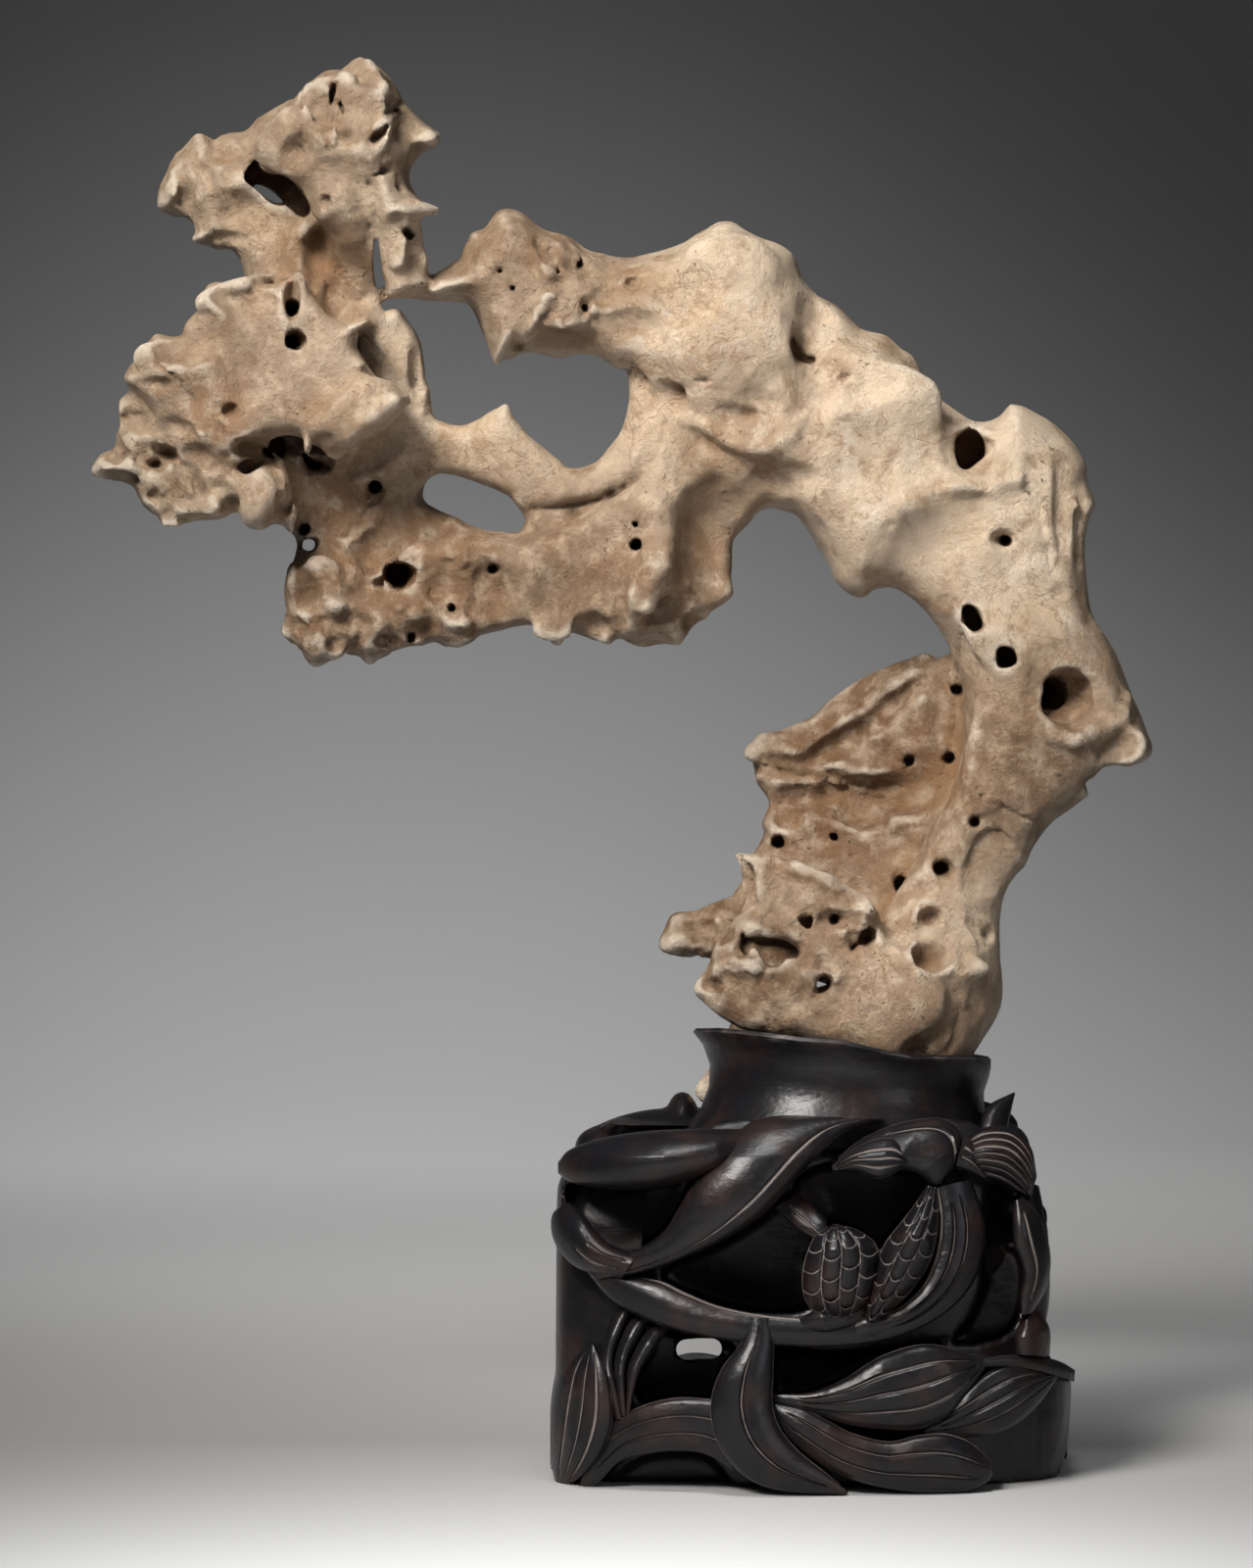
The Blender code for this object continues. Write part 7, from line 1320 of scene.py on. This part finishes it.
def block_field(step):
    """The core of the stand with its mounds and hollows; the piercing is cut afterwards by
    pierce().
    """
    field = Field(STAND_LOW, STAND_HIGH, step)
    x, y, z = [a.astype(np.float32) for a in np.ix_(*field.axes)]
    outline = rounded(on_sheet(BLOCK_OUTLINE), 1)
    flat = outline_distance(outline, x[:, 0, :], z[0, :, :])[:, None, :]
    rows = [up(b) for b in BLOCK_ROWS]
    fullness = np.interp(z, rows[::-1], BLOCK_FULLNESS[::-1])
    deep = np.abs((y - CORE_MIDDLE) / (CORE_DEPTH * fullness))
    plan = (np.abs(x / CORE_REACH) ** 3 + deep ** 3) ** (1 / 3)
    plan = ((plan - 1) * CORE_DEPTH).astype(np.float32)
    field.value = -smooth_least(-np.broadcast_to(flat, field.value.shape), -plan, 6.0)
    for column, y, row, radii, turn in MOUNDS:
        field.join(Egg((across(column), y, up(row)), radii, turn), 3)
    for side in (FRONT, BACK):
        for outline, depth in CORE_VOIDS:
            outline = [(x * -side, z) for x, z in on_sheet(outline)]
            middle = side * (VOID_MOUTH + depth) / 2
            field.carve(Slab(outline, middle, (VOID_MOUTH - depth) / 2, 5), 2.5)
    return field


def pierce(field):
    """The one piercing that goes right through the block."""
    for column, row in PIERCING:
        ends = (STAND_LOW[1], STAND_HIGH[1])
        field.carve(rods([(column, y, row, PIERCING_RADIUS) for y in ends]), 1.0)


def floor_cut(field):
    """Height of the floor above each lattice point, seen on the sheet."""
    y = field.axes[1][None, :, None]
    z = field.axes[2][None, None, :]
    return (SIGHT_Z * y / (y + SIGHT_DISTANCE) - z).astype(np.float32)


def blurred(value, reach):
    """Running mean over `reach` lattice steps each way, three times over."""
    wide = 2 * reach + 1
    for _ in range(3):
        for axis in range(3):
            pad = [(0, 0)] * 3
            pad[axis] = (reach + 1, reach)
            total = np.cumsum(np.pad(value, pad, mode="edge"), axis, dtype=np.float64)
            count = total.shape[axis]
            value = (np.take(total, np.arange(wide, count), axis)
                     - np.take(total, np.arange(count - wide), axis)) / wide
            value = value.astype(np.float32)
    return value


def read_at(value, low, step, points):
    """Value of a lattice at any points, blended from the eight nearest."""
    place = np.clip((points - low) / step, 0, np.array(value.shape) - 1.001)
    first = place.astype(int)
    t = place - first
    out = 0
    for i in (0, 1):
        for j in (0, 1):
            for k in (0, 1):
                share = np.abs(np.array((1 - i, 1 - j, 1 - k)) - t).prod(1)
                out = out + share * value[first[:, 0] + i, first[:, 1] + j, first[:, 2] + k]
    return out


def new_object(name, points, faces, marks=None, sharp=None):
    """A mesh object from millimetre points in real space, smooth, with point values."""
    mesh = bpy.data.meshes.new(name)
    mesh.from_pydata((points * SCALE).tolist(), [], faces)
    mesh.shade_smooth()
    if sharp:
        mesh.set_sharp_from_angle(angle=math.radians(sharp))
    for label, values in (marks or {}).items():
        mark = mesh.attributes.new(label, "FLOAT", "POINT")
        mark.data.foreach_set("value", np.asarray(values, np.float32))
    item = bpy.data.objects.new(name, mesh)
    bpy.context.scene.collection.objects.link(item)
    return item


def thinned(points, quads, faces):
    """Points and triangles of a fine skin with its flatter areas merged."""
    mesh = bpy.data.meshes.new("skin")
    mesh.from_pydata(points.tolist(), [], quads.tolist())
    item = bpy.data.objects.new("skin", mesh)
    bpy.context.scene.collection.objects.link(item)
    thin = item.modifiers.new("thin", "DECIMATE")
    thin.ratio = faces / (2 * len(quads))
    done = item.evaluated_get(bpy.context.evaluated_depsgraph_get()).to_mesh()
    out = np.empty(len(done.vertices) * 3)
    done.vertices.foreach_get("co", out)
    done.calc_loop_triangles()
    corners = np.empty(len(done.loop_triangles) * 3, np.int32)
    done.loop_triangles.foreach_get("vertices", corners)
    bpy.data.objects.remove(item)
    bpy.data.meshes.remove(mesh)
    return out.reshape(-1, 3), corners.reshape(-1, 3)


def fine_stone(step):
    """The stone's field with the small relief that the coarse solid leaves out."""
    field = stone_field(step)
    rng = np.random.default_rng(STONE_SEED + 1)
    rough = rough_map(field)
    flakes = np.abs(lattice_noise(field.axes, FLAKE_CELL, rng)) * 1.7 - 0.5
    field.value += (0.12 + 0.3 * rough) * flakes
    scallop(field, rng, *FINE_SCALLOPS)
    scallop(field, rng, *FINE_CRAG_SCALLOPS, rough)
    return field


def stone_surface(step, faces):
    """Points in real space, triangles, and for each point how sheltered it is, how stained, its
    brown skin with painted shade, and where the hollows' colour is left off.
    """
    field = fine_stone(step)
    points, quads = field.skin()
    points, triangles = thinned(points, quads, faces)
    inside = (field.value[::2, ::2, ::2] < 0).astype(np.float32)
    marks = {}
    # How enclosed each point is; the colour darkens with it, weathering together with painted
    # shade.
    for label, reach in HOLLOW_REACH:
        near = blurred(inside, max(1, round(reach / (2 * step))))
        marks[label] = read_at(near, field.low, 2 * step, points)
    # Stains; brown skin together with painted shade; and where the ochre and painted shade of the
    # hollows are left off.
    for label, areas, fall in (("stain", STAINS, 1), ("patina", PATINA_AND_SHADE, 1.5), ("bare", BARE_AND_UNSHADED, 1.5)):
        mark = np.zeros(len(points))
        for column, row, reach, strength in areas:
            near = (points[:, 0] - across(column)) ** 2 + (points[:, 2] - up(row)) ** 2
            mark = np.maximum(mark, strength * np.exp(-(near / (reach / 2) ** 2) ** fall))
        marks[label] = mark
    return to_space(sway(points)), triangles, marks


class Finish:
    """A named material, built one node at a time."""

    def __init__(self, name):
        self.material = bpy.data.materials.new(name)
        self.material.use_nodes = True
        self.nodes = self.material.node_tree.nodes
        self.links = self.material.node_tree.links
        self.shader = self.nodes["Principled BSDF"]
        self.place = self.nodes.new("ShaderNodeTexCoord").outputs["Object"]

    def put(self, socket, value):
        if isinstance(value, bpy.types.NodeSocket):
            self.links.new(value, socket)
        else:
            socket.default_value = value

    def mark(self, label):
        node = self.nodes.new("ShaderNodeAttribute")
        node.attribute_name = label
        return node.outputs["Fac"]

    def noise(self, scale, detail=4.0, rough=0.55, twist=0.0, stretch=None):
        node = self.nodes.new("ShaderNodeTexNoise")
        place = self.place
        if stretch:
            turn = self.nodes.new("ShaderNodeMapping")
            turn.inputs["Scale"].default_value = stretch
            self.put(turn.inputs["Vector"], place)
            place = turn.outputs[0]
        self.put(node.inputs["Vector"], place)
        node.inputs["Scale"].default_value = scale
        node.inputs["Detail"].default_value = detail
        node.inputs["Roughness"].default_value = rough
        node.inputs["Distortion"].default_value = twist
        return node.outputs["Fac"]

    def seams(self, scale, warp):
        """Distance to the walls between uneven cells."""
        swirl = self.nodes.new("ShaderNodeTexNoise")
        swirl.inputs["Scale"].default_value = scale * 1.7
        swirl.inputs["Detail"].default_value = 5.0
        self.put(swirl.inputs["Vector"], self.place)
        push = self.nodes.new("ShaderNodeVectorMath")
        push.operation = "MULTIPLY_ADD"
        self.put(push.inputs[0], swirl.outputs["Color"])
        push.inputs[1].default_value = (warp, warp, warp)
        self.put(push.inputs[2], self.place)
        node = self.nodes.new("ShaderNodeTexVoronoi")
        node.feature = "DISTANCE_TO_EDGE"
        self.put(node.inputs["Vector"], push.outputs[0])
        node.inputs["Scale"].default_value = scale
        return node.outputs["Distance"]

    def span(self, value, low, high, start=0.0, end=1.0):
        """Map low..high to start..end, softly."""
        node = self.nodes.new("ShaderNodeMapRange")
        node.interpolation_type = "SMOOTHSTEP"
        self.put(node.inputs["Value"], value)
        node.inputs["From Min"].default_value = low
        node.inputs["From Max"].default_value = high
        node.inputs["To Min"].default_value = start
        node.inputs["To Max"].default_value = end
        return node.outputs["Result"]

    def sums(self, operation, one, two):
        node = self.nodes.new("ShaderNodeMath")
        node.operation = operation
        self.put(node.inputs[0], one)
        self.put(node.inputs[1], two)
        return node.outputs[0]

    def times(self, one, two):
        return self.sums("MULTIPLY", one, two)

    def plus(self, one, two):
        return self.sums("ADD", one, two)

    def swing(self, noise, reach):
        """A noise turned to swing about nothing."""
        return self.times(self.plus(noise, -0.5), reach)

    def crest(self, noise):
        """Distance of a noise from its middle, which makes lines and creases."""
        return self.sums("ABSOLUTE", self.plus(noise, -0.5), 0)

    def blend(self, share, one, two):
        node = self.nodes.new("ShaderNodeMix")
        node.data_type = "RGBA"
        self.put(node.inputs[0], share)
        self.put(node.inputs[6], one)
        self.put(node.inputs[7], two)
        return node.outputs[2]

    def relief(self, height, depth, strength, under=None):
        node = self.nodes.new("ShaderNodeBump")
        node.inputs["Strength"].default_value = strength
        node.inputs["Distance"].default_value = depth
        self.put(node.inputs["Height"], height)
        if under:
            self.put(node.inputs["Normal"], under)
        return node.outputs["Normal"]


def pale_stone(look):
    """Cream limestone; ochre and brown in its hollows, its own weathering together with painted
    shade; pale where it stands proud, rubbed stone together with painted highlight.
    """
    f = Finish("weathered_limestone")
    broad = f.noise(16, 5, 0.6, 0.3)
    small = f.noise(95, 6, 0.65)
    grain = f.noise(620, 4, 0.75)
    hollow = f.mark("hollow")
    shelter = f.mark("shelter")
    # Where the painted shade and ochre of the hollows are left off.
    bare = f.mark("bare")
    web = f.span(f.crest(f.noise(30, 7, 0.62, 1.2)), 0, 0.022, 0.6, 0)
    uneven = f.swing(small, 0.22)
    # Ochre and brown by how enclosed a point is: weathering together with painted shade.
    shaded = f.span(f.plus(shelter, uneven), 0.52, 0.72, 0, 0.9)
    deep = f.span(f.plus(hollow, uneven), 0.58, 0.84, 0, 0.92)
    pale = f.span(f.noise(24, 4, 0.6), 0.44, 0.62, 0, 0.5)
    dense = f.span(f.noise(48, 4, 0.7), 0.44, 0.62, 0.12, 0.62)
    crack = f.span(f.seams(17, 0.035), 0.0, 0.012, 1, 0)
    crack = f.times(crack, f.span(f.noise(22, 3, 0.5), 0.52, 0.64, 0, 0.6))
    pits = f.span(f.noise(300, 3, 0.6), 0.63, 0.7)
    pits = f.times(pits, f.span(f.noise(27, 3, 0.6), 0.5, 0.6))
    coats = (
        (f.span(broad, 0.42, 0.7, 0, 0.7), look.tan),
        (f.span(f.noise(42, 7, 0.72, 0.5), 0.46, 0.68, 0, 0.7), look.ochre),
        (f.times(web, f.span(f.noise(14, 3, 0.5), 0.4, 0.6)), look.ochre),
        (f.times(f.span(small, 0.5, 0.6), pale), look.chalk_and_highlight),
        # Brown skin together with painted shade where the stone faces away from the light.
        (f.times(f.mark("patina"), f.span(small, 0.3, 0.62, 0.55, 1)), look.patina),
        (f.times(f.span(grain, 0.54, 0.68), dense), look.ochre),
        # Painted shade, with the hollows' own weathering, in sheltered places and the depths of
        # hollows; left off inside the elbow's cup.
        (f.times(shaded, f.span(bare, 0, 1, 1, 0.3)), look.ochre),
        (f.times(deep, f.span(bare, 0, 1, 1, 0.1)), look.brown),
        # Painted highlight, with rubbed pale stone, where a point stands proud of its neighbours.
        (f.span(f.plus(hollow, f.times(uneven, 0.6)), 0.42, 0.26, 0, 0.5), look.chalk_and_highlight),
        (f.times(f.mark("stain"), f.span(small, 0.36, 0.56)), look.rust),
        (crack, look.ochre),
        (f.times(pits, 0.8), look.brown),
    )
    colour = look.colour
    for share, tint in coats:
        colour = f.blend(share, colour, tint)
    f.put(f.shader.inputs["Base Color"], colour)
    rough = f.span(f.noise(60, 4, 0.6), 0.3, 0.7, look.roughness - 0.08, look.roughness + 0.1)
    f.put(f.shader.inputs["Roughness"], rough)
    height = f.plus(f.noise(330, 6, 0.75), f.times(pits, -0.5))
    height = f.plus(height, f.times(crack, -0.25))
    normal = f.relief(f.times(f.crest(f.noise(85, 6, 0.7, 0.4)), -1), 0.009, look.relief)
    f.put(f.shader.inputs["Normal"], f.relief(height, 0.004, look.relief, normal))
    return f.material


def dark_wood(look):
    """Near-black stained hardwood, half gloss, rubbed brown in broad patches, pale on the edges and
    in the veins: rubbed wood together with painted highlight.
    """
    f = Finish("rubbed_hardwood")
    broad = f.noise(34, 4, 0.6)
    grain = f.noise(150, 5, 0.7, 0.0, (0.35, 1, 1))
    colour = f.blend(f.span(broad, 0.45, 0.75, 0, 0.6), look.colour, look.rubbed)
    # Pale edges, veins and scale lines: rubbed wood together with painted highlight.
    broken = f.plus(f.mark("wear"), f.swing(grain, 0.9))
    colour = f.blend(f.span(broken, 0.35, 0.95, 0, 0.9), colour, look.worn_and_highlight)
    f.put(f.shader.inputs["Base Color"], colour)
    handled = f.plus(broken, f.swing(broad, 1.2))
    rough = f.span(handled, 0.0, 1.1, look.roughness - 0.08, look.roughness + 0.22)
    f.put(f.shader.inputs["Roughness"], rough)
    f.shader.inputs["Specular IOR Level"].default_value = look.gloss
    normal = f.relief(f.noise(55, 3, 0.5), 0.003, look.relief)
    f.put(f.shader.inputs["Normal"], f.relief(grain, 0.0012, look.relief, normal))
    return f.material


def studio_grey(look):
    """Matt grey paper, a little uneven."""
    f = Finish("studio_grey")
    shade = [channel * 0.97 for channel in look.floor]
    f.put(f.shader.inputs["Base Color"], f.blend(f.noise(3, 2), look.floor, shade))
    f.shader.inputs["Roughness"].default_value = 0.75
    return f.material


def shared(name, make, look):
    """The material of this name, made the first time it is asked for."""
    return bpy.data.materials.get(name) or make(look)


def placed(name, points, faces, node, material, marks=None, sharp=None):
    """A piece of the object, riding with the whole and standing for its plain solid."""
    item = new_object(name, points, faces, marks, sharp)
    item.data.materials.append(material)
    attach(item, "root")
    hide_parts(node)


def on_floor(points):
    """Real-space points with none below the floor."""
    points = to_space(points)
    points[:, 2] = np.maximum(points[:, 2], 0.0)
    return points


def paint(name, about, *channels):
    """A colour to choose in the panel."""
    return bpy.props.FloatVectorProperty(
        name=name, description=about, subtype="COLOR", size=4, default=(*channels, 1))


def amount(name, about, start):
    """A strength from none to all."""
    return bpy.props.FloatProperty(
        name=name, description=about, default=start, min=0, max=1, subtype="FACTOR")


def watts(name, about, start):
    """The power of a lamp."""
    return bpy.props.FloatProperty(
        name=name, description=about, default=start, min=0, unit="POWER")


class StoneSettings(bpy.types.PropertyGroup):
    lattice: bpy.props.FloatProperty(
        name="Lattice", description="Spacing of the lattice the stone is cut on",
        default=0.0015, min=0.001, max=0.006, unit="LENGTH", precision=4)
    faces: bpy.props.IntProperty(
        name="Triangles", description="Triangles kept on the stone", default=196000, min=5000,
        max=MOST_FACES)
    colour: paint("Cream", "Ground colour of the stone", 0.72, 0.575, 0.42)
    tan: paint("Tan", "Warmer areas", 0.56, 0.405, 0.25)
    # Also paints highlight on proud ridges, with their rubbed pale stone.
    chalk_and_highlight: paint("Chalk", "Pale, rubbed ridges", 0.86, 0.76, 0.63)
    # Also carries painted shade in sheltered places.
    ochre: paint("Ochre", "Sheltered places", 0.30, 0.175, 0.085)
    # Also carries painted shade in the depths of pits and bores.
    brown: paint("Brown", "Depths of pits and bores", 0.075, 0.04, 0.02)
    rust: paint("Rust", "Iron stains", 0.26, 0.135, 0.06)
    # Also the colour of painted shade on the parts that face away from the light.
    patina: paint("Patina", "Grey-brown skin of the lower and inner parts", 0.14, 0.071, 0.028)
    roughness: amount("Roughness", "How matt the stone is", 0.5)
    relief: amount("Grain", "Strength of the fine grain", 0.7)


class StandSettings(bpy.types.PropertyGroup):
    lattice: bpy.props.FloatProperty(
        name="Lattice", description="Spacing of the lattice the core is cut on",
        default=0.0018, min=0.001, max=0.006, unit="LENGTH", precision=4)
    faces: bpy.props.IntProperty(
        name="Triangles", description="Triangles kept on the core", default=90000, min=5000,
        max=MOST_FACES)
    fineness: bpy.props.FloatProperty(
        name="Fineness",
        description="Rows and files of points along a leaf, against the plain solid", default=1.7,
        min=0.5, max=2.5)
    colour: paint("Stain", "Ground colour of the wood", 0.006, 0.0055, 0.0068)
    rubbed: paint("Rubbed", "Red-brown where hands have rubbed", 0.034, 0.016, 0.0115)
    # Also the colour of painted highlight along edges and veins.
    worn_and_highlight: paint("Worn", "Bare edges and the floors of the veins", 0.2, 0.17, 0.155)
    roughness: amount("Roughness", "How matt the wood is", 0.4)
    gloss: amount("Gloss", "Strength of the reflections", 0.32)
    relief: amount("Grain", "Strength of the grain", 0.3)


class StageSettings(bpy.types.PropertyGroup):
    floor: paint("Sweep", "Colour of the floor and backdrop", 0.4, 0.4, 0.4)
    front: bpy.props.FloatProperty(
        name="Front", description="How far the floor comes forward", default=2.2, unit="LENGTH")
    back: bpy.props.FloatProperty(
        name="Depth", description="Flat floor behind the object", default=2.3, unit="LENGTH")
    curve: bpy.props.FloatProperty(
        name="Curve", description="Radius of the sweep", default=1.6, unit="LENGTH")
    key: watts("Key", "Power of the main light", 6.7)
    fill: watts("Fill", "Power of the light opposite", 0.8)
    table: watts("Table", "Power of the light over the floor", 5.0)
    backdrop: watts("Backdrop", "Power of the light on the sweep", 7.9)
    distance: watts("Distance", "Power of the light where the sweep rises", 5.1)
    middle: watts("Middle", "Power of the light behind the object", 0.33)
    beyond: watts("Beyond", "Power of the light over the far floor", 0.62)
    side: watts("Side", "Power of the light in the shadow at the right", 0.34)
    room: bpy.props.FloatProperty(
        name="Room", description="Light of the room itself", default=0.045, min=0)


class SCHOLAR_OT_stone(bpy.types.Operator):
    """Build the pierced, leaning stone"""
    bl_idname = "scholar.stone"
    bl_label = "Stone"

    def execute(self, context):
        look = context.scene.scholar_stone
        points, triangles, marks = stone_surface(look.lattice / SCALE, look.faces)
        placed("limestone", points, triangles.tolist(), "rock",
               shared("weathered_limestone", pale_stone, look), marks)
        return {"FINISHED"}


class SCHOLAR_OT_core(bpy.types.Operator):
    """Build the stand's pierced core"""
    bl_idname = "scholar.core"
    bl_label = "Core of the stand"

    def execute(self, context):
        look = context.scene.scholar_stand
        field = block_field(look.lattice / SCALE)
        pierce(field)
        field.value = np.maximum(field.value, floor_cut(field))
        points, triangles = thinned(*field.skin(), look.faces)
        placed("stand_core", on_floor(points), triangles.tolist(), "stand",
               shared("rubbed_hardwood", dark_wood, look), {"wear": np.zeros(len(points))},
               SHARP_CORE)
        return {"FINISHED"}


class SCHOLAR_OT_carving(bpy.types.Operator):
    """Build the collar, leaves, buds and cobs of the stand"""
    bl_idname = "scholar.carving"
    bl_label = "Collar and leaves"

    def execute(self, context):
        look = context.scene.scholar_stand
        for name, points, quads, triangles, wear in carvings(look.fineness):
            placed(name, on_floor(points), quads.tolist() + triangles.tolist(), "stand",
                   shared("rubbed_hardwood", dark_wood, look), {"wear": wear},
                   SHARP_EDGE)
        return {"FINISHED"}


class SCHOLAR_OT_stage(bpy.types.Operator):
    """Build the floor, its sweep, the lights and the camera"""
    bl_idname = "scholar.stage"
    bl_label = "Studio"

    def execute(self, context):
        look = context.scene.scholar_stage
        turn = np.linspace(0, math.pi / 2, SWEEP_STEPS)
        profile = [(-look.front, 0.0)]
        profile += [(look.back + look.curve * math.sin(a), look.curve * (1 - math.cos(a)))
                    for a in turn]
        profile += [(look.back + look.curve, WALL_TOP)]
        points = np.array([(x, y, z) for y, z in profile for x in (-HALF_WALL, HALF_WALL)]) / SCALE
        faces = [(2 * i, 2 * i + 1, 2 * i + 3, 2 * i + 2) for i in range(len(profile) - 1)]
        sweep = new_object("studio_sweep", points, faces)
        sweep.data.materials.append(studio_grey(look))
        for name, place, target, size, spread, tint in LAMPS:
            lamp(name, place, target, size, spread, tint, getattr(look, name))
        room = bpy.data.worlds.new("room")
        room.use_nodes = True
        room.node_tree.nodes["Background"].inputs[0].default_value = (0.97, 0.99, 1.0, 1)
        room.node_tree.nodes["Background"].inputs[1].default_value = look.room
        context.scene.world = room
        context.scene.view_settings.view_transform = "Standard"
        lens = bpy.data.cameras.new("camera")
        lens.sensor_width = FILM_WIDTH
        lens.lens = lens.sensor_width * SIGHT_DISTANCE / SHEET_HEIGHT
        eye = bpy.data.objects.new("camera", lens)
        eye.location = (SIGHT_X * SCALE, -SIGHT_DISTANCE * SCALE, SIGHT_Z * SCALE)
        eye.rotation_euler = (math.pi / 2, 0, 0)
        context.scene.collection.objects.link(eye)
        context.scene.camera = eye
        return {"FINISHED"}


def lamp(name, place, target, size, spread, tint, power):
    """A square studio light that looks at a place."""
    light = bpy.data.lights.new(name, "AREA")
    light.size = size
    light.spread = math.radians(spread)
    light.color = tint
    light.energy = power
    item = bpy.data.objects.new(name, light)
    item.location = place
    aim = item.location.copy()
    aim.xyz = target
    item.rotation_euler = (aim - item.location).to_track_quat("-Z", "Y").to_euler()
    bpy.context.scene.collection.objects.link(item)


class SCHOLAR_PT_panel(bpy.types.Panel):
    """Lists the pieces and their settings"""
    bl_idname = "SCHOLAR_PT_panel"
    bl_label = "Scholar's rock"
    bl_space_type = "VIEW_3D"
    bl_region_type = "UI"
    bl_category = "Scholar's rock"

    def draw(self, context):
        for settings, makers in GROUPS:
            box = self.layout.box()
            look = getattr(context.scene, settings)
            for name in look.bl_rna.properties.keys():
                if name not in ("rna_type", "name"):
                    box.prop(look, name)
            for maker in makers:
                box.operator(maker.bl_idname)


GROUPS = (("scholar_stone", (SCHOLAR_OT_stone,)),
          ("scholar_stand", (SCHOLAR_OT_core, SCHOLAR_OT_carving)),
          ("scholar_stage", (SCHOLAR_OT_stage,)))
SETTINGS = {"scholar_stone": StoneSettings, "scholar_stand": StandSettings,
            "scholar_stage": StageSettings}
CLASSES = (StoneSettings, StandSettings, StageSettings, SCHOLAR_OT_stone, SCHOLAR_OT_core,
           SCHOLAR_OT_carving, SCHOLAR_OT_stage, SCHOLAR_PT_panel)


def register():
    for kind in CLASSES:
        bpy.utils.register_class(kind)
    for name, kind in SETTINGS.items():
        setattr(bpy.types.Scene, name, bpy.props.PointerProperty(type=kind))


def unregister():
    for name in SETTINGS:
        delattr(bpy.types.Scene, name)
    for kind in reversed(CLASSES):
        bpy.utils.unregister_class(kind)


def main():
    register()
    bpy.ops.scholar.stage()
    bpy.ops.scholar.stone()
    bpy.ops.scholar.core()
    bpy.ops.scholar.carving()


if __name__ == "__main__":
    main()
